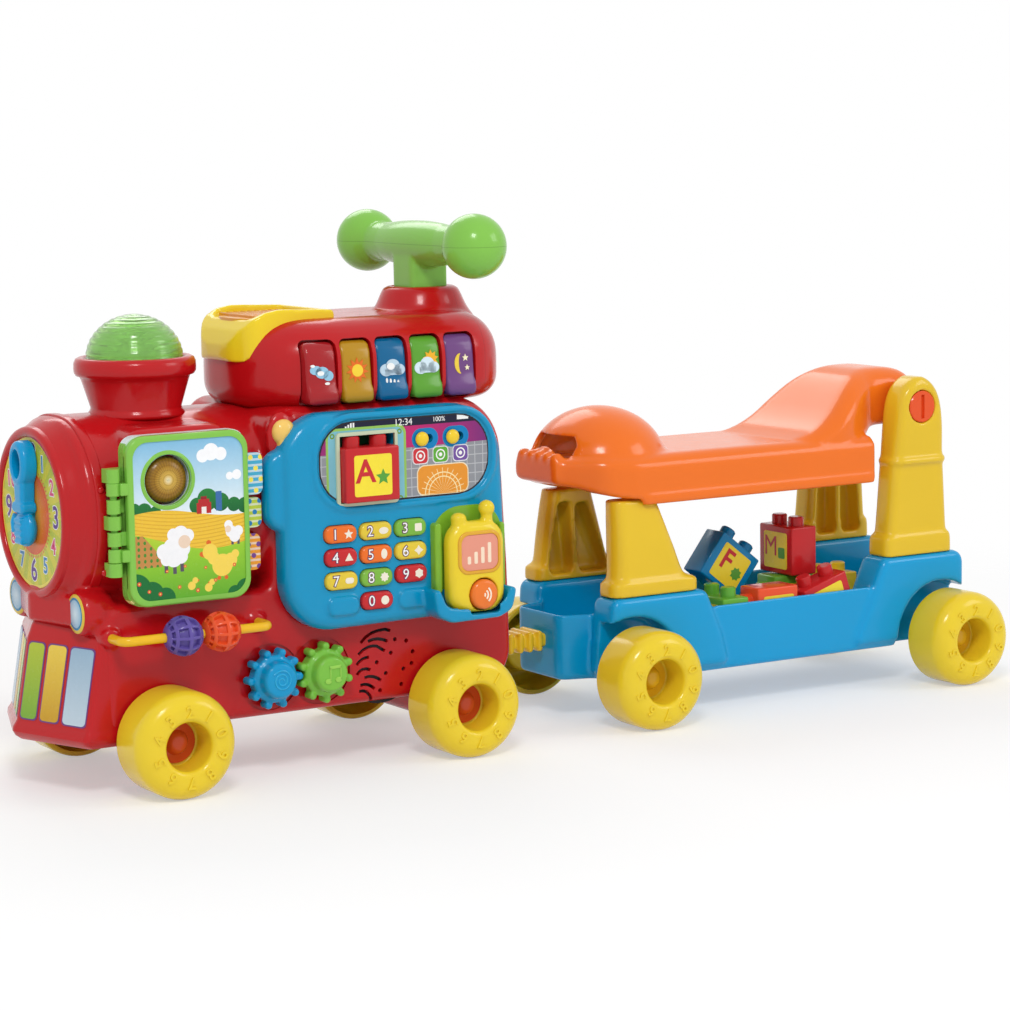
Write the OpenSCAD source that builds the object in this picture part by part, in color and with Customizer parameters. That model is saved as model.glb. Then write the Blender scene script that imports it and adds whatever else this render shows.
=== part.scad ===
// Ride-on train: a locomotive with an activity panel, towing a wagon whose seat flips up.
// The train faces -X, its activity side is -Y, and z = 0 is the floor under the wheels.

/* [Running gear] */
// Diameter of every wheel
wheel_d = 80; // [74:1:86]
// Width of a wheel across its tread
wheel_w = 44; // [38:1:50]
// Diameter of the deep hub hole at the wheel's outer face
hub_d = 36; // [30:1:40]
// Depth of the hub hole
hub_depth = 28; // [20:1:32]
// Moulded wall of a wheel
wheel_wall = 4; // [3:0.5:6]
// Diameter of the steel axles
axle_d = 8; // [6:0.5:10]
// Distance between the locomotive's axles
loco_base = 244; // [236:1:256]
// Distance from the locomotive's rear axle to the wagon's front axle
hitch_span = 173; // [168:1:190]
// Distance between the wagon's axles
wagon_base = 317; // [310:1:330]
// Gap between a body's side and a wheel
wheel_gap = 2.4; // [1:0.2:5]

/* [Locomotive body] */
// Width of the locomotive and wagon bodies
body_w = 146; // [140:1:156]
// Moulded wall of the bodies
wall = 3; // [2:0.5:4]
// Height of the body floor above the axle centres
floor_rise = 5; // [4.5:0.5:8]
// Distance from the front axle forward to the cowcatcher's lip
nose_reach = 88; // [84:1:96]
// Distance from the front axle forward to the skirt's front
skirt_lead = 45; // [42:1:50]
// Height of the skirt
skirt_h = 96; // [94:1:102]
// Distance from the rear axle back to the rear wall
tail_reach = 59; // [56:1:64]
// Distance from the front axle back to the cab's front
cab_setback = 92; // [88:1:94]
// Height of the cab from floor to roof line
cab_h = 226; // [224:1:234]
// Distance from the front axle forward to the boiler's front
boiler_lead = 54; // [52:1:58]
// Height of the boiler's cross-section
boiler_h = 140; // [136:1:144]
// Height of the boiler's centre above the floor
boiler_rise = 159; // [156:1:162]
// Radius of the cab's rear upper edge
cab_tail_round = 42; // [24:1:48]
// Corner radius of the boiler's cross-section
boiler_round = 66; // [50:1:67]
// Depth of the bezel ring in front of the boiler
bezel_depth = 12; // [9:1:14]
// Diameter of the bezel at the dial
bezel_front_d = 125; // [120:1:128]
// Diameter of the bezel at the boiler
bezel_back_d = 138; // [132:1:139]
// Diameter of a headlight pod
pod_d = 33; // [28:1:36]
// Distance of a headlight pod from the middle
pod_offset = 54; // [50:1:54]
// Height of the boiler's centre above the headlight pods
pod_drop = 69; // [65:1:71]
// Length of a headlight pod
pod_len = 27; // [22:1:32]
// How far a pod stands ahead of the boiler
pod_proud = 4; // [2:1:8]

/* [Cowcatcher] */
// Height of the cowcatcher's lip above the ground
lip_z = 37; // [30:1:39]
// Height of the cowcatcher
cowcatcher_h = 80; // [76:1:82]
// How far the top of its ridge stands back from the lip
ridge_setback = 15; // [8:1:18]
// How far its outer edges stand back from the ridge
cowcatcher_sweep = 24; // [20:1:32]

/* [Chimney] */
// Distance of the chimney behind the front axle
chimney_setback = 20; // [16:1:26]
// Diameter of the chimney where it meets the boiler
chimney_base_d = 64; // [58:1:68]
// Diameter under the rolled ring
chimney_top_d = 80; // [74:1:82]
// Diameter of the rolled ring
chimney_ring_d = 91; // [86:1:96]
// Height of the cone from boiler to ring
chimney_cone_h = 24; // [20:1:28]
// Height of the rolled ring
chimney_ring_h = 15; // [12:1:18]
// Diameter of the lens dome
dome_d = 73; // [68:1:74]
// Height of the lens dome above the ring
dome_h = 33; // [28:1:35]

/* [Roof] */
// Distance from the front axle back to the roof's nose
roof_setback = 88; // [84:1:92]
// Length of the roof
roof_len = 221; // [216:1:228]
// Width of the roof
roof_w = 154; // [150:1:158]
// Height of the roof above the cab
roof_h = 67; // [64:1:70]
// Radius of the roof's rounded top edges
roof_round = 30; // [24:1:32]
// Radius of the roof's rounded lower edges
roof_foot_round = 18; // [10:1:22]
// Radius of the roof's nose corners seen from above
roof_nose_round = 70; // [56:1:72]
// Radius of the roof's tail corners seen from above
roof_tail_round = 50; // [40:1:56]
// Length of the hopper set in the roof's nose
chute_len = 80; // [74:1:81]
// Width of the hopper
chute_w = 84; // [76:1:88]
// Height of the hopper
chute_h = 41; // [36:1:44]
// Moulded wall of the hopper
chute_wall = 3; // [2:0.5:4]

/* [Handle] */
// Distance of the handle behind the roof's nose
handle_setback = 179; // [172:1:182]
// Diameter at the foot of the handle's socket cone
socket_d = 72; // [68:1:74]
// Diameter at the top of the socket cone
socket_top_d = 56; // [52:1:60]
// Height of the socket cone
socket_h = 20; // [16:1:24]
// Length of the post's section along the train
post_len = 29; // [26:1:34]
// Width of the post's section
post_w = 29; // [24:1:32]
// Height of the handlebar's centre above the roof
bar_rise = 51; // [48:1:58]
// Diameter of the handlebar
bar_d = 29; // [24:1:31]
// Diameter of the grip balls
ball_d = 50; // [44:1:54]
// Distance between the grip balls' centres
ball_span = 166; // [158:1:176]

/* [Clock hand] */
// Width of the hand
hand_w = 28; // [22:1:32]
// Reach of the hand below its pivot
hand_foot = 25; // [20:1:28]
// Reach of the finger ring above the pivot
hand_reach = 54; // [48:1:56]
// Height of the finger ring
hand_ring_h = 34; // [30:1:36]
// Width of the ring round the finger hole
hand_rim = 6; // [4:0.5:7]
// Thickness of the hand
hand_t = 13; // [8:1:16]

/* [Bead rod] */
// Diameter of the rod
rod_d = 7; // [6:0.5:8]
// Distance between the rod's two ends
rod_span = 118; // [112:1:122]
// Place of the rod's front end behind the front axle, negative is ahead of it
rod_setback = -40; // [-42:1:-36]
// How far the rod stands off the body's side
rod_standoff = 23; // [20:1:26]
// Height of the rod above the floor
rod_rise = 73; // [72:1:75]
// Diameter of a bead
bead_d = 30; // [27:1:30]
// Place of the front bead along the rod
bead_seat = 47; // [40:1:50]

/* [Book] */
// Width of a leaf
leaf_w = 97; // [92:1:98]
// Height of a leaf
leaf_h = 124; // [116:1:125]
// Thickness of a leaf
leaf_t = 2.5; // [2:0.25:3]
// Thickness of the cover
cover_t = 5; // [4:0.5:6]
// Clear space between leaves
leaf_gap = 0.8; // [0.5:0.1:1]
// Place of the leaf's free edge from the hinge ahead of the front axle
leaf_setback = -29; // [-31:1:-27]
// Height of the book's lower edge above the floor
leaf_rise = 95; // [95:1:97]
// Corner radius of a leaf
leaf_round = 11; // [6:1:14]
// Diameter of the hinge pin
book_pin_d = 5; // [4:0.5:6]
// Diameter of the hinge knuckles
knuckle_d = 10; // [9:0.5:11]
// Distance of the hinge pin from the leaves
pin_gap = 8.5; // [8:0.5:9]
// Diameter of the amber lens
book_lens_d = 34; // [30:1:35]
// How far an index tab stands out past a leaf
tab_reach = 14; // [10:1:15]

/* [Activity panel] */
// Place of the panel's front edge behind the front axle
panel_setback = 95; // [95:1:98]
// Length of the panel
panel_w = 192; // [188:1:194]
// Height of the panel
panel_h = 164; // [162:1:166]
// Height of the panel's lower edge above the floor
panel_rise = 62; // [61:1:64]
// How far the panel stands out from the body
panel_depth = 19; // [17:1:22]
// Moulded wall of the panel
panel_wall = 2.5; // [2:0.25:3]
// Width of a number key
key_w = 27; // [24:1:27]
// Height of a number key
key_h = 13; // [11:0.5:13.5]
// Spacing of the key columns
key_pitch_x = 30; // [30:0.5:32]
// Spacing of the key rows
key_pitch_z = 17.6; // [17.2:0.2:18]
// How far a key stands out
key_proud = 3.5; // [3:0.5:5]
// Diameter of a slide-switch knob
knob_d = 13; // [11:1:14]
// Travel of a slide switch
knob_travel = 7; // [5:1:8]

/* [Toy phone] */
// Width of the phone
phone_w = 49; // [46:1:52]
// Height of the phone's body
phone_h = 69; // [64:1:72]
// Thickness of the phone
phone_t = 17; // [14:1:19]
// Length of the phone's aerial
aerial_h = 16; // [12:1:18]
// Diameter of the phone's push button
call_d = 23; // [20:1:26]

/* [Building blocks] */
// Width of a block
block_w = 46; // [42:1:48]
// Height of a block without its studs
block_h = 41; // [38:1:43]
// Thickness of a block
block_t = 26; // [22:1:27]
// Diameter of a stud
stud_d = 13; // [11:1:15]
// Height of a stud
stud_h = 8; // [6:1:9]

/* [Gears] */
// Distance between the gear centres
gear_span = 43; // [42.6:0.2:45]
// Number of round teeth on a gear
gear_teeth = 10; // [10:1:10]
// Diameter of the circle that the teeth stand on
gear_pitch_d = 40.5; // [39:0.5:41]
// Diameter of a tooth
tooth_d = 6.2; // [5:0.2:6.4]
// Diameter of the gear's web
gear_web_d = 36; // [32:1:37]
// Thickness of the gear
gear_t = 11; // [9:1:13]
// Diameter of the gear's raised drum
drum_d = 27; // [22:1:30]
// Height of the raised drum
drum_h = 9; // [6:1:11]
// Diameter of a gear's spindle
spindle_d = 8; // [6:0.5:9]

/* [Piano keys] */
// Spacing of the piano keys
piano_pitch = 30; // [29:0.5:30.5]
// Height of a piano key
piano_h = 46; // [43:1:47]
// Depth of a piano key
piano_depth = 16; // [13:1:18]
// Travel of a piano key at its toe, degrees
piano_swing = 4; // [2:0.5:5]

/* [Wagon] */
// Distance from the wagon's front axle forward to the bin's front
bin_reach = 46; // [42:1:50]
// Width of the bin's front
bin_w = 64; // [56:1:70]
// Height of the tray's lower edge above the ground
tray_z = 33; // [29:1:34]
// Height of the tray's walls
tray_h = 53.5; // [50:0.5:58]
// Height of the tray floor above the axles
tray_floor_rise = 6; // [5.5:0.5:9]
// Width of the leg blocks across the train
block_leg_w = 32.5; // [28:0.5:36]
// Height of the front leg blocks above the tray's lower edge
front_block_h = 69; // [66:1:74]
// Height of the rear leg blocks above the tray's lower edge
rear_block_h = 77; // [72:1:80]
// Radius of a wheel arch
arch_r = 46; // [44:0.5:49]
// Depth of a wheel arch
arch_depth = 20; // [12:1:24]
// Height of the front legs
front_leg_h = 74; // [70:1:76]
// Height of the rear legs
rear_leg_h = 151; // [146:1:156]

/* [Seat] */
// Width of the seat
seat_w = 128; // [116:1:134]
// Height of the seat's flat top above the front legs
seat_rise = 38; // [34:1:42]
// Depth of the seat's side skirt
seat_skirt = 35; // [28:1:36]
// Height of the front hump above the flat top
hump_h = 37; // [30:1:40]
// Radius of the front hump
hump_r = 46; // [42:1:50]
// Height of the backrest above the flat top
back_h = 53; // [46:1:58]
// Wall of the seat's shell
seat_wall = 4; // [3:0.5:5]
// Diameter of the pivot pins
pivot_d = 12; // [10:0.5:14]
// Diameter of a pivot pin's head
pivot_head_d = 27; // [22:1:30]

/* [Hidden] */
$fn = 48;

// Clearances and cuts that serve every piece
overrun = 1;
slip = 0.4;
running_clear = 0.05;
// Segments in the arc of a rounded corner
corner_steps = 6;

// Colours as the object shows them
red_colour = [0.82, 0.2, 0.18];
orange_colour = [0.94, 0.45, 0.19];
yellow_colour = [0.92, 0.8, 0.28];
green_colour = [0.6, 0.75, 0.2];
blue_colour = [0, 0.6, 0.8];
purple_colour = [0.55, 0.3, 0.6];
teal_colour = [0.1, 0.6, 0.6];
steel_colour = [0.75, 0.76, 0.78];
dark_colour = [0.2, 0.2, 0.22];
board_colour = [0.1, 0.4, 0.2];
amber_colour = [1, 0.7, 0.2];

// Places along the train
train_len = nose_reach + loco_base + hitch_span + wagon_base + wheel_d / 2;
loco_x = nose_reach - train_len / 2;
loco_rear_x = loco_x + loco_base;
wagon_x = loco_rear_x + hitch_span;
wagon_rear_x = wagon_x + wagon_base;
axle_z = wheel_d / 2;
half_w = body_w / 2;
near_y = -half_w;
wheel_face_y = half_w + wheel_gap + wheel_w;

// Locomotive body
floor_z = axle_z + floor_rise;
skirt_front_x = loco_x - skirt_lead;
skirt_top_z = floor_z + skirt_h;
tail_x = loco_rear_x + tail_reach;
cab_x = loco_x + cab_setback;
// The roof rests on the cab wall and on the panel's top edge
cab_top_z = floor_z + max(cab_h, panel_rise + panel_h);
boiler_x = loco_x - boiler_lead;
boiler_z = floor_z + boiler_rise;
dial_x = boiler_x - bezel_depth;
pod_z = boiler_z - pod_drop;
ledge_reach = 18;
ledge_t = 22;
lug_len = 50;
lug_drop = 14;
body_round = 14;
cab_round = 22;

// Round outlines drawn from corner points
function unit(v) = v / norm(v);
function turn(a, b, c) = (b.x - a.x) * (c.y - b.y) - (b.y - a.y) * (c.x - b.x);
function half_angle(a, b, c) = acos(max(-1, min(1, unit(a - b) * unit(c - b)))) / 2;
function swing(s, e) = ((e - s + 540) % 360) - 180;
function arc(m, r, s, e) = [for (i = [0:corner_steps]) let (t = s + swing(s, e) * i / corner_steps)
    m + r * [cos(t), sin(t)]];
function bearing(m, p) = atan2(p.y - m.y, p.x - m.x);
function corner(a, b, c, r) = r <= 0 ? [b] : let (
    h = half_angle(a, b, c),
    m = b + unit(unit(a - b) + unit(c - b)) * r / sin(h),
    s = b + unit(a - b) * r / tan(h),
    e = b + unit(c - b) * r / tan(h)
) arc(m, r, bearing(m, s), bearing(m, e));
function before(p, i) = p[(i + len(p) - 1) % len(p)];
function after(p, i) = p[(i + 1) % len(p)];
function rounded(p, r) = [for (i = [0:len(p) - 1]) each corner(before(p, i), p[i], after(p, i), r[i])];
function inset(p, d) = [for (i = [0:len(p) - 1]) let (a = before(p, i), b = p[i], c = after(p, i))
    b + unit(unit(a - b) + unit(c - b)) * sign(turn(a, b, c)) * d / sin(half_angle(a, b, c))];
function drawn_in(r, d) = [for (v = r) max(v - d, 0)];
function rect(x0, y0, x1, y1) = [[x0, y0], [x1, y0], [x1, y1], [x0, y1]];
function even(r, n = 4) = [for (i = [1:n]) r];
function blended(lo, hi, shares) = [for (s = shares)
    [lo.x + (hi.x - lo.x) * s.x, lo.y + (hi.y - lo.y) * s.y]];

// Outlines carried across (Y), along (X) or up (Z) the train
module across(y0, y1) translate([0, y1, 0]) rotate([90, 0, 0]) linear_extrude(y1 - y0) children();
module along(x0, x1) translate([x0, 0, 0]) rotate([90, 0, 90]) linear_extrude(x1 - x0) children();
module up(z0, z1) translate([0, 0, z0]) linear_extrude(z1 - z0) children();
module slab(p, r, d = 0) polygon(rounded(inset(p, d), drawn_in(r, d)));
module block(lo, hi) translate(lo) cube(hi - lo);
module rod_x(x0, x1, d, y, z) translate([x0, y, z]) rotate([0, 90, 0]) cylinder(h = x1 - x0, d = d);
module rod_y(y0, y1, d, x, z) translate([x, y0, z]) rotate([-90, 0, 0]) cylinder(h = y1 - y0, d = d);
module rod_z(z0, z1, d, x, y) translate([x, y, z0]) cylinder(h = z1 - z0, d = d);
module both_sides() {
    children();
    mirror([0, 1, 0]) children();
}

// Book: leaves stacked from the body's side outwards
leaf_x0 = loco_x + leaf_setback;
leaf_x1 = leaf_x0 + leaf_w;
leaf_z0 = floor_z + leaf_rise;
leaf_z1 = leaf_z0 + leaf_h;
leaf_step = leaf_t + leaf_gap;
base_y = near_y - leaf_t;
dot_y = base_y - leaf_step;
star_y = dot_y - leaf_step;
cover_y = star_y - leaf_gap - cover_t;
book_pin_x = leaf_x0 - pin_gap;
book_pin_y = star_y + leaf_t / 2;
book_lens_share = [0.33, 0.735];
book_lens_x = leaf_x0 + leaf_w * book_lens_share.x;
book_lens_z = leaf_z0 + leaf_h * book_lens_share.y;
lens_gap = 1.5;
lens_foot = 2;
lens_crown_share = 0.7;
lens_round_share = 0.5;
// Heights of the hinge knuckles on the leaf, from its foot
knuckle_h_share = 0.08;
hinge_foot_share = 0.19;
hinge_top_share = 0.82;
cover_knuckle_shares = [0.27, 0.66];
star_knuckle_shares = [0.37];
dot_knuckle_shares = [0.56];
base_knuckle_shares = [0.19, 0.465, 0.74];
// Foot and top of the three index tabs on the leaf
star_tab_shares = [0.6, 0.85];
dot_tab_shares = [0.4, 0.58];
base_tab_shares = [0.14, 0.36];
tab_round = 5;
pad_margin = 2;
pad_depth = 53;
pad_drop = 8;
pad_z1 = boiler_z + boiler_h / 2 - pad_drop;

// Cowcatcher
cowcatcher_back_x = skirt_front_x;
lip_x = loco_x - nose_reach;
edge_t = 2;

// Chimney
chimney_x = loco_x + chimney_setback;
chimney_z = boiler_z + boiler_h / 2;
chimney_ring_z = chimney_z + chimney_cone_h;
chimney_rim_z = chimney_ring_z + chimney_ring_h;
chimney_wall = 4;
chimney_sink = 10;
chimney_roll_share = 0.45;
dome_wall = 2.5;
dome_steps = 12;

// Roof and hopper
roof_x0 = loco_x + roof_setback;
roof_x1 = roof_x0 + roof_len;
roof_z0 = cab_top_z;
roof_z1 = roof_z0 + roof_h;
chute_round = 38;
chute_proud = 4;
wire_gap = 12;
chute_x0 = roof_x0 - overrun;
chute_x1 = chute_x0 + chute_len;
chute_z1 = roof_z1 + chute_proud;
chute_z0 = chute_z1 - chute_h;
handle_x = roof_x0 + handle_setback;
bar_z = roof_z1 + bar_rise;
post_sink = 20;

// Piano keys hang on a rod in a recess of the roof's near side
piano_count = 5;
piano_gap = 0.9;
piano_setback = 34;
piano_x0 = roof_x0 + piano_setback;
piano_lift = 5;
piano_z0 = roof_z0 + piano_lift;
piano_z1 = piano_z0 + piano_h;
piano_proud = 3;
piano_front_y = -roof_w / 2 - piano_proud;
piano_back_y = piano_front_y + piano_depth;
piano_rod_d = 3.2;
piano_rod_inset = 4;
piano_rod_drop = 6;
piano_rod_y = piano_back_y - piano_rod_inset;
piano_rod_z = piano_z1 - piano_rod_drop;
piano_room = piano_h * sin(piano_swing) + overrun;
// Side outline of a key, from its back out and from its toe up
piano_shares = [[0, 0], [0.95, 0], [1, 0.2], [0.8, 0.62], [0.35, 1], [0, 1]];

// Clock hand
hand_gap = 0.5;
hand_x1 = dial_x - hand_gap;
hand_shaft_d = 9;
hand_shaft = 14;
hand_neck_share = 0.6;
hand_round_share = 0.95;
hand_shoulder_share = 0.75;

// Bead rod
rod_x0 = loco_x + rod_setback;
rod_x1 = rod_x0 + rod_span;
rod_y = near_y - rod_standoff;
rod_z = floor_z + rod_rise;
bead_gap = 0.6;
bead_front_x = rod_x0 + bead_seat;
bead_rear_x = bead_front_x + bead_d + bead_gap;
bead_groove_w = 2.4;
bead_groove_depth = 1.6;
// Places of a bead's grooves from its middle, on the rod, as shares of its radius
bead_groove_shares = [-0.5, 0, 0.5];

// Activity panel
panel_x0 = loco_x + panel_setback;
panel_x1 = panel_x0 + panel_w;
panel_z0 = floor_z + panel_rise;
panel_z1 = panel_z0 + panel_h;
panel_y = near_y - panel_depth;
panel_round = 40;
key_flange = 0.8;
key_flange_t = 2;
key_grid_share = [0.39, 0.232];
key_x = panel_x0 + panel_w * key_grid_share.x;
key_z = panel_z0 + panel_h * key_grid_share.y;
knob_z_share = 0.85;
knob_z = panel_z0 + panel_h * knob_z_share;
knob_x_shares = [0.61, 0.75];
knob_stem = 5;
knob_proud = 4;
ear_w = 22;
ear_h = 60;
ear_depth = 13;
ear_z_share = 0.65;
ear_z = panel_z0 + panel_h * ear_z_share;

// Block in the reader's cradle, and the phone in its cup
slot_share = [0.3635, 0.588];
slot_x = panel_x0 + panel_w * slot_share.x;
slot_z = panel_z0 + panel_h * slot_share.y;
cradle_t = 3;
cradle_lip = 2;
slot_proud = 9;
slot_y0 = panel_y - slot_proud;
slot_back_y = slot_y0 + block_t + slip;
phone_x_share = 0.81;
phone_x = panel_x0 + panel_w * phone_x_share;
cup_wall = 3;
cup_h = 24;
phone_lift = 5;
phone_z0 = panel_z0 + phone_lift;
phone_z1 = phone_z0 + phone_h;
phone_y = panel_y - slip - phone_t;
cup_y = phone_y - slip - cup_wall;
call_share = [0.08, 0.2];
call_x = phone_x + phone_w * call_share.x;
call_z = phone_z0 + phone_h * call_share.y;
call_sink = 8;
call_proud = 3;
call_travel = 2;
phone_round_share = 0.2;
aerial_d_share = 0.75;
aerial_x_shares = [0.24, 0.75];
stub_share = 0.4;
key_round_share = 0.9;

// Gears on spindles moulded to the near shell
gear_lead = 4;
gear_rise = 30;
gear_x = cab_x - gear_lead;
gear_z = floor_z + gear_rise;
gear_gap = 0.8;
gear_y1 = near_y - gear_gap;
gear_y0 = gear_y1 - gear_t;
spindle_y = gear_y0 - drum_h + wall;

// Sound unit and power
speaker_lead = 12;
speaker_lift = 3;
speaker_x = gear_x + 2 * gear_span + speaker_lead;
speaker_z = gear_z + speaker_lift;
speaker_d = 44;
speaker_t = 15;
grille_hole_d = 4;
// Holes in each ring of the grille, and the ring's share of the speaker's radius
grille_counts = [1, 6, 11, 15];
grille_shares = [0, 0.28, 0.56, 0.8];
board_t = 1.6;
board_share = 0.82;
cell_d = 14;
cell_len = 50;
cell_count = 3;
cell_setback = 12;
cell_x = cab_x + cell_setback;
cell_gap = 2;
door_margin = 8;
door_lip = 3;

// Hitch
hitch_setback = 33;
hitch_x = loco_rear_x + hitch_setback;
hitch_boss_h = 10;
hitch_peg_d = 12;
hitch_boss_d = 30;
tow_w = 24;
tow_t = 11;
tow_gap = 0.6;
tow_z0 = floor_z + wall + hitch_boss_h + tow_gap;
tow_z1 = tow_z0 + tow_t;
tow_rib = 3;
tow_ribs = 5;
tow_pitch = 9;
hitch_swing = 28;
tow_slot_w = 2 * ((tail_x - hitch_x) * tan(hitch_swing) + tow_w / 2 / cos(hitch_swing) + overrun);

// Wagon
bin_x = wagon_x - bin_reach;
tray_lead = 19;
tray_tail = 26;
tray_x0 = wagon_x - tray_lead;
tray_x1 = wagon_rear_x + tray_tail;
tray_side_inset = 4;
tray_side_y = half_w - tray_side_inset;
tray_z1 = tray_z + tray_h;
tray_floor_z = axle_z + tray_floor_rise;
front_block_tail = 91;
rear_block_lead = 80;
front_block_x1 = wagon_x + front_block_tail;
rear_block_x0 = wagon_rear_x - rear_block_lead;
front_block_z = tray_z + front_block_h;
rear_block_z = tray_z + rear_block_h;
block_in_y = half_w - block_leg_w;
tray_round = 12;
front_leg_z1 = front_block_z + front_leg_h;
rear_leg_z1 = rear_block_z + rear_leg_h;
leg_inset = 2;
leg_in_y = block_in_y + leg_inset;
leg_out_y = half_w - leg_inset;
leg_wall = 4;
leg_round = 10;
front_leg_len = 84;
rear_leg_setback = 23;
rear_leg_tail = 11;
rear_leg_round = 16;
pivot_lead = 19;
pivot_drop = 25;
pivot_x = wagon_rear_x - pivot_lead;
pivot_z = rear_leg_z1 - pivot_drop;
pivot_boss_d = pivot_head_d + 2 * leg_wall;
pivot_head_t = 6;

// Seat
seat_top_z = front_leg_z1 + seat_rise;
seat_edge_z = seat_top_z - seat_skirt;
seat_lead = 47;
seat_step_lead = 64;
seat_tail = 4;
seat_x0 = wagon_x - seat_lead;
seat_step_x = wagon_rear_x - seat_step_lead;
seat_x1 = wagon_rear_x + seat_tail;
neck_gap = 3;
neck_w = 2 * (leg_in_y - neck_gap);
seat_corner = 30;
seat_edge_round = 10;
seat_crown_share = 0.5;
seat_crown_round = 20;
hump_setback = 57;
hump_x = seat_x0 + hump_setback;
hump_z = seat_top_z + hump_h - hump_r;
back_len = 118;
grip_len = 15;
grip_w = 54;
grip_bar = 12;
grip_drop = 6;
rest_lo = [wagon_x, leg_in_y, front_leg_z1];
rest_len = 30;
rest_w = 12;
rest_pad = [rest_len, rest_w, seat_rise + hump_h];

// Wheels: a hollow moulded tyre with a deep hub hole in its outer face
rim_round = 13;
rim_inner_share = 0.8;
hub_lip = 3;
hub_tube = 6;
wheel_r = wheel_d / 2;
hub_r = hub_d / 2;
axle_r = axle_d / 2;
bore_r = axle_r + running_clear;
wheel_outline = [
    [bore_r, hub_depth], [hub_r, hub_depth], [hub_r, 0], [wheel_r, 0], [wheel_r, wheel_w],
    [wheel_r - wheel_wall, wheel_w], [wheel_r - wheel_wall, wheel_wall], [hub_r + wheel_wall, wheel_wall],
    [hub_r + wheel_wall, hub_depth + wheel_wall], [axle_r + hub_tube, hub_depth + wheel_wall],
    [axle_r + hub_tube, wheel_w], [bore_r, wheel_w]
];
wheel_rounds = [
    0, 0, hub_lip, rim_round, wheel_wall * rim_inner_share, 0, rim_round - wheel_wall, hub_lip,
    hub_lip, hub_lip, 0, 0
];

module wheel(x, side) {
    color(yellow_colour)
        translate([x, side * wheel_face_y, axle_z])
            rotate([side * 90, 0, 0])
                rotate_extrude() polygon(rounded(wheel_outline, wheel_rounds));
}

module axle_pair(x0, x1) {
    reach = wheel_face_y - hub_depth + axle_r;
    color(steel_colour)
        for (x = [x0, x1]) rod_y(-reach, reach, axle_d, x, axle_z);
}

// Body form of the locomotive, drawn in by gap to hollow it
module loco_form(gap) {
    side = [
        [skirt_front_x, floor_z], [tail_x, floor_z], [tail_x, cab_top_z], [cab_x, cab_top_z],
        [cab_x, skirt_top_z], [skirt_front_x, skirt_top_z]
    ];
    section = rect(-half_w, boiler_z - boiler_h / 2, half_w, boiler_z + boiler_h / 2);
    across(-half_w + gap, half_w - gap)
        slab(side, [body_round, body_round, cab_tail_round, cab_round, 0, body_round], gap);
    along(boiler_x + gap, cab_x + wall) slab(section, even(boiler_round), gap);
    translate([dial_x + gap, 0, boiler_z]) rotate([0, 90, 0])
        cylinder(h = bezel_depth + wall, d1 = bezel_front_d - 2 * gap, d2 = bezel_back_d - 2 * gap);
}

// Pods, ledge, axle lugs and the flat pad that the book sits on
module loco_bosses() {
    ledge = [
        [boiler_x - ledge_reach, 0], [boiler_x, -pod_offset], [skirt_front_x + wall, -pod_offset],
        [skirt_front_x + wall, pod_offset], [boiler_x, pod_offset]
    ];
    both_sides() rod_x(boiler_x - pod_proud, boiler_x - pod_proud + pod_len, pod_d, -pod_offset, pod_z);
    up(pod_z - ledge_t / 2, pod_z + ledge_t / 2) polygon(ledge);
    for (x = [loco_x, loco_rear_x])
        across(-half_w, half_w)
            slab(rect(x - lug_len / 2, axle_z - lug_drop, x + lug_len / 2, floor_z + wall),
                [body_round, body_round, 0, 0]);
    across(near_y, near_y + pad_depth)
        slab(rect(leaf_x0 - pad_margin, leaf_z0 - pad_margin, leaf_x1 + pad_margin, pad_z1),
            even(leaf_round));
}

// The tow bar's socket and the slot that it swings in
module hitch_socket() {
    rod_z(floor_z, floor_z + wall + hitch_boss_h, hitch_boss_d, hitch_x, 0);
}

module loco_cuts() {
    for (x = [loco_x, loco_rear_x])
        rod_y(-half_w - overrun, half_w + overrun, axle_d, x, axle_z);
    rod_z(floor_z - overrun, tow_z0, hitch_peg_d + 2 * running_clear, hitch_x, 0);
    block([tail_x - 2 * wall, -tow_slot_w / 2, tow_z0 - tow_gap],
        [tail_x + overrun, tow_slot_w / 2, tow_z1 + tow_gap]);
    rod_x(dial_x - overrun, dial_x + wall + overrun, hand_shaft_d + 2 * running_clear, 0, boiler_z);
    for (ring = [0:len(grille_counts) - 1])
        for (i = [1:grille_counts[ring]]) {
            r = speaker_d / 2 * grille_shares[ring];
            t = 360 * i / grille_counts[ring];
            rod_y(near_y - overrun, near_y + wall + overrun, grille_hole_d, speaker_x + r * cos(t),
                speaker_z + r * sin(t));
        }
    battery_hole(slip);
}

module battery_hole(gap) {
    block([cell_x - door_margin - gap, door_margin - gap, floor_z - overrun],
        [cell_x + cell_len + door_margin + gap, door_margin + cell_count * (cell_d + cell_gap) + gap,
            floor_z + wall + overrun]);
}

module loco_body() {
    difference() {
        union() {
            difference() {
                union() {
                    loco_form(0);
                    loco_bosses();
                }
                loco_form(wall);
            }
            hitch_socket();
        }
        loco_cuts();
    }
}

module shell_half(y0, y1) {
    intersection() {
        loco_body();
        block([-train_len, y0, 0], [train_len, y1, roof_z1]);
    }
}

module shell_near() {
    color(red_colour) {
        shell_half(-2 * half_w, 0);
        for (i = [0, 1])
            rod_y(spindle_y, near_y, spindle_d, gear_x + i * gear_span, gear_z);
    }
}

module shell_far() {
    color(red_colour) shell_half(0, 2 * half_w);
}

module cowcatcher_plan(reach) {
    polygon([
        [lip_x + reach, 0], [lip_x + reach + cowcatcher_sweep, -half_w], [cowcatcher_back_x, -half_w],
        [cowcatcher_back_x, half_w], [lip_x + reach + cowcatcher_sweep, half_w]
    ]);
}

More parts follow.
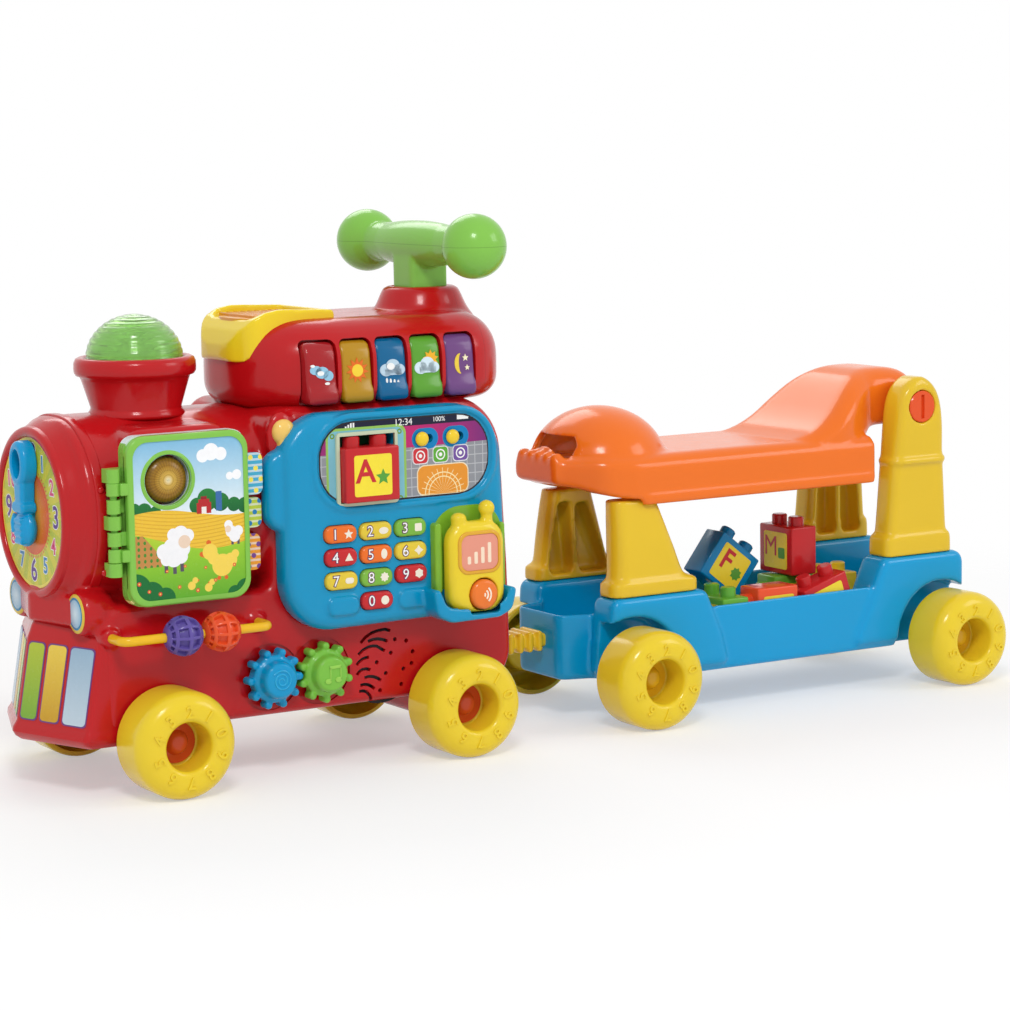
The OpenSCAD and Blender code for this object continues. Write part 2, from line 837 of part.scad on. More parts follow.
module cowcatcher() {
    color(red_colour)
        hull() {
            up(lip_z, lip_z + edge_t) cowcatcher_plan(0);
            up(lip_z + cowcatcher_h - edge_t, lip_z + cowcatcher_h) cowcatcher_plan(ridge_setback);
        }
}

module chimney() {
    base_r = chimney_base_d / 2;
    top_r = chimney_top_d / 2;
    ring_r = chimney_ring_d / 2;
    outline = [
        [0, -chimney_sink], [base_r, -chimney_sink], [base_r, 0], [top_r, chimney_cone_h],
        [ring_r, chimney_cone_h], [ring_r, chimney_cone_h + chimney_ring_h],
        [dome_d / 2 - chimney_wall, chimney_cone_h + chimney_ring_h],
        [dome_d / 2 - chimney_wall, chimney_cone_h], [0, chimney_cone_h]
    ];
    roll = chimney_ring_h * chimney_roll_share;
    rounds = [0, 0, 0, 0, roll, roll, 0, 0, 0];
    color(red_colour)
        difference() {
            translate([chimney_x, 0, chimney_z]) rotate_extrude() polygon(rounded(outline, rounds));
            loco_form(0);
        }
}

// Quarter of an ellipse from the rim up to the crown
function dome_curve(r, h) = [for (i = [0:dome_steps]) let (t = 90 * i / dome_steps)
    [r * cos(t), h * sin(t)]];

module chimney_dome() {
    outer = dome_curve(dome_d / 2, dome_h);
    inner = dome_curve(dome_d / 2 - dome_wall, dome_h - dome_wall);
    color(green_colour)
        translate([chimney_x, 0, chimney_rim_z])
            rotate_extrude() polygon(concat(outer, [for (i = [dome_steps:-1:0]) inner[i]]));
}

module roof_form(gap) {
    lo = [roof_x0 + gap, -roof_w / 2 + gap, roof_z0 + gap];
    hi = [roof_x1 - gap, roof_w / 2 - gap, roof_z1 - gap];
    edges = drawn_in([roof_foot_round, roof_foot_round, roof_round, roof_round], gap);
    corners = drawn_in([roof_nose_round, roof_tail_round, roof_tail_round, roof_nose_round], gap);
    intersection() {
        across(lo.y, hi.y) slab(rect(lo.x, lo.z, hi.x, hi.z), edges);
        along(lo.x, hi.x) slab(rect(lo.y, lo.z, hi.y, hi.z), edges);
        up(lo.z, hi.z) slab(rect(lo.x, lo.y, hi.x, hi.y), corners);
    }
}

// Passage for the wires between cab and roof
module wire_passage() {
    block([handle_x - socket_d, -wire_gap, roof_z0 - overrun],
        [handle_x - socket_d / 2, wire_gap, roof_z0 + wall + overrun]);
}

module piano_recess(gap) {
    x1 = piano_x0 + piano_pitch * piano_count;
    block([piano_x0 - gap, -roof_w, piano_z0 - overrun - gap],
        [x1 + gap, piano_back_y + piano_room + gap, piano_z1 + overrun + gap]);
}

module chute_plan(gap) {
    slab(rect(chute_x0 + gap, -chute_w / 2 + gap, chute_x1 - gap, chute_w / 2 - gap),
        drawn_in([chute_round, wall, wall, chute_round], gap));
}

module handle_socket() {
    difference() {
        translate([handle_x, 0, roof_z1 - wall]) cylinder(h = wall, d = socket_d);
        handle_post(slip / 2);
    }
    difference() {
        translate([handle_x, 0, roof_z1]) cylinder(h = socket_h, d1 = socket_d, d2 = socket_top_d);
        handle_post(slip / 2);
    }
}

module handle_post(gap) {
    block([handle_x - post_len / 2 - gap, -post_w / 2 - gap, roof_z1 - post_sink - gap],
        [handle_x + post_len / 2 + gap, post_w / 2 + gap, bar_z]);
}

module roof() {
    color(red_colour) {
        difference() {
            union() {
                difference() {
                    roof_form(0);
                    roof_form(wall);
                }
                intersection() {
                    roof_form(0);
                    piano_recess(wall);
                }
            }
            piano_recess(0);
            up(chute_z0, roof_z1 + overrun) chute_plan(0);
            handle_post(slip / 2);
            wire_passage();
        }
        handle_socket();
        rod_x(piano_x0 - wall / 2, piano_x0 + piano_pitch * piano_count + wall / 2, piano_rod_d,
            piano_rod_y, piano_rod_z);
    }
}

module chute() {
    color(yellow_colour)
        difference() {
            up(chute_z0, chute_z1) chute_plan(0);
            up(chute_z0 + chute_wall, chute_z1 + overrun) chute_plan(chute_wall);
        }
}

module handle() {
    color(green_colour) {
        handle_post(0);
        rod_y(-ball_span / 2, ball_span / 2, bar_d, handle_x, bar_z);
        for (side = [-1, 1])
            translate([handle_x, side * ball_span / 2, bar_z]) sphere(d = ball_d);
    }
}

module clock_hand() {
    half = hand_w / 2;
    hole = half - hand_rim;
    ring_z1 = boiler_z + hand_reach;
    ring_z = ring_z1 - hand_ring_h;
    neck = half * hand_neck_share;
    color(blue_colour) {
        difference() {
            union() {
                along(hand_x1 - hand_t, hand_x1)
                    slab(rect(-half, boiler_z - hand_foot, half, boiler_z + hand_foot * hand_shoulder_share),
                        even(half * hand_round_share));
                along(hand_x1 - hand_t, hand_x1)
                    slab(rect(-half, ring_z, half, ring_z1), even(half * hand_round_share));
                block([hand_x1 - hand_t, -neck, boiler_z], [hand_x1, neck, ring_z + hand_rim]);
            }
            along(hand_x1 - hand_t - overrun, hand_x1 + overrun)
                slab(rect(-hole, ring_z + hand_rim, hole, ring_z1 - hand_rim),
                    even(hole * hand_round_share));
        }
        rod_x(hand_x1, dial_x + hand_shaft, hand_shaft_d, 0, boiler_z);
    }
}

module bead_rod() {
    color(yellow_colour) {
        rod_x(rod_x0, rod_x1, rod_d, rod_y, rod_z);
        for (x = [rod_x0, rod_x1]) {
            translate([x, rod_y, rod_z]) sphere(d = rod_d);
            rod_y(rod_y, near_y, rod_d, x, rod_z);
        }
    }
}

// Round bead with grooves running round it
module bead(x) {
    r = bead_d / 2;
    difference() {
        translate([x, rod_y, rod_z]) rotate([0, 90, 0])
            difference() {
                sphere(d = bead_d);
                for (share = bead_groove_shares)
                    rotate_extrude()
                        translate([r * sqrt(1 - share * share) - bead_groove_depth,
                            r * share - bead_groove_w / 2])
                            square([bead_d, bead_groove_w]);
            }
        rod_x(x - bead_d, x + bead_d, rod_d + 4 * running_clear, rod_y, rod_z);
    }
}

module bead_purple() color(purple_colour) bead(bead_front_x);
module bead_orange() color(orange_colour) bead(bead_rear_x);

// One leaf of the book with its index tab, between two depths
module leaf(y0, y1, tab) {
    difference() {
        union() {
            across(y0, y1) slab(rect(leaf_x0, leaf_z0, leaf_x1, leaf_z1), even(leaf_round));
            if (len(tab) > 0)
                across(y0, y1)
                    slab(rect(leaf_x1 - leaf_round, leaf_z0 + leaf_h * tab[0], leaf_x1 + tab_reach,
                        leaf_z0 + leaf_h * tab[1]), even(tab_round));
        }
        rod_y(y0 - overrun, y1 + overrun, book_lens_d + 2 * lens_gap, book_lens_x, book_lens_z);
    }
}

// Knuckles round the hinge pin, each with the arm that carries its leaf
module knuckles(shares, y0, y1) {
    for (share = shares) {
        z0 = leaf_z0 + leaf_h * share;
        z1 = z0 + leaf_h * knuckle_h_share;
        rod_z(z0, z1, knuckle_d, book_pin_x, book_pin_y);
        block([book_pin_x, y0, z0], [leaf_x0 + leaf_round, y1, z1]);
    }
}

module book_base() {
    pin_z0 = leaf_z0 + leaf_h * hinge_foot_share;
    pin_z1 = leaf_z0 + leaf_h * hinge_top_share;
    color(green_colour) {
        leaf(base_y, near_y, base_tab_shares);
        knuckles(base_knuckle_shares, base_y, near_y);
        for (share = base_knuckle_shares)
            block([book_pin_x - knuckle_d / 2, book_pin_y, leaf_z0 + leaf_h * share],
                [book_pin_x + knuckle_d / 2, near_y, leaf_z0 + leaf_h * (share + knuckle_h_share)]);
        rod_z(pin_z0, pin_z1, book_pin_d, book_pin_x, book_pin_y);
    }
}

module hinged_leaf(y0, y1, tab, shares) {
    difference() {
        union() {
            leaf(y0, y1, tab);
            knuckles(shares, max(y0, book_pin_y - knuckle_d / 2), min(y1, book_pin_y + knuckle_d / 2));
        }
        rod_z(leaf_z0, leaf_z1, book_pin_d + 2 * running_clear, book_pin_x, book_pin_y);
    }
}

module book_page_dot() {
    color(yellow_colour) hinged_leaf(dot_y, dot_y + leaf_t, dot_tab_shares, dot_knuckle_shares);
}

module book_page_star() {
    color(blue_colour) hinged_leaf(star_y, star_y + leaf_t, star_tab_shares, star_knuckle_shares);
}

module book_cover() {
    color(green_colour) hinged_leaf(cover_y, cover_y + cover_t, [], cover_knuckle_shares);
}

module book_lens() {
    r = book_lens_d / 2;
    rise = near_y - cover_y;
    color(amber_colour)
        translate([book_lens_x, near_y, book_lens_z])
            rotate([90, 0, 0])
                rotate_extrude()
                    polygon(rounded([[0, 0], [r, 0], [r, lens_foot], [r * lens_crown_share, rise], [0, rise]],
                        [0, 0, lens_foot, r * lens_round_share, 0]));
}

// Rows count up from the 0 key's, columns from the middle
function key_row(n) = n == 0 ? 0 : 3 - floor((n - 1) / 3);
function key_column(n) = n == 0 ? 0 : (n - 1) % 3 - 1;
function key_place(n) = [key_x + key_column(n) * key_pitch_x, key_z + (key_row(n) - 1) * key_pitch_z];

module key_outline(n, grow) {
    p = key_place(n);
    w = key_w / 2 + grow;
    h = key_h / 2 + grow;
    slab(rect(p.x - w, p.y - h, p.x + w, p.y + h), even(h * key_round_share));
}

module number_key(n, colour) {
    front = panel_y - key_proud;
    back = panel_y + panel_wall + slip;
    color(colour) {
        across(front, back + key_flange_t) key_outline(n, 0);
        across(back, back + key_flange_t) key_outline(n, key_flange);
    }
}

module key_0() number_key(0, red_colour);
module key_1() number_key(1, orange_colour);
module key_2() number_key(2, yellow_colour);
module key_3() number_key(3, green_colour);
module key_4() number_key(4, red_colour);
module key_5() number_key(5, orange_colour);
module key_6() number_key(6, yellow_colour);
module key_7() number_key(7, yellow_colour);
module key_8() number_key(8, green_colour);
module key_9() number_key(9, red_colour);

function knob_x(i) = panel_x0 + panel_w * knob_x_shares[i];

module knob(i) {
    back = panel_y + panel_wall + slip;
    color(yellow_colour) {
        rod_y(panel_y - knob_proud, panel_y - slip, knob_d, knob_x(i), knob_z);
        rod_y(panel_y - knob_proud, back + key_flange_t, knob_stem, knob_x(i), knob_z);
        rod_y(back, back + key_flange_t, knob_d, knob_x(i), knob_z);
    }
}

module volume_switch() knob(0);
module mode_switch() knob(1);

module knob_slot(i) {
    r = knob_stem / 2 + slip;
    across(panel_y - overrun, near_y)
        slab(rect(knob_x(i) - r, knob_z - r, knob_x(i) + knob_travel + r, knob_z + r),
            even(r * key_round_share));
}

// Outline of the reader's pocket, grown by a margin
module slot_outline(grow) {
    half = block_w / 2 + slip + grow;
    slab(rect(slot_x - half, slot_z - slip - grow, slot_x + half, slot_z + block_h + stud_h + slip + grow),
        even(grow));
}

// Sleeve round the reader's block, open to the front
module cradle() {
    difference() {
        across(panel_y - cradle_lip, slot_back_y) slot_outline(cradle_t);
        across(panel_y - block_t, slot_back_y + overrun) slot_outline(0);
    }
}

// Cup that the phone stands in, notched in front of its button
module phone_cup() {
    x0 = phone_x - phone_w / 2 - slip;
    x1 = phone_x + phone_w / 2 + slip;
    notch = call_d / 2 + 2 * slip;
    difference() {
        across(cup_y, panel_y)
            slab(rect(x0 - cup_wall, phone_z0 - slip - cup_wall, x1 + cup_wall, phone_z0 + cup_h),
                even(cup_wall));
        block([x0, cup_y + cup_wall, phone_z0 - slip], [x1, panel_y, phone_z1]);
        block([call_x - notch, cup_y - overrun, phone_z0 - slip], [call_x + notch, panel_y, phone_z1]);
    }
}

module panel() {
    outline = rect(panel_x0, panel_z0, panel_x1, panel_z1);
    ear = rect(panel_x0 - ear_w / 2, ear_z - ear_h / 2, panel_x0 + ear_w, ear_z + ear_h / 2);
    color(blue_colour) {
        difference() {
            union() {
                across(panel_y, near_y) slab(outline, even(panel_round));
                across(near_y - ear_depth, near_y) slab(ear, even(ear_w / 4));
            }
            across(panel_y + panel_wall, near_y + overrun) slab(outline, even(panel_round), panel_wall);
            for (n = [0:9]) across(panel_y - overrun, near_y) key_outline(n, slip);
            for (i = [0, 1]) knob_slot(i);
            across(panel_y - overrun, near_y) slot_outline(0);
        }
        cradle();
        phone_cup();
    }
}

module phone() {
    x0 = phone_x - phone_w / 2;
    x1 = phone_x + phone_w / 2;
    y1 = phone_y + phone_t;
    mid_y = phone_y + phone_t / 2;
    color(yellow_colour)
        difference() {
            union() {
                across(phone_y, y1) slab(rect(x0, phone_z0, x1, phone_z1), even(phone_w * phone_round_share));
                rod_z(phone_z1 - aerial_h, phone_z1 + aerial_h, phone_t * aerial_d_share,
                    x0 + phone_w * aerial_x_shares[1], mid_y);
                rod_z(phone_z1 - aerial_h, phone_z1 + aerial_h * stub_share, phone_t * aerial_d_share,
                    x0 + phone_w * aerial_x_shares[0], mid_y);
            }
            rod_y(phone_y - overrun, phone_y + call_sink + call_travel, call_d + 2 * slip, call_x, call_z);
        }
}

module phone_button() {
    color(orange_colour) rod_y(phone_y - call_proud, phone_y + call_sink, call_d, call_x, call_z);
}

// A two-stud block standing on z = 0, centred on x and y
module toy_block() {
    w = block_w / 2;
    t = block_t / 2;
    translate([-w, -t, 0]) cube([block_w, block_t, block_h]);
    for (side = [-1, 1])
        translate([side * w / 2, 0, 0]) cylinder(h = block_h + stud_h, d = stud_d);
}

module slot_block() {
    color(red_colour) translate([slot_x, slot_y0 + block_t / 2, slot_z]) toy_block();
}

// Web, round teeth and the bridges that join them
module gear_outline(spin) {
    circle(d = gear_web_d);
    for (i = [1:gear_teeth])
        rotate(spin + 360 * i / gear_teeth) {
            translate([gear_pitch_d / 2, 0]) circle(d = tooth_d);
            translate([0, -tooth_d / 4]) square([gear_pitch_d / 2, tooth_d / 2]);
        }
}

module gear(x, spin) {
    difference() {
        union() {
            translate([x, 0, gear_z]) across(gear_y0, gear_y1) gear_outline(spin);
            rod_y(gear_y0 - drum_h, gear_y1 - gear_t / 2, drum_d, x, gear_z);
        }
        rod_y(spindle_y - running_clear, gear_y1 + overrun, spindle_d + 2 * running_clear, x, gear_z);
    }
}

module gear_blue() color(blue_colour) gear(gear_x, 0);
module gear_green() color(green_colour) gear(gear_x + gear_span, 180 / gear_teeth);

module piano_key(i, colour) {
    x0 = piano_x0 + piano_pitch * (i - 1) + piano_gap / 2;
    x1 = x0 + piano_pitch - piano_gap;
    outline = blended([piano_back_y, piano_z0], [piano_front_y, piano_z1], piano_shares);
    color(colour)
        difference() {
            along(x0, x1) polygon(outline);
            rod_x(x0 - overrun, x1 + overrun, piano_rod_d + 2 * running_clear, piano_rod_y, piano_rod_z);
        }
}

module piano_key_1() piano_key(1, red_colour);
module piano_key_2() piano_key(2, yellow_colour);
module piano_key_3() piano_key(3, teal_colour);
module piano_key_4() piano_key(4, green_colour);
module piano_key_5() piano_key(5, purple_colour);

module speaker() {
    color(dark_colour)
        translate([speaker_x, near_y + wall, speaker_z]) rotate([-90, 0, 0]) {
            cylinder(h = speaker_t / 2, d = speaker_d);
            cylinder(h = speaker_t, d = speaker_d / 2);
        }
}

module circuit_board() {
    x = (panel_x0 + panel_x1) / 2;
    z = (panel_z0 + panel_z1) / 2;
    w = panel_w * board_share / 2;
    h = panel_h * board_share / 2;
    color(board_colour) block([x - w, near_y - board_t, z - h], [x + w, near_y, z + h]);
}

module battery_pack() {
    pitch = cell_d + cell_gap;
    z = floor_z + wall + door_lip + cell_d / 2;
    color(dark_colour)
        for (i = [1:cell_count])
            rod_x(cell_x, cell_x + cell_len, cell_d, door_margin + i * pitch - pitch / 2, z);
}

module battery_door() {
    x0 = cell_x - door_margin;
    x1 = cell_x + cell_len + door_margin;
    y0 = door_margin;
    y1 = door_margin + cell_count * (cell_d + cell_gap);
    color(red_colour) {
        block([x0, y0, floor_z], [x1, y1, floor_z + wall]);
        block([x0 - door_lip, y0 - door_lip, floor_z + wall],
            [x1 + door_lip, y1 + door_lip, floor_z + wall + door_lip]);
    }
}

module loco_axles() axle_pair(loco_x, loco_rear_x);
module loco_wheel_front_near() wheel(loco_x, -1);
module loco_wheel_front_far() wheel(loco_x, 1);
module loco_wheel_rear_near() wheel(loco_rear_x, -1);
module loco_wheel_rear_far() wheel(loco_rear_x, 1);
module wagon_axles() axle_pair(wagon_x, wagon_rear_x);
module wagon_wheel_front_near() wheel(wagon_x, -1);
module wagon_wheel_front_far() wheel(wagon_x, 1);
module wagon_wheel_rear_near() wheel(wagon_rear_x, -1);
module wagon_wheel_rear_far() wheel(wagon_rear_x, 1);

// Tray, bin and leg blocks of the wagon, drawn in by gap
module tray_form(gap, z0, z1) {
    bin_half = bin_w / 2;
    plan = [
        [bin_x, -bin_half], [tray_x0, -block_in_y], [tray_x0, -tray_side_y], [tray_x1, -tray_side_y],
        [tray_x1, tray_side_y], [tray_x0, tray_side_y], [tray_x0, block_in_y], [bin_x, bin_half]
    ];
    rounds = [tray_round, 0, tray_round, tray_round, tray_round, tray_round, 0, tray_round];
    up(z0, z1) slab(plan, rounds, gap);
}

module leg_block(x0, x1, z1, gap) {
    block([x0 + gap, block_in_y + gap, tray_z - (gap > 0 ? overrun : 0)],
        [x1 - gap, half_w - gap, z1 - gap]);
}

module leg_blocks(gap) {
    both_sides() {
        leg_block(tray_x0, front_block_x1, front_block_z, gap);
        leg_block(rear_block_x0, tray_x1, rear_block_z, gap);
    }
}

module arches(grow) {
    both_sides()
        for (x = [wagon_x, wagon_rear_x])
            rod_y(half_w - arch_depth - grow, half_w + overrun, 2 * (arch_r + grow), x, axle_z);
}

module wagon_tray() {
    color(blue_colour)
        difference() {
            union() {
                difference() {
                    tray_form(0, tray_z, tray_z1);
                    tray_form(wall, tray_floor_z + wall, tray_z1 + overrun);
                    tray_form(wall, tray_z - overrun, tray_floor_z);
                }
                leg_blocks(0);
            }
            difference() {
                leg_blocks(wall);
                arches(wall);
            }
            arches(0);
            for (x = [wagon_x, wagon_rear_x])
                rod_y(-half_w - overrun, half_w + overrun, axle_d, x, axle_z);
        }
}

// Side outlines of the legs, as shares of their foot's length and their height
front_leg_shares = [[0, 0], [1, 0], [1, 0.16], [0.88, 0.3], [0.62, 1], [0.12, 1], [0.04, 0.3], [0, 0.16]];
rear_leg_shares = [
    [0, 0], [1, 0], [0.99, 0.1], [0.92, 0.16], [0.85, 0.5], [0.78, 1], [0.25, 1], [0.12, 0.5], [0.05, 0.16],
    [0.01, 0.1]
];
front_leg_lo = [tray_x0 + leg_inset, front_block_z];
front_leg_hi = [front_leg_lo.x + front_leg_len, front_leg_z1];
rear_leg_lo = [rear_block_x0 + rear_leg_setback, rear_block_z];
rear_leg_hi = [tray_x1 - rear_leg_tail, rear_leg_z1];
front_leg_rounds = even(leg_inset, len(front_leg_shares));
rear_leg_rounds = [for (s = rear_leg_shares) s.y == 1 ? rear_leg_round : leg_inset];

// One hollow leg, open towards the middle of the wagon
module leg(lo, hi, shares, rounds) {
    intersection() {
        difference() {
            across(leg_in_y, leg_out_y) slab(blended(lo, hi, shares), rounds);
            across(leg_in_y - overrun, leg_out_y - leg_wall) slab(blended(lo, hi, shares), rounds, leg_wall);
        }
        up(lo.y, hi.y) slab(rect(lo.x, leg_in_y, hi.x, leg_out_y), even(leg_round));
    }
}

module wagon_legs() {
    color(yellow_colour)
        both_sides() {
            leg(front_leg_lo, front_leg_hi, front_leg_shares, front_leg_rounds);
            difference() {
                union() {
                    leg(rear_leg_lo, rear_leg_hi, rear_leg_shares, rear_leg_rounds);
                    rod_y(leg_in_y, leg_out_y, pivot_boss_d, pivot_x, pivot_z);
                }
                rod_y(leg_in_y - overrun, leg_out_y + overrun, pivot_d, pivot_x, pivot_z);
                rod_y(leg_out_y - pivot_head_t, leg_out_y + overrun, pivot_head_d, pivot_x, pivot_z);
            }
        }
}

module seat_pins() {
    color(orange_colour)
        both_sides() {
            rod_y(neck_w / 2 - pivot_d, leg_out_y - pivot_head_t, pivot_d, pivot_x, pivot_z);
            rod_y(leg_out_y - pivot_head_t, leg_out_y, pivot_head_d, pivot_x, pivot_z);
        }
}

// Side outline of the seat: grip, flat top and backrest
back_shares = [[1, 0.62], [0.93, 1], [0.74, 1], [0.45, 0.6], [0.3, 0.24], [0, 0]];
tail_shares = [[0, 0], [0.3, 0.55], [1, 0.6]];
seat_rounds = [
    [8, 6, 10, 6], [6, 8, 14, 20, 20, 40], [3, 5]
];

function seat_outline() = let (
    back = [seat_x1 - back_len, seat_top_z],
    tail = [seat_step_x, seat_edge_z]
) concat(
    [[seat_x0, seat_edge_z]],
    blended(tail, [seat_x1, pivot_z], tail_shares),
    blended(back, back + [back_len, back_h], back_shares),
    [[seat_x0 + grip_bar, seat_top_z], [seat_x0, seat_top_z - grip_drop]]
);

module seat_plan(gap) {
    half = seat_w / 2;
    neck = neck_w / 2;
    plan = [
        [seat_x0, -half], [seat_step_x, -half], [seat_step_x, -neck], [seat_x1, -neck],
        [seat_x1, neck], [seat_step_x, neck], [seat_step_x, half], [seat_x0, half]
    ];
    rounds = [
        seat_corner, seat_edge_round, 0, seat_edge_round, seat_edge_round, 0, seat_edge_round, seat_corner
    ];
    slab(plan, rounds, gap);
}

// Cross-section of the seat: upright skirts, then sides that lean in over hump and backrest
module seat_section(gap) {
    half = seat_w / 2;
    crown = half * seat_crown_share;
    top = seat_top_z + back_h;
    section = [
        [-half, seat_edge_z], [half, seat_edge_z], [half, seat_top_z], [crown, top], [-crown, top],
        [-half, seat_top_z]
    ];
    slab(section, [0, 0, seat_wall, seat_crown_round, seat_crown_round, seat_wall], gap);
}

module seat_form(gap) {
    intersection() {
        along(seat_x0, seat_x1) seat_section(gap);
        across(-seat_w / 2, seat_w / 2) slab(seat_outline(), [for (group = seat_rounds) each group], gap);
        up(0, roof_z1) seat_plan(gap);
    }
    intersection() {
        translate([hump_x, 0, hump_z]) sphere(r = hump_r - gap);
        block([seat_x0, -half_w, seat_top_z - 2 * seat_wall], [seat_x1, half_w, roof_z1]);
    }
}

module seat() {
    grip_x = seat_x0 + grip_bar;
    color(orange_colour)
        difference() {
            difference() {
                seat_form(0);
                difference() {
                    union() {
                        seat_form(seat_wall);
                        intersection() {
                            translate([0, 0, -2 * seat_wall]) seat_form(seat_wall);
                            block([seat_x0, -seat_w, 0], [seat_step_x, seat_w, seat_top_z - seat_wall]);
                        }
                    }
                    rod_y(-half_w, half_w, pivot_boss_d, pivot_x, pivot_z);
                    both_sides() block(rest_lo, rest_lo + rest_pad);
                }
            }
            rod_y(-half_w, half_w, pivot_d + 2 * running_clear, pivot_x, pivot_z);
            both_sides()
                block([tray_x0, leg_in_y - slip, 0], [front_block_x1, half_w, front_leg_z1 + slip]);
            translate([grip_x, -grip_w / 2, 0]) cube([grip_len, grip_w, roof_z1]);
        }
}

module tow_bar() {
    ribs_x = bin_x - tow_ribs * tow_pitch;
    color(yellow_colour) {
        block([hitch_x, -tow_w / 2, tow_z0], [bin_x, tow_w / 2, tow_z1]);
        rod_z(tow_z0, tow_z1, tow_w, hitch_x, 0);
        rod_z(floor_z, tow_z1, hitch_peg_d, hitch_x, 0);
        for (i = [0:tow_ribs - 1])
            block([ribs_x + i * tow_pitch, -tow_w / 2 - tow_rib, tow_z0 - tow_rib],
                [ribs_x + i * tow_pitch + tow_pitch / 2, tow_w / 2 + tow_rib, tow_z1 + tow_rib]);
    }
}

// Loose blocks in the tray. Each row: place along and across the tray as shares, height above the
// tray floor as a share of a block's thickness, then tilt about the cross axis, lean and turn
loose_shares = [
    [0.1, -0.62, 0], [0.4, -0.755, 0], [0.775, -0.755, 0], [0.33, 0.02, 1.05], [0.36, 0.02, 0],
    [0.74, -0.12, 0], [0.76, -0.12, 1.8], [1.09, 0, 0]
];
loose_turns = [
    [0, 0, 90], [-90, 0, 0], [-18, 0, 0], [38, 0, 0], [0, 90, 0], [-90, 0, 0], [0, 0, 90], [0, 0, 0]
];

// Lowest point below a block's centre once it is tilted or leant
function block_sink(t) = t[1] != 0 ? block_t / 2
    : abs(sin(t[0])) * block_w / 2 + abs(cos(t[0])) * block_h / 2;

module loose_blocks() {
    floor_top = tray_floor_z + wall + slip;
    color(red_colour)
        for (i = [0:len(loose_shares) - 1]) {
            s = loose_shares[i];
            t = loose_turns[i];
            x = front_block_x1 + (rear_block_x0 - front_block_x1) * s.x;
            y = tray_side_y * s.y;
            z = floor_top + block_t * s.z + block_sink(t);
            translate([x, y, z]) rotate([t[1], t[0], t[2]]) translate([0, 0, -block_h / 2]) toy_block();
        }
}

shell_near();
shell_far();
cowcatcher();
chimney();
chimney_dome();
roof();
chute();
handle();
bead_rod();
book_base();
book_lens();
panel();
speaker();
circuit_board();
battery_pack();
battery_door();
loco_axles();
loco_wheel_front_near();
loco_wheel_front_far();
loco_wheel_rear_near();
loco_wheel_rear_far();
clock_hand();
bead_purple();
bead_orange();
book_cover();
book_page_star();
book_page_dot();
gear_blue();
gear_green();
key_0();
key_1();
key_2();
key_3();
key_4();
key_5();
key_6();
key_7();
key_8();
key_9();
volume_switch();
mode_switch();
phone();
phone_button();
slot_block();
piano_key_1();
piano_key_2();
piano_key_3();
piano_key_4();
piano_key_5();
wagon_tray();
wagon_legs();
seat();
seat_pins();
tow_bar();
wagon_axles();
wagon_wheel_front_near();
wagon_wheel_front_far();
wagon_wheel_rear_near();
wagon_wheel_rear_far();
loose_blocks();
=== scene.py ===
"""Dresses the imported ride-on train with smooth mouldings, printed labels and a studio.

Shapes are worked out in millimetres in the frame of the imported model: the train faces -X,
its activity side is -Y and the floor under its wheels is z = 0.
"""

import logging
import math
from collections.abc import Callable, Iterator, Sequence
from contextlib import contextmanager
from dataclasses import dataclass
from enum import Enum

import bmesh
import bpy
from mathutils import Matrix, Vector


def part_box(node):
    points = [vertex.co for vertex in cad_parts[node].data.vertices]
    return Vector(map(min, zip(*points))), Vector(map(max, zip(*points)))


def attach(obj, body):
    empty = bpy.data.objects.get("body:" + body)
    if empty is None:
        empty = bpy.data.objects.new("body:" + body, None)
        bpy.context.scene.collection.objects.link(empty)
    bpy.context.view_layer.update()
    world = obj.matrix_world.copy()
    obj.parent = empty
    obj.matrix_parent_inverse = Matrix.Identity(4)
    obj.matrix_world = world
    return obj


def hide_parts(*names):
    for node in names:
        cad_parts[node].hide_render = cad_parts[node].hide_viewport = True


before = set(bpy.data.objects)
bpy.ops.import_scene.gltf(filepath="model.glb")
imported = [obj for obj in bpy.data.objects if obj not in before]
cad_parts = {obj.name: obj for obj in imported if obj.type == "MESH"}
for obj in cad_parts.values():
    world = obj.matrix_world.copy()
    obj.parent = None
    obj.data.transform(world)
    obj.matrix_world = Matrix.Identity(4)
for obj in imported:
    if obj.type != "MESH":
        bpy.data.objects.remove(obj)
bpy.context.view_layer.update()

LOG = logging.getLogger("train")
MM = 0.001
X_AXIS = (1, 0, 0)
Y_AXIS = (0, 1, 0)
Z_AXIS = (0, 0, 1)
NEAR_AXIS = (0, -1, 0)
LIFT = Vector((0.0, 0.0, 0.001))
SAME_LEVEL = 1e-6
RIM_BEND = 0.3
DIGIT_SHARE = 0.7
DEGREES = 180 / math.pi
BRIGHT = (1.0, 1.0, 1.0, 1.0)

Pair = tuple[float, float]
Triple = tuple[float, float, float]
Quad = tuple[float, float, float, float]
Outline = list[Pair]
Colour = Quad
Piece = bpy.types.Object


def ink(red: int, green: int, blue: int) -> Colour:
    """The linear colour of a screen colour.

    Args:
        red: Red, from 0 to 255.
        green: Green, from 0 to 255.
        blue: Blue, from 0 to 255.

    Returns:
        The colour as shaders take it.
    """
    shares = [part / 255 for part in (red, green, blue)]
    parts = [s / 12.92 if s <= 0.04045 else ((s + 0.055) / 1.055) ** 2.4 for s in shares]
    return (parts[0], parts[1], parts[2], 1.0)


def tinted(colour: Colour, share: float) -> Colour:
    """The colour with its brightness scaled by a share."""
    return (colour[0] * share, colour[1] * share, colour[2] * share, 1.0)


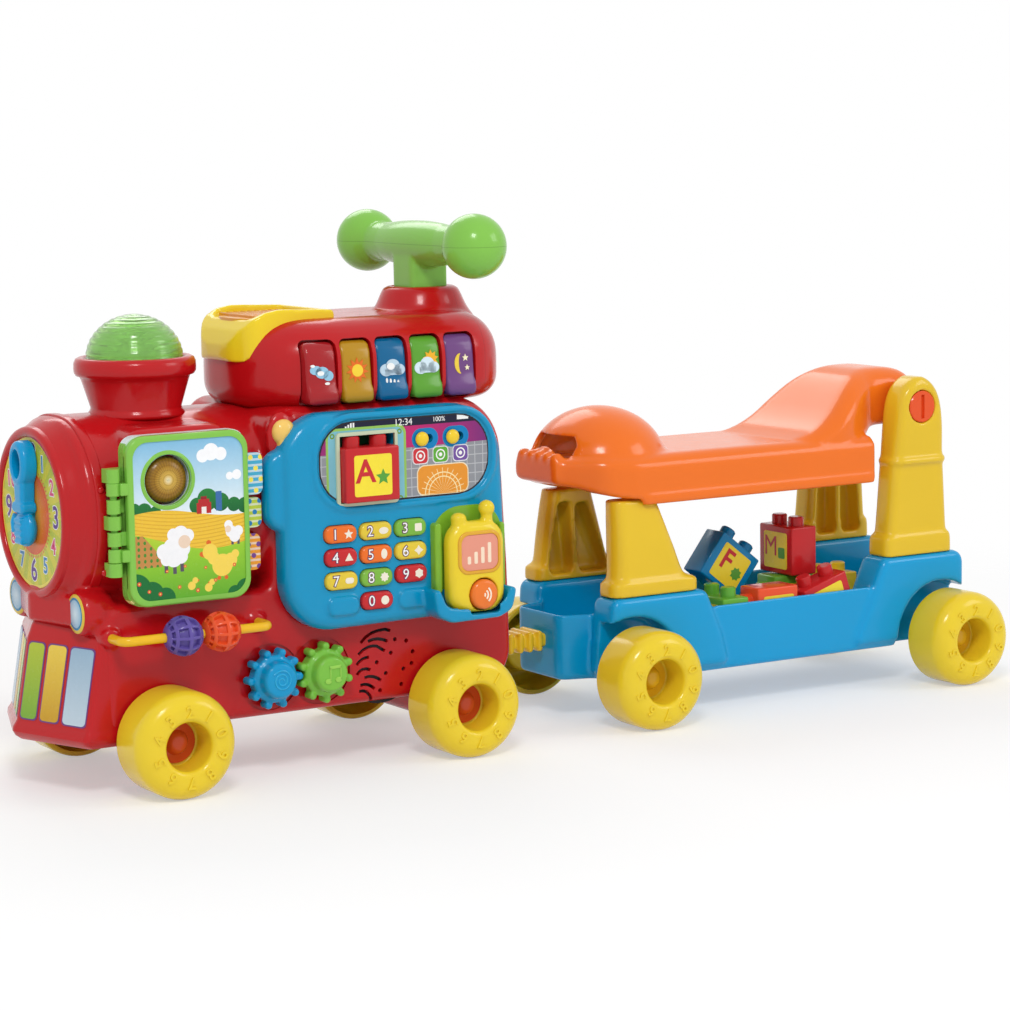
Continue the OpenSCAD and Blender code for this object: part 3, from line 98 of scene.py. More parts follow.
RED = ink(190, 18, 24)
ORANGE = ink(242, 116, 28)
YELLOW = ink(238, 200, 34)
GREEN = ink(132, 196, 78)
BLUE = ink(0, 156, 214)
PANEL_BLUE = ink(0, 146, 194)
WHITE = ink(246, 246, 244)
CREAM = ink(244, 214, 110)
NAVY = ink(24, 26, 52)
DARK = ink(34, 32, 38)
SKY = ink(150, 200, 226)


@dataclass(frozen=True)
class Sock:
    """A shader value that Python's operators work on: each adds a Math node."""

    graph: "Graph"
    socket: bpy.types.NodeSocket

    def _math(self, operation: str, *terms: "Sock | float") -> "Sock":
        """The value of a Math node.

        Args:
            operation: The node's operation.
            terms: What it works on.

        Returns:
            The node's value.
        """
        node = self.graph.add("ShaderNodeMath", {"operation": operation}, dict(enumerate(terms)))
        return Sock(self.graph, node.outputs[0])

    def __add__(self, other: "Sock | float") -> "Sock":
        """The sum."""
        return self._math("ADD", self, other)

    def __sub__(self, other: "Sock | float") -> "Sock":
        """The difference."""
        return self._math("SUBTRACT", self, other)

    def __rsub__(self, other: float) -> "Sock":
        """The difference from a number."""
        return self._math("SUBTRACT", other, self)

    def __mul__(self, other: "Sock | float") -> "Sock":
        """The product."""
        return self._math("MULTIPLY", self, other)

    def __truediv__(self, other: "Sock | float") -> "Sock":
        """The quotient."""
        return self._math("DIVIDE", self, other)

    def __mod__(self, other: float) -> "Sock":
        """What is left over a whole number of steps, never below zero."""
        return self._math("FLOORED_MODULO", self, other)

    def __lt__(self, other: "Sock | float") -> "Sock":
        """One where this is below the other, else zero."""
        return self._math("LESS_THAN", self, other)

    def __gt__(self, other: "Sock | float") -> "Sock":
        """One where this is above the other, else zero."""
        return self._math("GREATER_THAN", self, other)

    def __and__(self, other: "Sock") -> "Sock":
        """Where both masks are."""
        return self._math("MINIMUM", self, other)

    def __or__(self, other: "Sock | float") -> "Sock":
        """Where either mask is, or the larger of two values."""
        return self._math("MAXIMUM", self, other)

    def __abs__(self) -> "Sock":
        """The size without its sign."""
        return self._math("ABSOLUTE", self)

    def wave(self) -> "Sock":
        """The sine."""
        return self._math("SINE", self)

    def root(self) -> "Sock":
        """The square root."""
        return self._math("SQRT", self)

    def bearing(self, across: "Sock") -> "Sock":
        """The angle whose tangent is this over across."""
        return self._math("ARCTAN2", self, across)

    __radd__ = __add__
    __rmul__ = __mul__


class Graph:
    """The nodes of one material, with Object coordinates in millimetres."""

    def __init__(self, name: str, world: bpy.types.World | None = None) -> None:
        """Starts an empty material, or empties a world's nodes.

        Args:
            name: The material's name.
            world: The world, where the nodes are its own.
        """
        self.material = world or bpy.data.materials.new(name)
        self.material.use_nodes = True
        self.tree = self.material.node_tree
        self.tree.nodes.clear()
        self.coords = self.add("ShaderNodeTexCoord").outputs["Object"]
        parts = self.add("ShaderNodeSeparateXYZ", inputs={"Vector": self.coords})
        self.x, self.y, self.z = (Sock(self, out) / MM for out in parts.outputs)

    def add(self, kind: str, settings: dict | None = None, inputs: dict | None = None) -> bpy.types.Node:
        """Adds one node.

        Args:
            kind: The node's type.
            settings: Its settings, set first; "stops" are a ramp's places and colours.
            inputs: The values or links of its sockets.

        Returns:
            The node.
        """
        node = self.tree.nodes.new(kind)
        for key, value in (settings or {}).items():
            if key == "stops":
                ramp = node.color_ramp
                while len(ramp.elements) < len(value):
                    ramp.elements.new(1.0)
                for element, (place, colour) in zip(ramp.elements, value):
                    element.position = place
                    element.color = colour
            else:
                setattr(node, key, value)
        for key, value in (inputs or {}).items():
            if isinstance(value, Sock):
                self.tree.links.new(value.socket, node.inputs[key])
            elif isinstance(value, bpy.types.NodeSocket):
                self.tree.links.new(value, node.inputs[key])
            else:
                node.inputs[key].default_value = value
        return node

    def noise(self, scale: float, detail: float = 2.0) -> Sock:
        """A cloudy value from 0 to 1, scale being its cells to a metre."""
        inputs = {"Vector": self.coords, "Scale": scale, "Detail": detail}
        return Sock(self, self.add("ShaderNodeTexNoise", inputs=inputs).outputs[0])

    def mix(self, mask: Sock, under: object, over: object) -> bpy.types.NodeSocket:
        """One colour laid over another.

        Args:
            mask: Where the upper colour shows.
            under: The lower colour, or its socket.
            over: The upper colour, or its socket.

        Returns:
            The mixed colour.
        """
        return self.add("ShaderNodeMix", {"data_type": "RGBA"}, {0: mask, 6: under, 7: over}).outputs[2]

    def ramp(self, value: Sock, stops: Sequence[tuple[float, Colour]]) -> bpy.types.NodeSocket:
        """A colour that runs through stops as the value goes from 0 to 1."""
        return self.add("ShaderNodeValToRGB", {"stops": stops}, {"Fac": value}).outputs[0]

    def disc(self, u: Sock, v: Sock, at: Pair, radius: float) -> Sock:
        """A round mask of that radius about a place."""
        return self.gap(u, v, at) < radius

    def gap(self, u: Sock, v: Sock, at: Pair) -> Sock:
        """The distance from a place."""
        du, dv = u - at[0], v - at[1]
        return (du * du + dv * dv).root()

    def patch(self, u: Sock, v: Sock, low: Pair, high: Pair) -> Sock:
        """A mask of the rectangle between two corners."""
        across = abs(u - (low[0] + high[0]) / 2) < (high[0] - low[0]) / 2
        return across & (abs(v - (low[1] + high[1]) / 2) < (high[1] - low[1]) / 2)

    def pill(self, u: Sock, v: Sock, low: Pair, high: Pair, r: float) -> Sock:
        """A mask of a rectangle with rounded corners of radius r."""
        du = abs(u - (low[0] + high[0]) / 2) - ((high[0] - low[0]) / 2 - r)
        dv = abs(v - (low[1] + high[1]) / 2) - ((high[1] - low[1]) / 2 - r)
        du, dv = du | 0.0, dv | 0.0
        return (du * du + dv * dv).root() < r

    def bump(self, height: Sock, strength: float, depth: float = 0.0003) -> bpy.types.NodeSocket:
        """The normal of a surface raised by a height, depth being its tallest in metres."""
        inputs = {"Height": height, "Strength": strength, "Distance": depth}
        return self.add("ShaderNodeBump", inputs=inputs).outputs[0]

    def surface(self, colour: object, rough: object, inputs: dict) -> bpy.types.Material:
        """Ends the graph in a shader.

        Args:
            colour: The base colour, or its socket.
            rough: The roughness, or its socket.
            inputs: Other sockets of the shader.

        Returns:
            The material.
        """
        sockets = {"Base Color": colour, "Roughness": rough, **inputs}
        shader = self.add("ShaderNodeBsdfPrincipled", inputs=sockets)
        self.add("ShaderNodeOutputMaterial", inputs={"Surface": shader.outputs[0]})
        return self.material


@dataclass(frozen=True)
class Finish:
    """What a piece is made of; each kind fills a graph of its own."""

    name: str

    def material(self) -> bpy.types.Material:
        """The material, made the first time that it is asked for."""
        return bpy.data.materials.get(self.name) or self.make(Graph(self.name))

    def make(self, g: Graph) -> bpy.types.Material:
        """The material on an empty graph."""
        raise NotImplementedError


@dataclass(frozen=True)
class Plastic(Finish):
    """Glossy moulded plastic: a slightly uneven colour, a fine skin and faint parting lines."""

    colour: Colour
    rough: float = 0.2
    mottle: float = 0.16
    peel: float = 0.1
    coat: float = 0.12
    gloss: float = 0.26
    seams: tuple[tuple[str, float], ...] = ()
    cells: Triple = (16, 420, 90)
    shade: float = 0.62
    seam_half: float = 0.22
    seam_shade: Pair = (0.45, 0.3)
    wear: Pair = (0.14, 0.05)
    coat_rough: float = 0.06

    def make(self, g: Graph) -> bpy.types.Material:
        """The material on an empty graph."""
        coarse, fine, worn = self.cells
        cloud, skin, scuff = g.noise(coarse, 3), g.noise(fine, 2), g.noise(worn, 6)
        colour = g.mix(cloud * self.mottle, self.colour, tinted(self.colour, self.shade))
        height = skin
        for axis, place in self.seams:
            line = abs(getattr(g, axis) - place) < self.seam_half
            colour = g.mix(line * self.seam_shade[0], colour, tinted(self.colour, self.seam_shade[1]))
            height = height - line
        rough = self.rough + (scuff - 0.5) * self.wear[0] + (skin - 0.5) * self.wear[1]
        sockets = {
            "Normal": g.bump(height, self.peel), "Coat Weight": self.coat,
            "Coat Roughness": self.coat_rough, "Specular IOR Level": self.gloss,
        }
        return g.surface(colour, rough, sockets)


RED_SHELL = Plastic("red_shell", RED, seams=(("y", 0.0),))


@dataclass(frozen=True)
class Lens(Finish):
    """Tinted clear plastic with fine prisms moulded inside."""

    colour: Colour
    rough: float = 0.12
    clear: float = 0.55
    prism: float = 700.0
    cells: float = 30
    shade: Pair = (0.55, 0.55)
    facet: float = 0.25
    bend: float = 1.45
    coat: Pair = (0.2, 0.03)
    gloss: float = 0.3
    wear: float = 0.1

    def make(self, g: Graph) -> bpy.types.Material:
        """The material on an empty graph."""
        sparkle, cloud = g.noise(self.prism, 3), g.noise(self.cells, 2)
        colour = g.mix(sparkle * self.shade[0], self.colour, tinted(self.colour, self.shade[1]))
        sockets = {
            "Normal": g.bump(sparkle, self.facet), "Transmission Weight": self.clear, "IOR": self.bend,
            "Coat Weight": self.coat[0], "Coat Roughness": self.coat[1], "Specular IOR Level": self.gloss,
        }
        return g.surface(colour, self.rough + cloud * self.wear, sockets)


@dataclass(frozen=True)
class Metal(Finish):
    """Drawn steel, with fine lines round the bar."""

    colour: Colour
    rough: float = 0.3
    pitch: float = 3.0
    cells: Pair = (60, 40)
    shade: Pair = (0.4, 0.5)
    groove: float = 0.08
    wear: float = 0.2

    def make(self, g: Graph) -> bpy.types.Material:
        """The material on an empty graph."""
        drawn, cloud = (g.y * self.pitch + g.noise(self.cells[0])).wave(), g.noise(self.cells[1], 4)
        colour = g.mix(cloud * self.shade[0], self.colour, tinted(self.colour, self.shade[1]))
        sockets = {"Metallic": 1.0, "Normal": g.bump(drawn, self.groove)}
        return g.surface(colour, self.rough + cloud * self.wear, sockets)


@dataclass(frozen=True)
class Print(Finish):
    """A printed label under a clear film; each kind paints its own picture."""

    rough: float = 0.26
    grain: float = 240
    dust: float = 0.1
    dent: float = 0.06
    coat: Pair = (0.1, 0.08)
    gloss: float = 0.2
    wear: float = 0.12

    def paint(self, g: Graph) -> bpy.types.NodeSocket:
        """The picture's colour on the graph's coordinates."""
        return g.mix(g.noise(30), WHITE, CREAM)

    def make(self, g: Graph) -> bpy.types.Material:
        """The material on an empty graph."""
        film = g.noise(self.grain, 3)
        colour = g.mix(film * self.dust, self.paint(g), DARK)
        sockets = {
            "Normal": g.bump(film, self.dent), "Coat Weight": self.coat[0], "Coat Roughness": self.coat[1],
            "Specular IOR Level": self.gloss,
        }
        return g.surface(colour, self.rough + (film - 0.5) * self.wear, sockets)


@dataclass(frozen=True)
class DialPrint(Print):
    """The clock dial: an orange middle, a dotted red ring and a striped green rim."""

    centre: float = 204.0
    middle: float = 31.0
    rim: float = 55.0
    edge: float = 1.4
    stripe: float = 15.0
    tick_r: Pair = (1.6, 0.9)
    tick_turn: Pair = (6.0, 2.4)

    def paint(self, g: Graph) -> bpy.types.NodeSocket:
        """The dial's rings about the clock's middle."""
        r = g.gap(g.y, g.z, (0.0, self.centre))
        turn = (g.z - self.centre).bearing(g.y) * DEGREES + 180
        stops = [(0.0, ink(250, 190, 60)), (0.6, ink(240, 140, 44)), (1.0, ink(226, 90, 40))]
        colour = g.ramp(r / self.middle, stops)
        stripes = ((turn % self.stripe) < self.stripe / 2) * 0.5
        band = g.mix(stripes, ink(214, 206, 52), ink(160, 190, 48))
        colour = g.mix(r > self.middle, colour, band)
        on_ring = abs(r - (self.middle + self.tick_r[0])) < self.tick_r[1]
        ticks = on_ring & ((turn % self.tick_turn[0]) < self.tick_turn[1])
        colour = g.mix(ticks, colour, ink(216, 60, 60))
        return g.mix(r > self.rim - self.edge, colour, ink(240, 224, 90))


@dataclass(frozen=True)
class BookPrint(Print):
    """The book's cover: sky, clouds, trees, a barn, fields, plain farm animals and flowers."""

    low: Pair = (-372.0, 140.0)
    high: Pair = (-275.0, 264.0)
    clouds: tuple[Triple, ...] = (
        (0.62, 0.86, 0.05), (0.69, 0.88, 0.065), (0.77, 0.865, 0.05), (0.84, 0.73, 0.03),
        (0.9, 0.735, 0.038),
    )
    trees: tuple[Triple, ...] = (
        (0.05, 0.575, 0.05), (0.13, 0.565, 0.06), (0.22, 0.555, 0.045), (0.56, 0.57, 0.06),
        (0.65, 0.6, 0.085), (0.76, 0.58, 0.07), (0.87, 0.56, 0.055), (0.96, 0.55, 0.06),
    )
    bushes: tuple[Triple, ...] = (
        (0.04, 0.1, 0.13), (0.17, 0.07, 0.1), (0.28, 0.04, 0.085), (0.95, 0.05, 0.08), (0.86, 0.03, 0.06),
    )
    flowers: tuple[Triple, ...] = (
        (0.07, 0.14, 0.016), (0.15, 0.09, 0.014), (0.24, 0.07, 0.015), (0.4, 0.1, 0.014),
        (0.55, 0.07, 0.016),
        (0.7, 0.12, 0.014), (0.62, 0.2, 0.012), (0.86, 0.2, 0.014), (0.45, 0.22, 0.012), (0.3, 0.2, 0.012),
    )
    barn: tuple[tuple[float, float, float, float, Colour], ...] = (
        (0.56, 0.52, 0.68, 0.585, ink(186, 44, 46)), (0.575, 0.585, 0.665, 0.605, ink(186, 44, 46)),
        (0.595, 0.605, 0.645, 0.622, ink(150, 34, 40)), (0.6, 0.52, 0.64, 0.56, ink(244, 240, 232)),
        (0.72, 0.53, 0.77, 0.645, ink(60, 110, 170)),
    )
    fleece: tuple[Triple, ...] = (
        (0.28, 0.315, 0.06), (0.35, 0.335, 0.075), (0.43, 0.325, 0.065), (0.36, 0.275, 0.07),
        (0.3, 0.27, 0.05),
        (0.42, 0.28, 0.055), (0.42, 0.41, 0.065), (0.36, 0.41, 0.05), (0.48, 0.4, 0.05), (0.84, 0.4, 0.045),
        (0.9, 0.4, 0.04), (0.87, 0.37, 0.045), (0.82, 0.44, 0.035),
    )
    heads: tuple[Triple, ...] = ((0.45, 0.365, 0.05), (0.815, 0.415, 0.026))
    legs: tuple[Quad, ...] = (
        (0.28, 0.19, 0.31, 0.25), (0.35, 0.18, 0.38, 0.24), (0.41, 0.19, 0.44, 0.25),
        (0.84, 0.32, 0.86, 0.36),
        (0.89, 0.32, 0.91, 0.36),
    )
    chicks: tuple[Triple, ...] = (
        (0.76, 0.205, 0.085), (0.83, 0.23, 0.055), (0.87, 0.265, 0.032), (0.66, 0.29, 0.062),
        (0.69, 0.25, 0.05),
        (0.5, 0.1, 0.032), (0.53, 0.13, 0.024), (0.64, 0.08, 0.032), (0.67, 0.11, 0.024),
    )
    bills: tuple[Triple, ...] = (
        (0.592, 0.28, 0.02), (0.607, 0.272, 0.016), (0.555, 0.128, 0.009), (0.645, 0.108, 0.009),
        (0.65, 0.345, 0.02),
        (0.73, 0.13, 0.016), (0.79, 0.13, 0.016),
    )
    heart: float = 0.45

    def crowd(self, g: Graph, u: Sock, v: Sock, spots: Sequence[Triple]) -> Sock:
        """A mask of round spots.

        Args:
            g: The graph.
            u: Share of the cover's width.
            v: Share of the cover's height, on the same scale as its width.
            spots: Each spot's place and radius, as shares.

        Returns:
            The mask.
        """
        tall = (self.high[1] - self.low[1]) / (self.high[0] - self.low[0])
        masks = [g.disc(u, v, (x, y * tall), r) for x, y, r in spots]
        whole = masks[0]
        for mask in masks[1:]:
            whole = whole | mask
        return whole

    def paint(self, g: Graph) -> bpy.types.NodeSocket:
        """A country landscape, from its sky to its nearest flowers."""
        width = self.high[0] - self.low[0]
        u, v = (g.x - self.low[0]) / width, (g.z - self.low[1]) / width
        h = v * (width / (self.high[1] - self.low[1]))
        colour = g.ramp(h, [(0.5, ink(236, 246, 250)), (0.72, ink(190, 222, 240)),
                            (1.0, ink(120, 186, 224))])
        colour = g.mix(self.crowd(g, u, v, self.clouds), colour, ink(252, 253, 255))
        leaves = g.ramp(h, [(0.5, ink(20, 96, 50)), (0.7, ink(48, 140, 62))])
        colour = g.mix(self.crowd(g, u, v, self.trees), colour, leaves)
        corn = h < (u * 5.0 + 0.4).wave() * 0.03 + 0.53
        rows = ((h + (u * 3.0).wave() * 0.05) % 0.022) < 0.006
        gold = g.mix(rows * 0.5, ink(240, 196, 62), ink(206, 146, 40))
        colour = g.mix(corn, colour, gold)
        lane = h < (u * 3.6 + 2.2).wave() * 0.07 + 0.38
        grass = g.ramp(h, [(0.0, ink(92, 172, 44)), (0.3, ink(150, 204, 52)), (0.45, ink(196, 214, 60))])
        colour = g.mix(lane, colour, grass)
        field = g.patch(u, h, (0.0, 0.23), (0.26, 0.42)) & ((u * 0.9 + h) < 0.52)
        dots = g.disc(u % 0.05, h % 0.036, (0.025, 0.018), 0.011)
        plot = g.mix(dots, ink(198, 140, 76), ink(70, 140, 50))
        colour = g.mix(field, colour, plot)
        for x0, y0, x1, y1, tint in self.barn:
            colour = g.mix(g.patch(u, h, (x0, y0), (x1, y1)), colour, tint)
        for x0, y0, x1, y1 in self.legs:
            colour = g.mix(g.patch(u, h, (x0, y0), (x1, y1)), colour, ink(90, 84, 96))
        hearts = [(x, y, r * self.heart) for x, y, r in self.flowers]
        for spots, tint in (
            (self.fleece, ink(248, 248, 250)), (self.heads, ink(240, 214, 190)),
            (self.bills, ink(226, 104, 40)),
            (self.chicks, ink(248, 216, 90)), (self.bushes, ink(24, 112, 52)),
            (self.flowers, ink(228, 62, 58)),
            (hearts, ink(250, 220, 90)),
        ):
            colour = g.mix(self.crowd(g, u, v, spots), colour, tint)
        return colour


@dataclass(frozen=True)
class LeafPrint(Print):
    """A page of the book: a patterned index tab, a hill under a sun and a green hinge."""

    left: float = -372.0
    right: float = -275.0
    foot: float = 140.0
    base: Colour = SKY
    mark: Colour = YELLOW
    stripe: float = 4.2
    dot: float = 1.9
    pitch: float = 8.2
    hill: Triple = (0.07, 7, 38)
    sun: Triple = (0.72, 92, 12)
    tab: float = 3.0
    hinge: float = 2.0

    def paint(self, g: Graph) -> bpy.types.NodeSocket:
        """Stripes and dots on the tab, the page's picture and the hinge's green."""
        bands = (g.z % self.stripe) < self.stripe * 0.4
        tab = g.mix(bands * 0.55, self.base, WHITE)
        shift = ((g.z / self.pitch) % 2.0 > 1.0) * (self.pitch / 2)
        spots = g.disc((g.x + shift) % self.pitch, g.z % self.pitch, (self.pitch / 2, self.pitch / 2),
                       self.dot)
        tab = g.mix(spots, tab, self.mark)
        width = self.right - self.left
        hill = g.z < (g.x * self.hill[0]).wave() * self.hill[1] + self.foot + self.hill[2]
        across, rise, radius = self.sun
        sun = g.disc(g.x, g.z, (self.left + width * across, self.foot + rise), radius)
        page = g.mix(hill, ink(226, 238, 240), g.mix(spots, ink(156, 200, 84), ink(250, 240, 160)))
        page = g.mix(sun, page, ink(250, 206, 70))
        colour = g.mix(g.x > self.right - self.tab, page, tab)
        return g.mix(g.x < self.left + self.hinge, colour, GREEN)


@dataclass(frozen=True)
class ScreenPrint(Print):
    """The reader's screen: a status bar, a magenta band, a grey grid, icons and a fan gauge."""

    bar: float = 257.0
    band: float = 240.5
    reader: Quad = (-212.5, 197.5, -144.0, 259.0)
    icons: tuple[tuple[float, Colour], ...] = (
        (-131.6, ink(206, 52, 60)), (-114.0, ink(96, 170, 58)), (-96.4, ink(116, 84, 160)),
    )
    icon_z: float = 233.4
    gauge: Quad = (-135.0, 202.6, -89.6, 226.2)
    knobs: tuple[float, ...] = (-130.9, -104.0)
    knob_z: float = 246.4
    travel: float = 7.0
    grid: Pair = (7.0, 0.7)
    span: Pair = (222, 156)
    tilt: Pair = (145, 0.012)
    borders: tuple[Pair, ...] = ((7, 2), (6, 5.5))
    eyelet: Pair = (1.5, 0.55)
    recess: Pair = (8, 7.8)
    signal: Quad = (-196, 2.2, 1.4, 1.1)
    lift: float = 1.6
    cells: tuple[Quad, ...] = ((-99, 0.4, -89, 5.2), (-89, 1.6, -87.6, 4))
    button: tuple[Triple, ...] = ((7, 6.4, 3.4), (6.3, 5.7, 3))
    rings: Triple = (3.6, 0.5, 1.5)
    fan_r: Triple = (6.5, 6, 0.8)
    ray: Triple = (15.0, 1.6, 19)
    arcs: Triple = (15.5, 12.4, 0.4)

    def paint(self, g: Graph) -> bpy.types.NodeSocket:
        """The screen from its back layer to its front one."""
        pitch, thick = self.grid
        lines = (g.x % pitch < thick) | (g.z % pitch < thick)
        colour = g.mix(lines * 0.6, ink(146, 148, 154), ink(206, 208, 212))
        reach = (g.x + self.span[0]) / self.span[1]
        sheen = g.ramp(reach, [(0.0, ink(150, 44, 116)), (0.55, ink(196, 38, 112)),
                               (1.0, ink(110, 44, 120))])
        colour = g.mix(g.z > self.band + (g.x + self.tilt[0]) * self.tilt[1], colour, sheen)
        colour = g.mix(g.z > self.bar, colour, NAVY)
        colour = self.status(g, colour)
        x0, z0, x1, z1 = self.reader
        (r, b), (inner_r, e) = self.borders
        colour = g.mix(g.pill(g.x, g.z, (x0, z0), (x1, z1), r), colour, ink(150, 196, 92))
        inside = g.pill(g.x, g.z, (x0 + b, z0 + b), (x1 - b, z1 - b), inner_r)
        colour = g.mix(inside, colour, ink(126, 190, 206))
        for x in (x0 + e, x1 - e):
            for z in (z0 + e, z1 - e):
                ring = abs(g.gap(g.x, g.z, (x, z)) - self.eyelet[0]) < self.eyelet[1]
                colour = g.mix(ring, colour, ink(110, 150, 40))
        a, r = self.recess
        for x in self.knobs:
            slot = g.pill(g.x, g.z, (x - a, self.knob_z - a), (x + self.travel + a, self.knob_z + a), r)
            colour = g.mix(slot, colour, ink(0, 128, 190))
        for x, tint in self.icons:
            colour = self.icon(g, colour, x, tint)
        return self.fan(g, colour)

    def status(self, g: Graph, colour: object) -> bpy.types.NodeSocket:
        """Signal bars and a battery on the top bar.

        Args:
            g: The graph.
            colour: What they lie on.

        Returns:
            The colour with them on it.
        """
        foot = self.bar + self.lift
        left, step, wide, grow = self.signal
        for i in range(4):
            x = left + step * i
            bar = g.patch(g.x, g.z, (x, foot), (x + wide, foot + self.lift + grow * i))
            colour = g.mix(bar, colour, WHITE)
        case, knob = (g.patch(g.x, g.z, (x0, foot + z0), (x1, foot + z1)) for x0, z0, x1, z1 in self.cells)
        return g.mix(case | knob, colour, WHITE)

    def icon(self, g: Graph, colour: object, x: float, tint: Colour) -> bpy.types.NodeSocket:
        """One rounded button with rings on it.

        Args:
            g: The graph.
            colour: What it lies on.
            x: Its middle.
            tint: Its colour.

        Returns:
            The colour with it on.
        """
        z = self.icon_z
        for (w, h, r), shade in zip(self.button, (ink(226, 226, 230), tint)):
            colour = g.mix(g.pill(g.x, g.z, (x - w, z - h), (x + w, z + h), r), colour, shade)
        d = g.gap(g.x, g.z, (x, z))
        ring, half, dot = self.rings
        rings = (abs(d - ring) < half) | (d < dot)
        return g.mix(rings, colour, WHITE)

    def fan(self, g: Graph, colour: object) -> bpy.types.NodeSocket:
        """The orange gauge with arcs and rays.

        Args:
            g: The graph.
            colour: What it lies on.

        Returns:
            The colour with it on.
        """
        x0, z0, x1, z1 = self.gauge
        r, inner_r, b = self.fan_r
        colour = g.mix(g.pill(g.x, g.z, (x0, z0), (x1, z1), r), colour, ink(240, 226, 190))
        inside = g.pill(g.x, g.z, (x0 + b, z0 + b), (x1 - b, z1 - b), inner_r)
        colour = g.mix(inside, colour, ink(232, 150, 48))
        hub = ((x0 + x1) / 2, z0 + self.lift)
        d = g.gap(g.x, g.z, hub)
        turn = (g.z - hub[1]).bearing(g.x - hub[0]) * DEGREES
        step, wide, long = self.ray
        rays = ((turn % step) < wide) & (d < long)
        large, small, half = self.arcs
        arcs = (abs(d - large) < half) | (abs(d - small) < half) | rays
        return g.mix(arcs & inside, colour, ink(252, 232, 176))


@dataclass(frozen=True)
class FadePrint(Print):
    """A sticker whose colour pales towards its foot."""

    top: Colour = WHITE
    foot: Colour = WHITE
    low: float = 56.0
    high: float = 114.0

    def paint(self, g: Graph) -> bpy.types.NodeSocket:
        """An upright fade."""
        return g.ramp((g.z - self.low) / (self.high - self.low), [(0.0, self.foot), (1.0, self.top)])


@dataclass(frozen=True)
class RingPrint(Print):
    """A headlight's label: a pale blue disc in a blue and a yellow ring."""

    side: float = 54.0
    height: float = 135.0
    radii: Triple = (10.0, 10.2, 12.0)

    def paint(self, g: Graph) -> bpy.types.NodeSocket:
        """Rings about each headlight's middle."""
        d = g.gap(abs(g.y), g.z, (self.side, self.height))
        colour = g.ramp(d / self.radii[0], [(0.0, ink(212, 230, 240)), (1.0, ink(150, 190, 216))])
        colour = g.mix(d > self.radii[1], colour, ink(30, 130, 176))
        return g.mix(d > self.radii[2], colour, ink(226, 196, 70))


@dataclass(frozen=True)
class LensPrint(Print):
    """The book's amber lens: a painted highlight in the middle, with rays towards its rim."""

    at: Pair = (-340.0, 231.1)
    reach: float = 17.0
    rays: float = 10.0
    # The pale first stops are a painted highlight in the lens's middle; the later stops are its amber.
    stops: tuple[tuple[float, Colour], ...] = (
        (0.0, ink(255, 248, 206)), (0.22, ink(226, 186, 84)), (0.6, ink(166, 122, 34)),
        (1.0, ink(120, 84, 24)),
    )

    def paint(self, g: Graph) -> bpy.types.NodeSocket:
        """A painted highlight about the lens's middle, darkening to amber at the rim."""
        d = g.gap(g.x, g.z, self.at) / self.reach
        turn = (g.z - self.at[1]).bearing(g.x - self.at[0]) * DEGREES + 180
        ray = ((turn % self.rays) < self.rays / 2) * 0.3
        ring = ((d % 0.2) < 0.06) * 0.2
        return g.mix(ray + ring, g.ramp(d, list(self.stops)), ink(96, 66, 20))


class Plane(Enum):
    """The plane that an outline is drawn on, and last the axis that it is carried along."""

    SIDE = (0, 2, 1)
    END = (1, 2, 0)
    TOP = (0, 1, 2)

    def point(self, u: float, v: float, w: float) -> Vector:
        """The point at u and v on the plane and w along its third axis, in metres."""
        spot = Vector((0.0, 0.0, 0.0))
        for axis, part in zip(self.value, (u, v, w)):
            spot[axis] = part * MM
        return spot


class Facing(Enum):
    """The side that a label is read from, as its rightward and its upward direction."""

    NEAR = ((1, 0, 0), (0, 0, 1))
    FAR = ((-1, 0, 0), (0, 0, 1))
    NOSE = ((0, -1, 0), (0, 0, 1))

    def stand(self, place: Sequence[float]) -> Matrix:
        """The matrix that stands a flat label at a place in millimetres."""
        right, up = (Vector(v) for v in self.value)
        turned = Matrix((right, up, right.cross(up))).transposed().to_4x4()
        return Matrix.Translation(Vector(place) * MM) @ turned


class Part(Enum):
    """What a selection in edit mode is made of."""

    EDGE = "edges"
    FACE = "faces"


@dataclass(frozen=True)
class Room:
    """The box that CAD nodes hold, in millimetres."""

    low: Vector
    high: Vector

    @classmethod
    def of(cls, *nodes: str) -> "Room":
        """The room of one or more nodes."""
        boxes = [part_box(node) for node in nodes]
        low = Vector([min(box[0][i] for box in boxes) for i in range(3)])
        high = Vector([max(box[1][i] for box in boxes) for i in range(3)])
        return cls(low / MM, high / MM)

    @property
    def mid(self) -> Vector:
        """The middle."""
        return (self.low + self.high) / 2

    @property
    def size(self) -> Vector:
        """The length of each side."""
        return self.high - self.low

    def side(self, by: float) -> Outline:
        """Its outline from the side, grown by a length."""
        return rect((self.low.x - by, self.low.z - by), (self.high.x + by, self.high.z + by))


def rounded(points: Sequence[Pair], radii: Sequence[float], steps: int = 8) -> Outline:
    """An outline with its corners rounded.

    Args:
        points: The corners in order.
        radii: The radius of each corner, used again from the first where there are fewer.
        steps: Segments in each rounded corner.

    Returns:
        The rounded outline.
    """
    found: Outline = []
    for i, point in enumerate(points):
        radius = radii[i % len(radii)]
        here = Vector(point)
        back = (Vector(points[i - 1]) - here).normalized()
        onto = (Vector(points[(i + 1) % len(points)]) - here).normalized()
        half = math.acos(max(-1.0, min(1.0, back.dot(onto)))) / 2
        if radius <= 0 or half > math.pi / 2 - 0.01:
            found.append((here.x, here.y))
            continue
        hub = here + (back + onto).normalized() * radius / math.sin(half)
        start = here + back * radius / math.tan(half) - hub
        stop = here + onto * radius / math.tan(half) - hub
        first = math.atan2(start.y, start.x)
        sweep = (math.atan2(stop.y, stop.x) - first + math.pi) % (2 * math.pi) - math.pi
        for k in range(steps + 1):
            turn = first + sweep * k / steps
            found.append((hub.x + radius * math.cos(turn), hub.y + radius * math.sin(turn)))
    return found


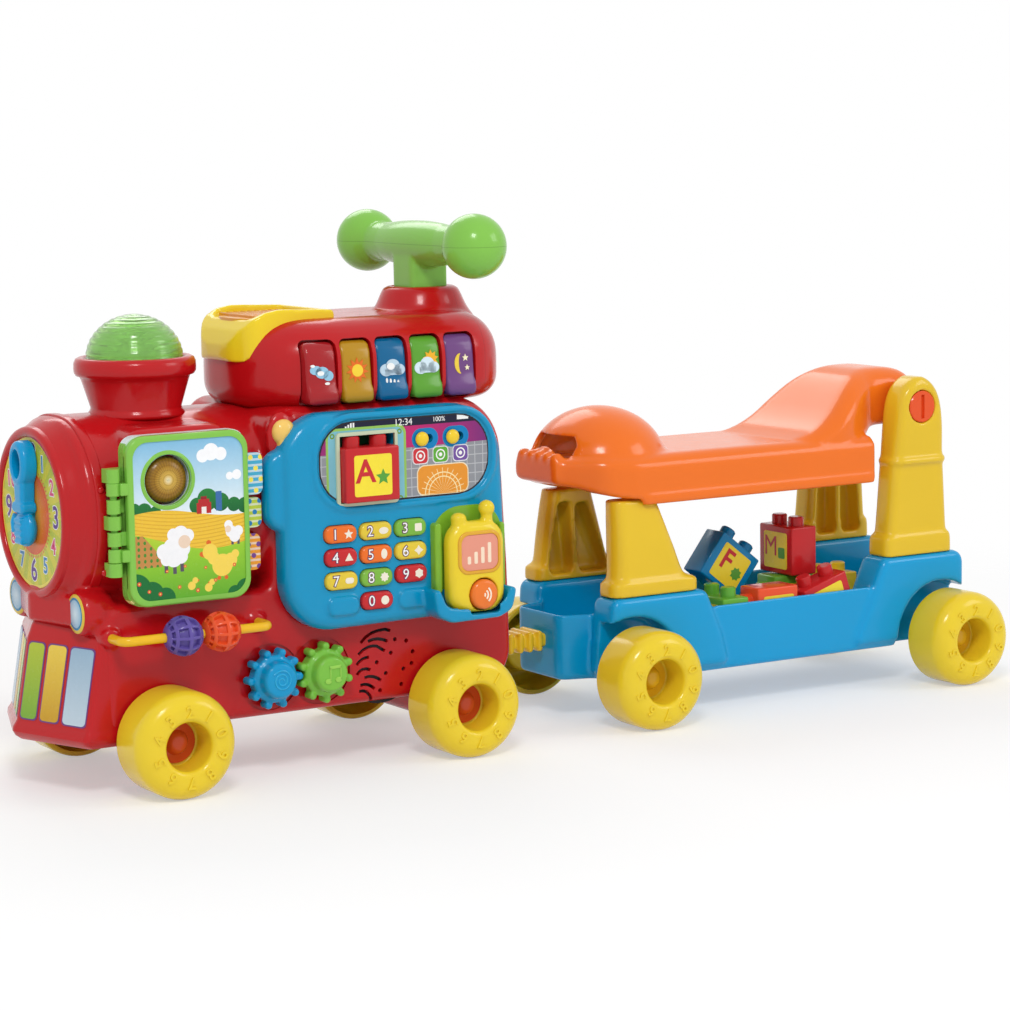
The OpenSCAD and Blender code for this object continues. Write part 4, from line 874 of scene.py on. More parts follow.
def rect(low: Sequence[float], high: Sequence[float]) -> Outline:
    """The corners of a rectangle."""
    return [(low[0], low[1]), (high[0], low[1]), (high[0], high[1]), (low[0], high[1])]


def oval(at: Sequence[float], radii: Sequence[float], steps: int = 24) -> Outline:
    """An oval about a place."""
    turns = [2 * math.pi * k / steps for k in range(steps)]
    return [(at[0] + radii[0] * math.cos(t), at[1] + radii[1] * math.sin(t)) for t in turns]


def star(at: Sequence[float], outer: float, inner: float, tips: int = 5) -> Outline:
    """A star with its first tip upwards."""
    turns = [(math.pi / 2 + math.pi * k / tips, inner if k % 2 else outer) for k in range(2 * tips)]
    return [(at[0] + r * math.cos(t), at[1] + r * math.sin(t)) for t, r in turns]


def clear() -> None:
    """Leaves edit mode and deselects everything."""
    if bpy.context.object and bpy.context.object.mode != "OBJECT":
        bpy.ops.object.mode_set(mode="OBJECT")
    bpy.ops.object.select_all(action="DESELECT")


def pick(piece: Piece) -> None:
    """Selects one piece alone and makes it active."""
    clear()
    piece.select_set(True)
    bpy.context.view_layer.objects.active = piece


@contextmanager
def editing(piece: Piece) -> Iterator[None]:
    """Edit mode on one piece."""
    pick(piece)
    bpy.ops.object.mode_set(mode="EDIT")
    try:
        yield
    finally:
        bpy.ops.object.mode_set(mode="OBJECT")


def mark(piece: Piece, part: Part, test: Callable[[object], bool]) -> int:
    """Selects parts of the piece that is being edited.

    Args:
        piece: The piece.
        part: What is selected.
        test: True for a part that is wanted.

    Returns:
        How many were found.
    """
    bpy.ops.mesh.select_mode(type=part.name)
    bpy.ops.mesh.select_all(action="DESELECT")
    mesh = bmesh.from_edit_mesh(piece.data)
    found = [element for element in getattr(mesh, part.value) if test(element)]
    for element in found:
        element.select_set(True)
    bmesh.update_edit_mesh(piece.data)
    return len(found)


def tidy(piece: Piece) -> Piece:
    """Merges doubled points and turns the faces outwards."""
    with editing(piece):
        bpy.ops.mesh.select_all(action="SELECT")
        bpy.ops.mesh.remove_doubles(threshold=0.000005)
        bpy.ops.mesh.normals_make_consistent(inside=False)
    return piece


def change(piece: Piece, kind: str, **settings: object) -> Piece:
    """Adds a modifier and applies it.

    Args:
        piece: The piece.
        kind: The modifier's type.
        settings: Its settings.

    Returns:
        The piece.
    """
    pick(piece)
    modifier = piece.modifiers.new(kind.title(), kind)
    for key, value in settings.items():
        setattr(modifier, key, value)
    bpy.ops.object.modifier_apply(modifier=modifier.name)
    return piece


def slab(
    outline: Outline, plane: Plane, low: float, high: float, rims: Pair = (0.0, 0.0), steps: int = 3
) -> Piece:
    """An outline carried along its plane's third axis.

    Args:
        outline: The outline.
        plane: The plane it is drawn on.
        low: Where it starts.
        high: Where it ends.
        rims: The radius round its lower and its upper rim.
        steps: Segments in a rim's rounding.

    Returns:
        The piece.
    """
    clear()
    bpy.ops.mesh.primitive_circle_add(vertices=len(outline), radius=1.0, fill_type="NGON")
    piece = bpy.context.object
    with editing(piece):
        mesh = bmesh.from_edit_mesh(piece.data)
        for vert, (u, v) in zip(mesh.verts, outline):
            vert.co = plane.point(u, v, low)
        bmesh.update_edit_mesh(piece.data)
        bpy.ops.mesh.select_all(action="SELECT")
        bpy.ops.mesh.extrude_region_move(TRANSFORM_OT_translate={"value": plane.point(0, 0, high - low)})
        bpy.ops.mesh.select_all(action="SELECT")
        bpy.ops.mesh.normals_make_consistent(inside=False)
    for level, radius in zip((low, high), rims):
        if radius > 0:
            round_rim(piece, plane, level, radius, steps)
    return piece


def round_rim(piece: Piece, plane: Plane, level: float, radius: float, steps: int) -> None:
    """Rounds the rim of a slab at one level.

    Args:
        piece: The slab.
        plane: The plane it was drawn on.
        level: Where the rim is along the third axis.
        radius: The rounding.
        steps: Its segments.
    """
    axis = plane.value[2]

    def on_rim(edge: object) -> bool:
        """True for an edge between the cap and the side."""
        flat = all(abs(vert.co[axis] - level * MM) < SAME_LEVEL for vert in edge.verts)
        return flat and len(edge.link_faces) == 2 and edge.calc_face_angle() > RIM_BEND

    with editing(piece):
        if mark(piece, Part.EDGE, on_rim):
            bpy.ops.mesh.bevel(offset=radius * MM, segments=steps, affect="EDGES", clamp_overlap=True)


def block(low: Sequence[float], high: Sequence[float], rounding: float = 0.0, steps: int = 3) -> Piece:
    """A box with every edge rounded.

    Args:
        low: The lowest corner.
        high: The highest corner.
        rounding: The radius of its edges.
        steps: Segments in the rounding.

    Returns:
        The piece.
    """
    clear()
    small, large = Vector(low) * MM, Vector(high) * MM
    bpy.ops.mesh.primitive_cube_add(size=1.0, location=(small + large) / 2, scale=large - small)
    bpy.ops.object.transform_apply(location=True, rotation=True, scale=True)
    piece = bpy.context.object
    if rounding > 0:
        with editing(piece):
            bpy.ops.mesh.select_all(action="SELECT")
            bpy.ops.mesh.bevel(offset=rounding * MM, segments=steps, affect="EDGES", clamp_overlap=True)
    return piece


def ball(at: Sequence[float], radii: Sequence[float], sides: int = 32) -> Piece:
    """An egg about a place, as the start of a moulding."""
    clear()
    bpy.ops.mesh.primitive_uv_sphere_add(
        segments=sides, ring_count=sides // 2, radius=MM, location=Vector(at) * MM, scale=radii
    )
    bpy.ops.object.transform_apply(location=True, rotation=True, scale=True)
    return bpy.context.object


def rod(
    start: Sequence[float], end: Sequence[float], radius: float, tip: float | None = None, sides: int = 32
) -> Piece:
    """A round bar or cone between two places.

    Args:
        start: Where it starts.
        end: Where it ends.
        radius: Its radius at the start.
        tip: Its radius at the end, the same if left out.
        sides: Sides of its section.

    Returns:
        The piece.
    """
    clear()
    a, b = Vector(start) * MM, Vector(end) * MM
    bpy.ops.mesh.primitive_cone_add(
        vertices=sides, radius1=radius * MM, radius2=(radius if tip is None else tip) * MM,
        depth=(b - a).length, location=(a + b) / 2, rotation=(b - a).to_track_quat("Z", "Y").to_euler(),
    )
    bpy.ops.object.transform_apply(location=True, rotation=True, scale=True)
    return bpy.context.object


def lathe(profile: Outline, axis: Sequence[float], at: Sequence[float], steps: int = 64) -> Piece:
    """A closed outline turned about an axis.

    Args:
        profile: Points of (radius, height along the axis), in order round the outline.
        axis: The axis's direction, along one of the frame's axes.
        at: The place that heights are measured from.
        steps: Segments round the turn.

    Returns:
        The piece.
    """
    clear()
    line, hub = Vector(axis), Vector(at) * MM
    aside = Vector((line[1], line[2], line[0]))
    bpy.ops.mesh.primitive_circle_add(vertices=len(profile), radius=1.0, fill_type="NOTHING")
    piece = bpy.context.object
    with editing(piece):
        mesh = bmesh.from_edit_mesh(piece.data)
        for vert, (radius, height) in zip(mesh.verts, profile):
            vert.co = hub + aside * radius * MM + line * height * MM
        bmesh.update_edit_mesh(piece.data)
        bpy.ops.mesh.select_all(action="SELECT")
        bpy.ops.mesh.spin(steps=steps, angle=2 * math.pi, center=hub, axis=line)
    return tidy(piece)


def tube(points: Sequence[Sequence[float]], radius: float, sides: int = 4) -> Piece:
    """A round bar along a path of points, closed at its ends."""
    clear()
    bpy.ops.curve.primitive_bezier_curve_add()
    piece = bpy.context.object
    piece.data.splines.clear()
    spline = piece.data.splines.new("POLY")
    spline.points.add(len(points) - 1)
    for knot, point in zip(spline.points, points):
        knot.co = (*(Vector(point) * MM), 1.0)
    piece.data.dimensions = "3D"
    piece.data.bevel_depth = radius * MM
    piece.data.bevel_resolution = sides
    piece.data.use_fill_caps = True
    bpy.ops.object.convert(target="MESH")
    return tidy(bpy.context.object)


def words(text: str, height: float, stand: Matrix, depth: float, grow: float = 0.0) -> Piece:
    """Raised numerals or a raised letter.

    Args:
        text: What they say.
        height: The height of a digit.
        stand: Where they stand and how they are turned.
        depth: How far they stand off their ground.
        grow: How far their outline is fattened.

    Returns:
        The piece.
    """
    clear()
    bpy.ops.object.text_add()
    piece = bpy.context.object
    piece.data.body = text
    piece.data.size = height / DIGIT_SHARE * MM
    piece.data.align_x, piece.data.align_y = "CENTER", "CENTER"
    piece.data.extrude = depth / 2 * MM
    piece.data.offset = grow * MM
    bpy.ops.object.convert(target="MESH")
    piece = bpy.context.object
    piece.data.transform(stand @ Matrix.Translation((0, 0, depth / 2 * MM)))
    return tidy(piece)


def flat(outline: Outline, stand: Matrix, depth: float, rim: float = 0.0) -> Piece:
    """A flat label cut to an outline and stood where it goes.

    Args:
        outline: The outline, about the label's own middle.
        stand: Where it stands and how it is turned.
        depth: Its thickness.
        rim: The rounding of its front rim.

    Returns:
        The piece.
    """
    piece = slab(outline, Plane.TOP, 0.0, depth, (0.0, rim), steps=2)
    piece.data.transform(stand)
    return piece


def join(pieces: Sequence[Piece]) -> Piece:
    """Joins pieces into the first of them."""
    pick(pieces[0])
    for piece in pieces[1:]:
        piece.select_set(True)
    if len(pieces) > 1:
        bpy.ops.object.join()
    return pieces[0]


def meets(a: Piece, b: Piece) -> bool:
    """True where the boxes of two pieces overlap."""
    low_a, high_a = (Vector(map(f, zip(*a.bound_box))) for f in (min, max))
    low_b, high_b = (Vector(map(f, zip(*b.bound_box))) for f in (min, max))
    return all(low_a[i] < high_b[i] and low_b[i] < high_a[i] for i in range(3))


def carve(piece: Piece, cutters: Sequence[Piece], solver: str = "EXACT") -> Piece:
    """Cuts pieces out of another and removes them.

    Args:
        piece: What is cut.
        cutters: What is cut out.
        solver: The boolean's way of working.

    Returns:
        The cut piece.
    """
    for cutter in cutters:
        if meets(piece, cutter):
            change(piece, "BOOLEAN", operation="DIFFERENCE", object=cutter, solver=solver)
    for cutter in cutters:
        bpy.data.objects.remove(cutter)
    return piece


def fuse(parts: Sequence[Piece], voxel: float, rounds: int, cutters: Sequence[Piece] = ()) -> Piece:
    """Melts parts into one moulding with soft edges.

    Args:
        parts: What is added together.
        voxel: The size of the skin's cells.
        rounds: Rounds of smoothing.
        cutters: What is first cut out of every part.

    Returns:
        The moulding.
    """
    for part in parts:
        for cutter in cutters:
            if meets(part, cutter):
                change(part, "BOOLEAN", operation="DIFFERENCE", object=cutter, solver="EXACT")
    for cutter in cutters:
        bpy.data.objects.remove(cutter)
    whole = join(parts)
    if not voxel:
        return whole
    change(whole, "REMESH", mode="VOXEL", voxel_size=voxel * MM)
    return change(whole, "SMOOTH", factor=0.5, iterations=rounds)


def copied(piece: Piece, move: Matrix) -> Piece:
    """A copy with a mesh of its own, moved by a matrix."""
    twin = piece.copy()
    twin.data = piece.data.copy()
    bpy.context.scene.collection.objects.link(twin)
    twin.data.transform(move)
    if move.determinant() < 0:
        with editing(twin):
            bpy.ops.mesh.select_all(action="SELECT")
            bpy.ops.mesh.flip_normals()
    return twin


def shifted(x: float = 0.0, y: float = 0.0, z: float = 0.0) -> Matrix:
    """The matrix of a move in millimetres."""
    return Matrix.Translation(Vector((x, y, z)) * MM)


OTHER_SIDE = Matrix.Scale(-1, 4, Y_AXIS)


def dress(node: str, finish: Finish) -> None:
    """Gives a carried-over CAD node its finish."""
    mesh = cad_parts[node].data
    mesh.materials.clear()
    mesh.materials.append(finish.material())
    LOG.info("%s dressed", node)


def settle(
    piece: Piece, name: str, body: str, finish: Finish,
    nodes: Sequence[str] = (), angle: float = 40.0,
) -> Piece:
    """Names, dresses and places a finished piece.

    Args:
        piece: The piece.
        name: Its name.
        body: The CAD body that it rides on.
        finish: Its finish.
        nodes: The CAD nodes that it replaces.
        angle: The edges sharper than this stay sharp, in degrees.

    Returns:
        The piece.
    """
    pick(piece)
    bpy.ops.object.shade_smooth_by_angle(angle=math.radians(angle))
    piece.name = piece.data.name = name
    piece.data.materials.clear()
    piece.data.materials.append(finish.material())
    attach(piece, body)
    if nodes:
        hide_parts(*nodes)
    LOG.info("%s on %s, %d faces", name, body, len(piece.data.polygons))
    return piece


def loft(rings: Sequence[Sequence[Vector]]) -> Piece:
    """A skin through rings of points, closed at both ends.

    Args:
        rings: Rings with the same number of points, each in the same order.

    Returns:
        The piece.
    """
    clear()
    bpy.ops.mesh.primitive_circle_add(vertices=len(rings[0]), radius=1.0, fill_type="NGON")
    piece = bpy.context.object
    with editing(piece):
        mesh = bmesh.from_edit_mesh(piece.data)
        for vert, spot in zip(mesh.verts, rings[0]):
            vert.co = spot
        bmesh.update_edit_mesh(piece.data)
        bpy.ops.mesh.select_all(action="SELECT")
        for last, ring in zip(rings, rings[1:]):
            bpy.ops.mesh.extrude_region_move(TRANSFORM_OT_translate={"value": LIFT})
            mesh = bmesh.from_edit_mesh(piece.data)
            for vert in [v for v in mesh.verts if v.select]:
                spot = vert.co - LIFT
                nearest = min(range(len(last)), key=lambda k: (last[k] - spot).length_squared)
                vert.co = ring[nearest]
            bmesh.update_edit_mesh(piece.data)
        bpy.ops.mesh.select_all(action="SELECT")
        bpy.ops.mesh.normals_make_consistent(inside=False)
    return piece


def eased(rows: Sequence[Sequence[float]], between: int) -> list[tuple[float, ...]]:
    """Rows of numbers with smooth ones added between them, without overshoot.

    Args:
        rows: The rows that are passed through.
        between: Rows from each one up to the next.

    Returns:
        The rows.
    """
    def slope(a: float, b: float, c: float) -> float:
        """The slope at the middle number, level where the numbers turn."""
        return 0.0 if (b - a) * (c - b) <= 0 else (c - a) / 2

    found = []
    for i, (row, onto) in enumerate(zip(rows, rows[1:])):
        before, beyond = rows[max(i - 1, 0)], rows[min(i + 2, len(rows) - 1)]
        for k in range(between):
            t = k / between
            parts = []
            for a, b, c, d in zip(before, row, onto, beyond):
                start, stop = slope(a, b, c), slope(b, c, d)
                rise = 3 * (c - b) - 2 * start - stop
                bend = 2 * (b - c) + start + stop
                parts.append(b + t * (start + t * (rise + t * bend)))
            found.append(tuple(parts))
    return [*found, tuple(rows[-1])]


def ribbon(path: Sequence[Pair], half: float) -> Outline:
    """The outline of a band along a path.

    Args:
        path: The band's middle line.
        half: Half of its width.

    Returns:
        The outline.
    """
    left, right = [], []
    for i, point in enumerate(path):
        here = Vector(point)
        along = Vector(path[min(i + 1, len(path) - 1)]) - Vector(path[max(i - 1, 0)])
        aside = Vector((-along.y, along.x)).normalized() * half
        left.append(tuple(here + aside))
        right.append(tuple(here - aside))
    return left + right[::-1]


@dataclass(frozen=True, kw_only=True)
class Stock:
    """A lump that mouldings are melted from or cut with; both adds its mirror image."""

    both: bool = False

    def shape(self) -> Piece:
        """The lump as a mesh."""
        raise NotImplementedError

    def pieces(self) -> list[Piece]:
        """The lump, with its mirror image where both sides have it."""
        first = self.shape()
        return [first, copied(first, OTHER_SIDE)] if self.both else [first]


@dataclass(frozen=True)
class Form(Stock):
    """An outline with rounded corners, carried along its plane's third axis."""

    plane: Plane
    corners: Sequence[Pair]
    radii: tuple[float, ...]
    reach: Pair
    rims: Pair = (0.0, 0.0)
    steps: int = 8
    rim_steps: int = 4

    def shape(self) -> Piece:
        """The carried outline."""
        outline = rounded(self.corners, self.radii, self.steps)
        return slab(outline, self.plane, *self.reach, self.rims, self.rim_steps)


@dataclass(frozen=True)
class Band(Stock):
    """A band along a path, carried along its plane's third axis."""

    plane: Plane
    path: tuple[Pair, ...]
    half: float
    reach: Pair

    def shape(self) -> Piece:
        """The carried band."""
        return slab(ribbon(self.path, self.half), self.plane, *self.reach)


@dataclass(frozen=True)
class Turned(Stock):
    """A closed profile of radius and height, turned about an axis."""

    profile: Sequence[Pair]
    axis: tuple[int, int, int]
    at: Triple
    steps: int = 64

    def shape(self) -> Piece:
        """The turned profile."""
        return lathe(list(self.profile), self.axis, self.at, self.steps)


@dataclass(frozen=True)
class Egg(Stock):
    """An egg about a place."""

    at: Triple
    radii: Triple
    sides: int = 40

    def shape(self) -> Piece:
        """The egg."""
        return ball(self.at, self.radii, self.sides)


@dataclass(frozen=True)
class Bar(Stock):
    """A round bar or cone between two places."""

    start: Triple
    end: Triple
    radius: float
    tip: float | None = None
    sides: int = 40

    def shape(self) -> Piece:
        """The bar."""
        return rod(self.start, self.end, self.radius, self.tip, self.sides)


@dataclass(frozen=True)
class Brick(Stock):
    """A box with rounded edges."""

    low: Triple
    high: Triple
    rounding: float = 0.0

    def shape(self) -> Piece:
        """The box."""
        return block(self.low, self.high, self.rounding)


@dataclass(frozen=True)
class Pipe(Stock):
    """A round bar along a path of points."""

    points: Sequence[Triple]
    radius: float
    sides: int = 6

    def shape(self) -> Piece:
        """The bar."""
        return tube(self.points, self.radius, self.sides)


@dataclass(frozen=True)
class Swell(Stock):
    """A soft bar through rounded boxes set along its plane's third axis.

    A station holds its place, its box's low corner and high corner, and the rounding of its
    two lower and two upper corners.
    """

    plane: Plane
    stations: tuple[tuple[float, float, float, float, float, float, float], ...]
    between: int = 4
    steps: int = 6

    def shape(self) -> Piece:
        """The bar."""
        rings = []
        for w, u0, v0, u1, v1, low_r, high_r in eased(self.stations, self.between):
            corners = rect((u0, v0), (u1, v1))
            outline = rounded(corners, (low_r, low_r, high_r, high_r), self.steps)
            rings.append([self.plane.point(u, v, w) for u, v in outline])
        return loft(rings)


@dataclass(frozen=True)
class Common(Stock):
    """What two lumps have in common."""

    first: Stock
    second: Stock

    def shape(self) -> Piece:
        """The common part."""
        piece, other = self.first.shape(), self.second.shape()
        change(piece, "BOOLEAN", operation="INTERSECT", object=other, solver="EXACT")
        bpy.data.objects.remove(other)
        return piece


@dataclass(frozen=True)
class Group(Stock):
    """Lumps that don't touch, taken as one."""

    members: tuple[Stock, ...]

    def shape(self) -> Piece:
        """The joined lumps."""
        return join([piece for member in self.members for piece in member.pieces()])


@dataclass(frozen=True)
class Moulding:
    """A piece melted from lumps, with soft hollows and crisp cuts; without a voxel it stays crisp."""

    name: str
    body: str
    finish: Finish
    slot: str
    lumps: tuple[Stock, ...]
    nodes: tuple[str, ...] = ()
    hollows: tuple[Stock, ...] = ()
    crisp: tuple[Stock, ...] = ()
    voxel: float = 0.0
    rounds: int = 5
    angle: float = 50.0

    def build(self) -> Piece:
        """The finished piece."""
        parts = [piece for lump in self.lumps for piece in lump.pieces()]
        cutters = [piece for hollow in self.hollows for piece in hollow.pieces()]
        whole = fuse(parts, self.voxel, self.rounds, cutters)
        for cut in self.crisp:
            carve(whole, cut.pieces(), "MANIFOLD")
        return settle(whole, self.name, self.body, self.finish, self.nodes, self.angle)


@dataclass(frozen=True)
class Decal:
    """Flat patches of one ink that are read from one side of a body."""

    name: str
    body: str
    finish: Finish
    slot: str
    outlines: tuple[Outline, ...]
    at: Triple
    depth: float = 0.2
    rim: float = 0.0
    facing: Facing = Facing.NEAR

    def build(self) -> Piece:
        """The finished patches."""
        stand = self.facing.stand(self.at)
        patches = [flat(outline, stand, self.depth, self.rim) for outline in self.outlines]
        return settle(join(patches), self.name, self.body, self.finish)


@dataclass
class Body:
    """The locomotive's red shell with its band, cab lamp and speaker grille."""

    slots: tuple[tuple[Pair, ...], ...] = (
        ((-176.8, 92.4), (-172.5, 96.4), (-167.2, 99.1), (-161.3, 100.4), (-155.4, 100.7), (-150.7, 99.1)),
        ((-170.5, 92.9), (-166.2, 94.0), (-161.9, 94.0), (-157.4, 93.0), (-153.3, 91.2)),
        ((-179.0, 83.5), (-175.2, 86.6), (-170.5, 88.5), (-166.6, 89.0), (-163.0, 88.5), (-156.0, 84.0)),
        ((-180.6, 75.7), (-178.6, 78.0), (-175.8, 79.7), (-172.9, 80.6), (-169.9, 80.7)),
        ((-180.6, 68.0), (-178.6, 70.4), (-175.8, 71.9), (-172.3, 72.0), (-168.8, 70.8)),
        ((-174.2, 65.2), (-170.2, 65.9), (-166.2, 65.2), (-162.9, 63.8), (-159.7, 61.6)),
        ((-177.9, 59.7), (-174.8, 60.2), (-171.5, 59.7), (-168.4, 58.2), (-165.6, 55.8)),
        ((-179.0, 55.2), (-175.6, 55.3), (-172.6, 54.2), (-169.4, 50.8), (-167.2, 46.5)),
    )
    holes: tuple[Pair, ...] = (
        (-146.9, 92.0), (-150.7, 82.0), (-163.2, 76.0), (-155.5, 66.7), (-140.0, 68.5), (-132.7, 72.0),
        (-131.5, 81.0), (-142.1, 56.7), (-160.8, 54.0), (-137.0, 90.0),
    )
    slot_half: float = 1.25
    hole_r: float = 1.7
    cut: Pair = (-80.0, -67.0)
    bed_r: float = 25.4
    bed_cut: Pair = (-80.0, -71.4)
    lumps: tuple[Stock, ...] = (
        Form(Plane.SIDE, ((-388, 45), (-40, 45), (-42, 141), (-49, 275), (-251, 275), (-251, 141),
                          (-388, 141)),
             (12, 30, 0, 46, 20, 8, 16), (-73, 73), (11, 11)),
        Form(Plane.END, rect((-73, 134), (73, 274)), (66,), (-397, -239), (5, 0), 14),
        Turned(((0, 0), (62.5, 0), (69, 12), (69, 16), (0, 16)), X_AXIS, (-409, 0, 204)),
        Form(Plane.SIDE, rect((-364, 136), (-281, 268)), (13,), (-73, -33), (6, 0)),
        Turned(((0, 0), (14.6, 0), (16.4, 1.8), (17.2, 8), (17.2, 15), (0, 15)), X_AXIS, (-401, -54, 135),
               both=True),
        Egg((-384, -53, 135), (15, 17, 17), both=True),
        Egg((-372, -48, 135), (20, 15, 15), both=True),
        Form(Plane.TOP, ((-415, 0), (-399, -54), (-376, -54), (-376, 54), (-399, 54)), (12, 2, 2, 2, 2),
             (124, 146), (5, 5)),
        Form(Plane.SIDE, rect((-368, 26), (-318, 49)), (13, 13, 0, 0), (-73, 73), (2, 2)),
        Form(Plane.SIDE, rect((-124, 26), (-74, 49)), (13, 13, 0, 0), (-73, 73), (2, 2)),
        Bar((-383, -65, 118), (-383, -76.5, 118), 9, 6.5),
        Bar((-265, -65, 118), (-265, -76.5, 118), 9, 6.5),
        Egg((-240, -73, 252), (13, 4.5, 22)),
    )
    hollows: tuple[Stock, ...] = (
        Brick((-84, -30, 54), (-20, 30, 76.6)),
        Bar((-66, 0, 39), (-66, 0, 57), 9.5),
        Brick((-249, 6, 41), (-179, 58, 52)),
        Bar((-422, 0, 204), (-391, 0, 204), 6.5),
    )
    rivets: tuple[Pair, ...] = ((-74.2, 166), (-72.6, 226))
    rivet: Triple = (2.4, 1.2, 2.4)
    band: Pair = (-390.0, -382.0)
    band_box: tuple[Pair, Pair] = ((-74.3, 132.7), (74.3, 275.3))
    band_r: float = 67.3
    band_rims: Pair = (1.2, 1.2)
    trims: tuple[Moulding, ...] = (
        Moulding(
            "clock_bezel_ring", "locomotive", RED_SHELL, "red",
            (Turned(((56.3, 3), (56.3, -1), (57, -2.2), (58.6, -2.8), (61, -2.8), (62.8, -1.8), (63.6, 0),
                     (64, 4)),
                    X_AXIS, (-409, 0, 204), 96),),
        ),
        Moulding(
            "cab_lamp", "locomotive", Plastic("lamp_cream", ink(244, 200, 104)), "yellow",
            (Egg((-240, -77, 258), (9.4, 6.4, 9.8)),
             Form(Plane.SIDE, rect((-245.6, 232), (-234.4, 257)), (5,), (-82.5, -72), (3, 0))),
            voxel=0.8,
        ),
        Moulding(
            "grille_cloth", "locomotive", Plastic("cloth_black", DARK, 0.7), "dark",
            (Turned(((0, 0), (33, 0), (33, 0.7), (0, 0.7)), Y_AXIS, (-157, -67.6, 76)),),
        ),
    )

    def build(self) -> None:
        """Builds the shell and its trims."""
        slots = tuple(Band(Plane.SIDE, slot, self.slot_half, self.cut) for slot in self.slots)
        holes = tuple(
            Bar((x, self.cut[0], z), (x, self.cut[1], z), self.hole_r, sides=16) for x, z in self.holes
        )
        beds = []
        for node in ("gear_blue", "gear_green"):
            at = Room.of(node).mid
            beds.append(Bar((at.x, self.bed_cut[0], at.z), (at.x, self.bed_cut[1], at.z), self.bed_r,
                            sides=72))
        Moulding(
            "body_shell", "locomotive", RED_SHELL, "red", self.lumps, ("shell_near", "shell_far"),
            self.hollows, (Group(slots + holes), *beds), voxel=2.0, rounds=6, angle=60.0,
        ).build()
        self.build_band()
        for trim in self.trims:
            trim.build()

    def build_band(self) -> None:
        """The riveted band round the boiler's front."""
        front, back = self.band
        mid = (front + back) / 2
        rivets = tuple(Egg((mid, y, z), self.rivet, 16, both=True) for y, z in self.rivets)
        Moulding(
            "boiler_band", "locomotive", RED_SHELL, "red",
            (Form(Plane.END, rect(*self.band_box), (self.band_r,), self.band, self.band_rims, 16), *rivets),
        ).build()


@dataclass
class Nose:
    """The cowcatcher with its striped stickers, and the headlight labels."""

    levels: tuple[Triple, ...] = (
        (37, 6, 68), (40, 2, 71.5), (43.5, 0, 73), (47, 0.6, 73), (49.5, 2.4, 72.4), (51.5, 3.6, 72),
        (88, 10, 71.5),
        (112, 14.4, 71), (117, 16.5, 70), (121, 18, 69), (126, 21, 66),
    )
    tip: float = -431.0
    sweep: float = 26.0
    back: float = -364.0
    radii: tuple[float, ...] = (7.0, 5.0, 2.0, 2.0, 5.0)
    foot: Pair = (3.6, 51.5)
    rise: Pair = (10.8, 60.5)
    half: float = 71.7
    ends: Pair = (0.02, 0.97)
    border: float = 0.014
    lifts: Pair = (0.35, 0.6)
    sunk: float = -0.5
    corner: float = 0.05
    stripes: tuple[tuple[str, float, float, Colour, Colour], ...] = (
        ("green", 0.035, 0.275, ink(186, 200, 62), ink(128, 176, 62)),
        ("yellow", 0.305, 0.58, ink(240, 210, 84), ink(206, 160, 44)),
        ("pale", 0.615, 0.95, ink(150, 182, 206), ink(196, 214, 226)),
    )
    light: Turned = Turned(
        ((0, 0.6), (0, -0.6), (13.6, -0.4), (14.4, 0.2), (14.4, 0.6)), X_AXIS, (-401, -54, 135), 48,
        both=True
    )

    def build(self) -> None:
        """Builds the wedge, its stickers and the headlights."""
        rings = []
        for z, offset, half in self.levels:
            x = self.tip + offset
            side = x + self.sweep
            plan = [(x, 0), (side, -half), (self.back, -half), (self.back, half), (side, half)]
            rings.append([Plane.TOP.point(u, v, z) for u, v in rounded(plan, self.radii)])
        settle(loft(rings), "cowcatcher_wedge", "locomotive", RED_SHELL, ("cowcatcher",), angle=30.0)
        frames: list[Piece] = []
        for name, u0, u1, top, foot in self.stripes:
            fills = []
            for side in (-1, 1):
                frames.append(self.sticker(side, u0, u1, 0.0, self.lifts[0]))
                fills.append(self.sticker(side, u0, u1, self.border, self.lifts[1]))
            finish = FadePrint(f"{name}_stripe", top=top, foot=foot)
            settle(join(fills), f"nose_sticker_{name}", "locomotive", finish)
        violet = Plastic("violet_frame", ink(110, 62, 132))
        settle(join(frames), "nose_sticker_frames", "locomotive", violet)
        finish = RingPrint("headlight_print")
        settle(join(self.light.pieces()), "headlight_labels", "locomotive", finish)

    def spot(self, side: int, u: float, v: float) -> Vector:
        """The place on the slanted face at shares u outwards and v upwards."""
        x = self.tip + self.foot[0] + self.rise[0] * v + self.sweep * u
        return Vector((x, side * self.half * u, self.foot[1] + self.rise[1] * v))

    def sticker(self, side: int, u0: float, u1: float, margin: float, lift: float) -> Piece:
        """One sticker on the slanted face.

        Args:
            side: The side of the train.
            u0: Its inner edge as a share of the face.
            u1: Its outer edge.
            margin: How far it is drawn in.
            lift: How far it stands off the face.

        Returns:
            The piece.
        """
        origin = self.spot(side, 0, 0)
        across, up = self.spot(side, 1, 0) - origin, self.spot(side, 0, 1) - origin
        out = across.cross(up).normalized()
        out = out if out.x < 0 else -out
        tall = margin * across.length / up.length
        corners = rect((u0 + margin, self.ends[0] + tall), (u1 - margin, self.ends[1] - tall))
        piece = slab(rounded(corners, (self.corner,), 4), Plane.TOP, 0, 1)
        with editing(piece):
            mesh = bmesh.from_edit_mesh(piece.data)
            for vert in mesh.verts:
                base = origin + across * (vert.co.x / MM) + up * (vert.co.y / MM)
                vert.co = (base + out * (lift if vert.co.z > 0 else self.sunk)) * MM
            bmesh.update_edit_mesh(piece.data)
        return tidy(piece)


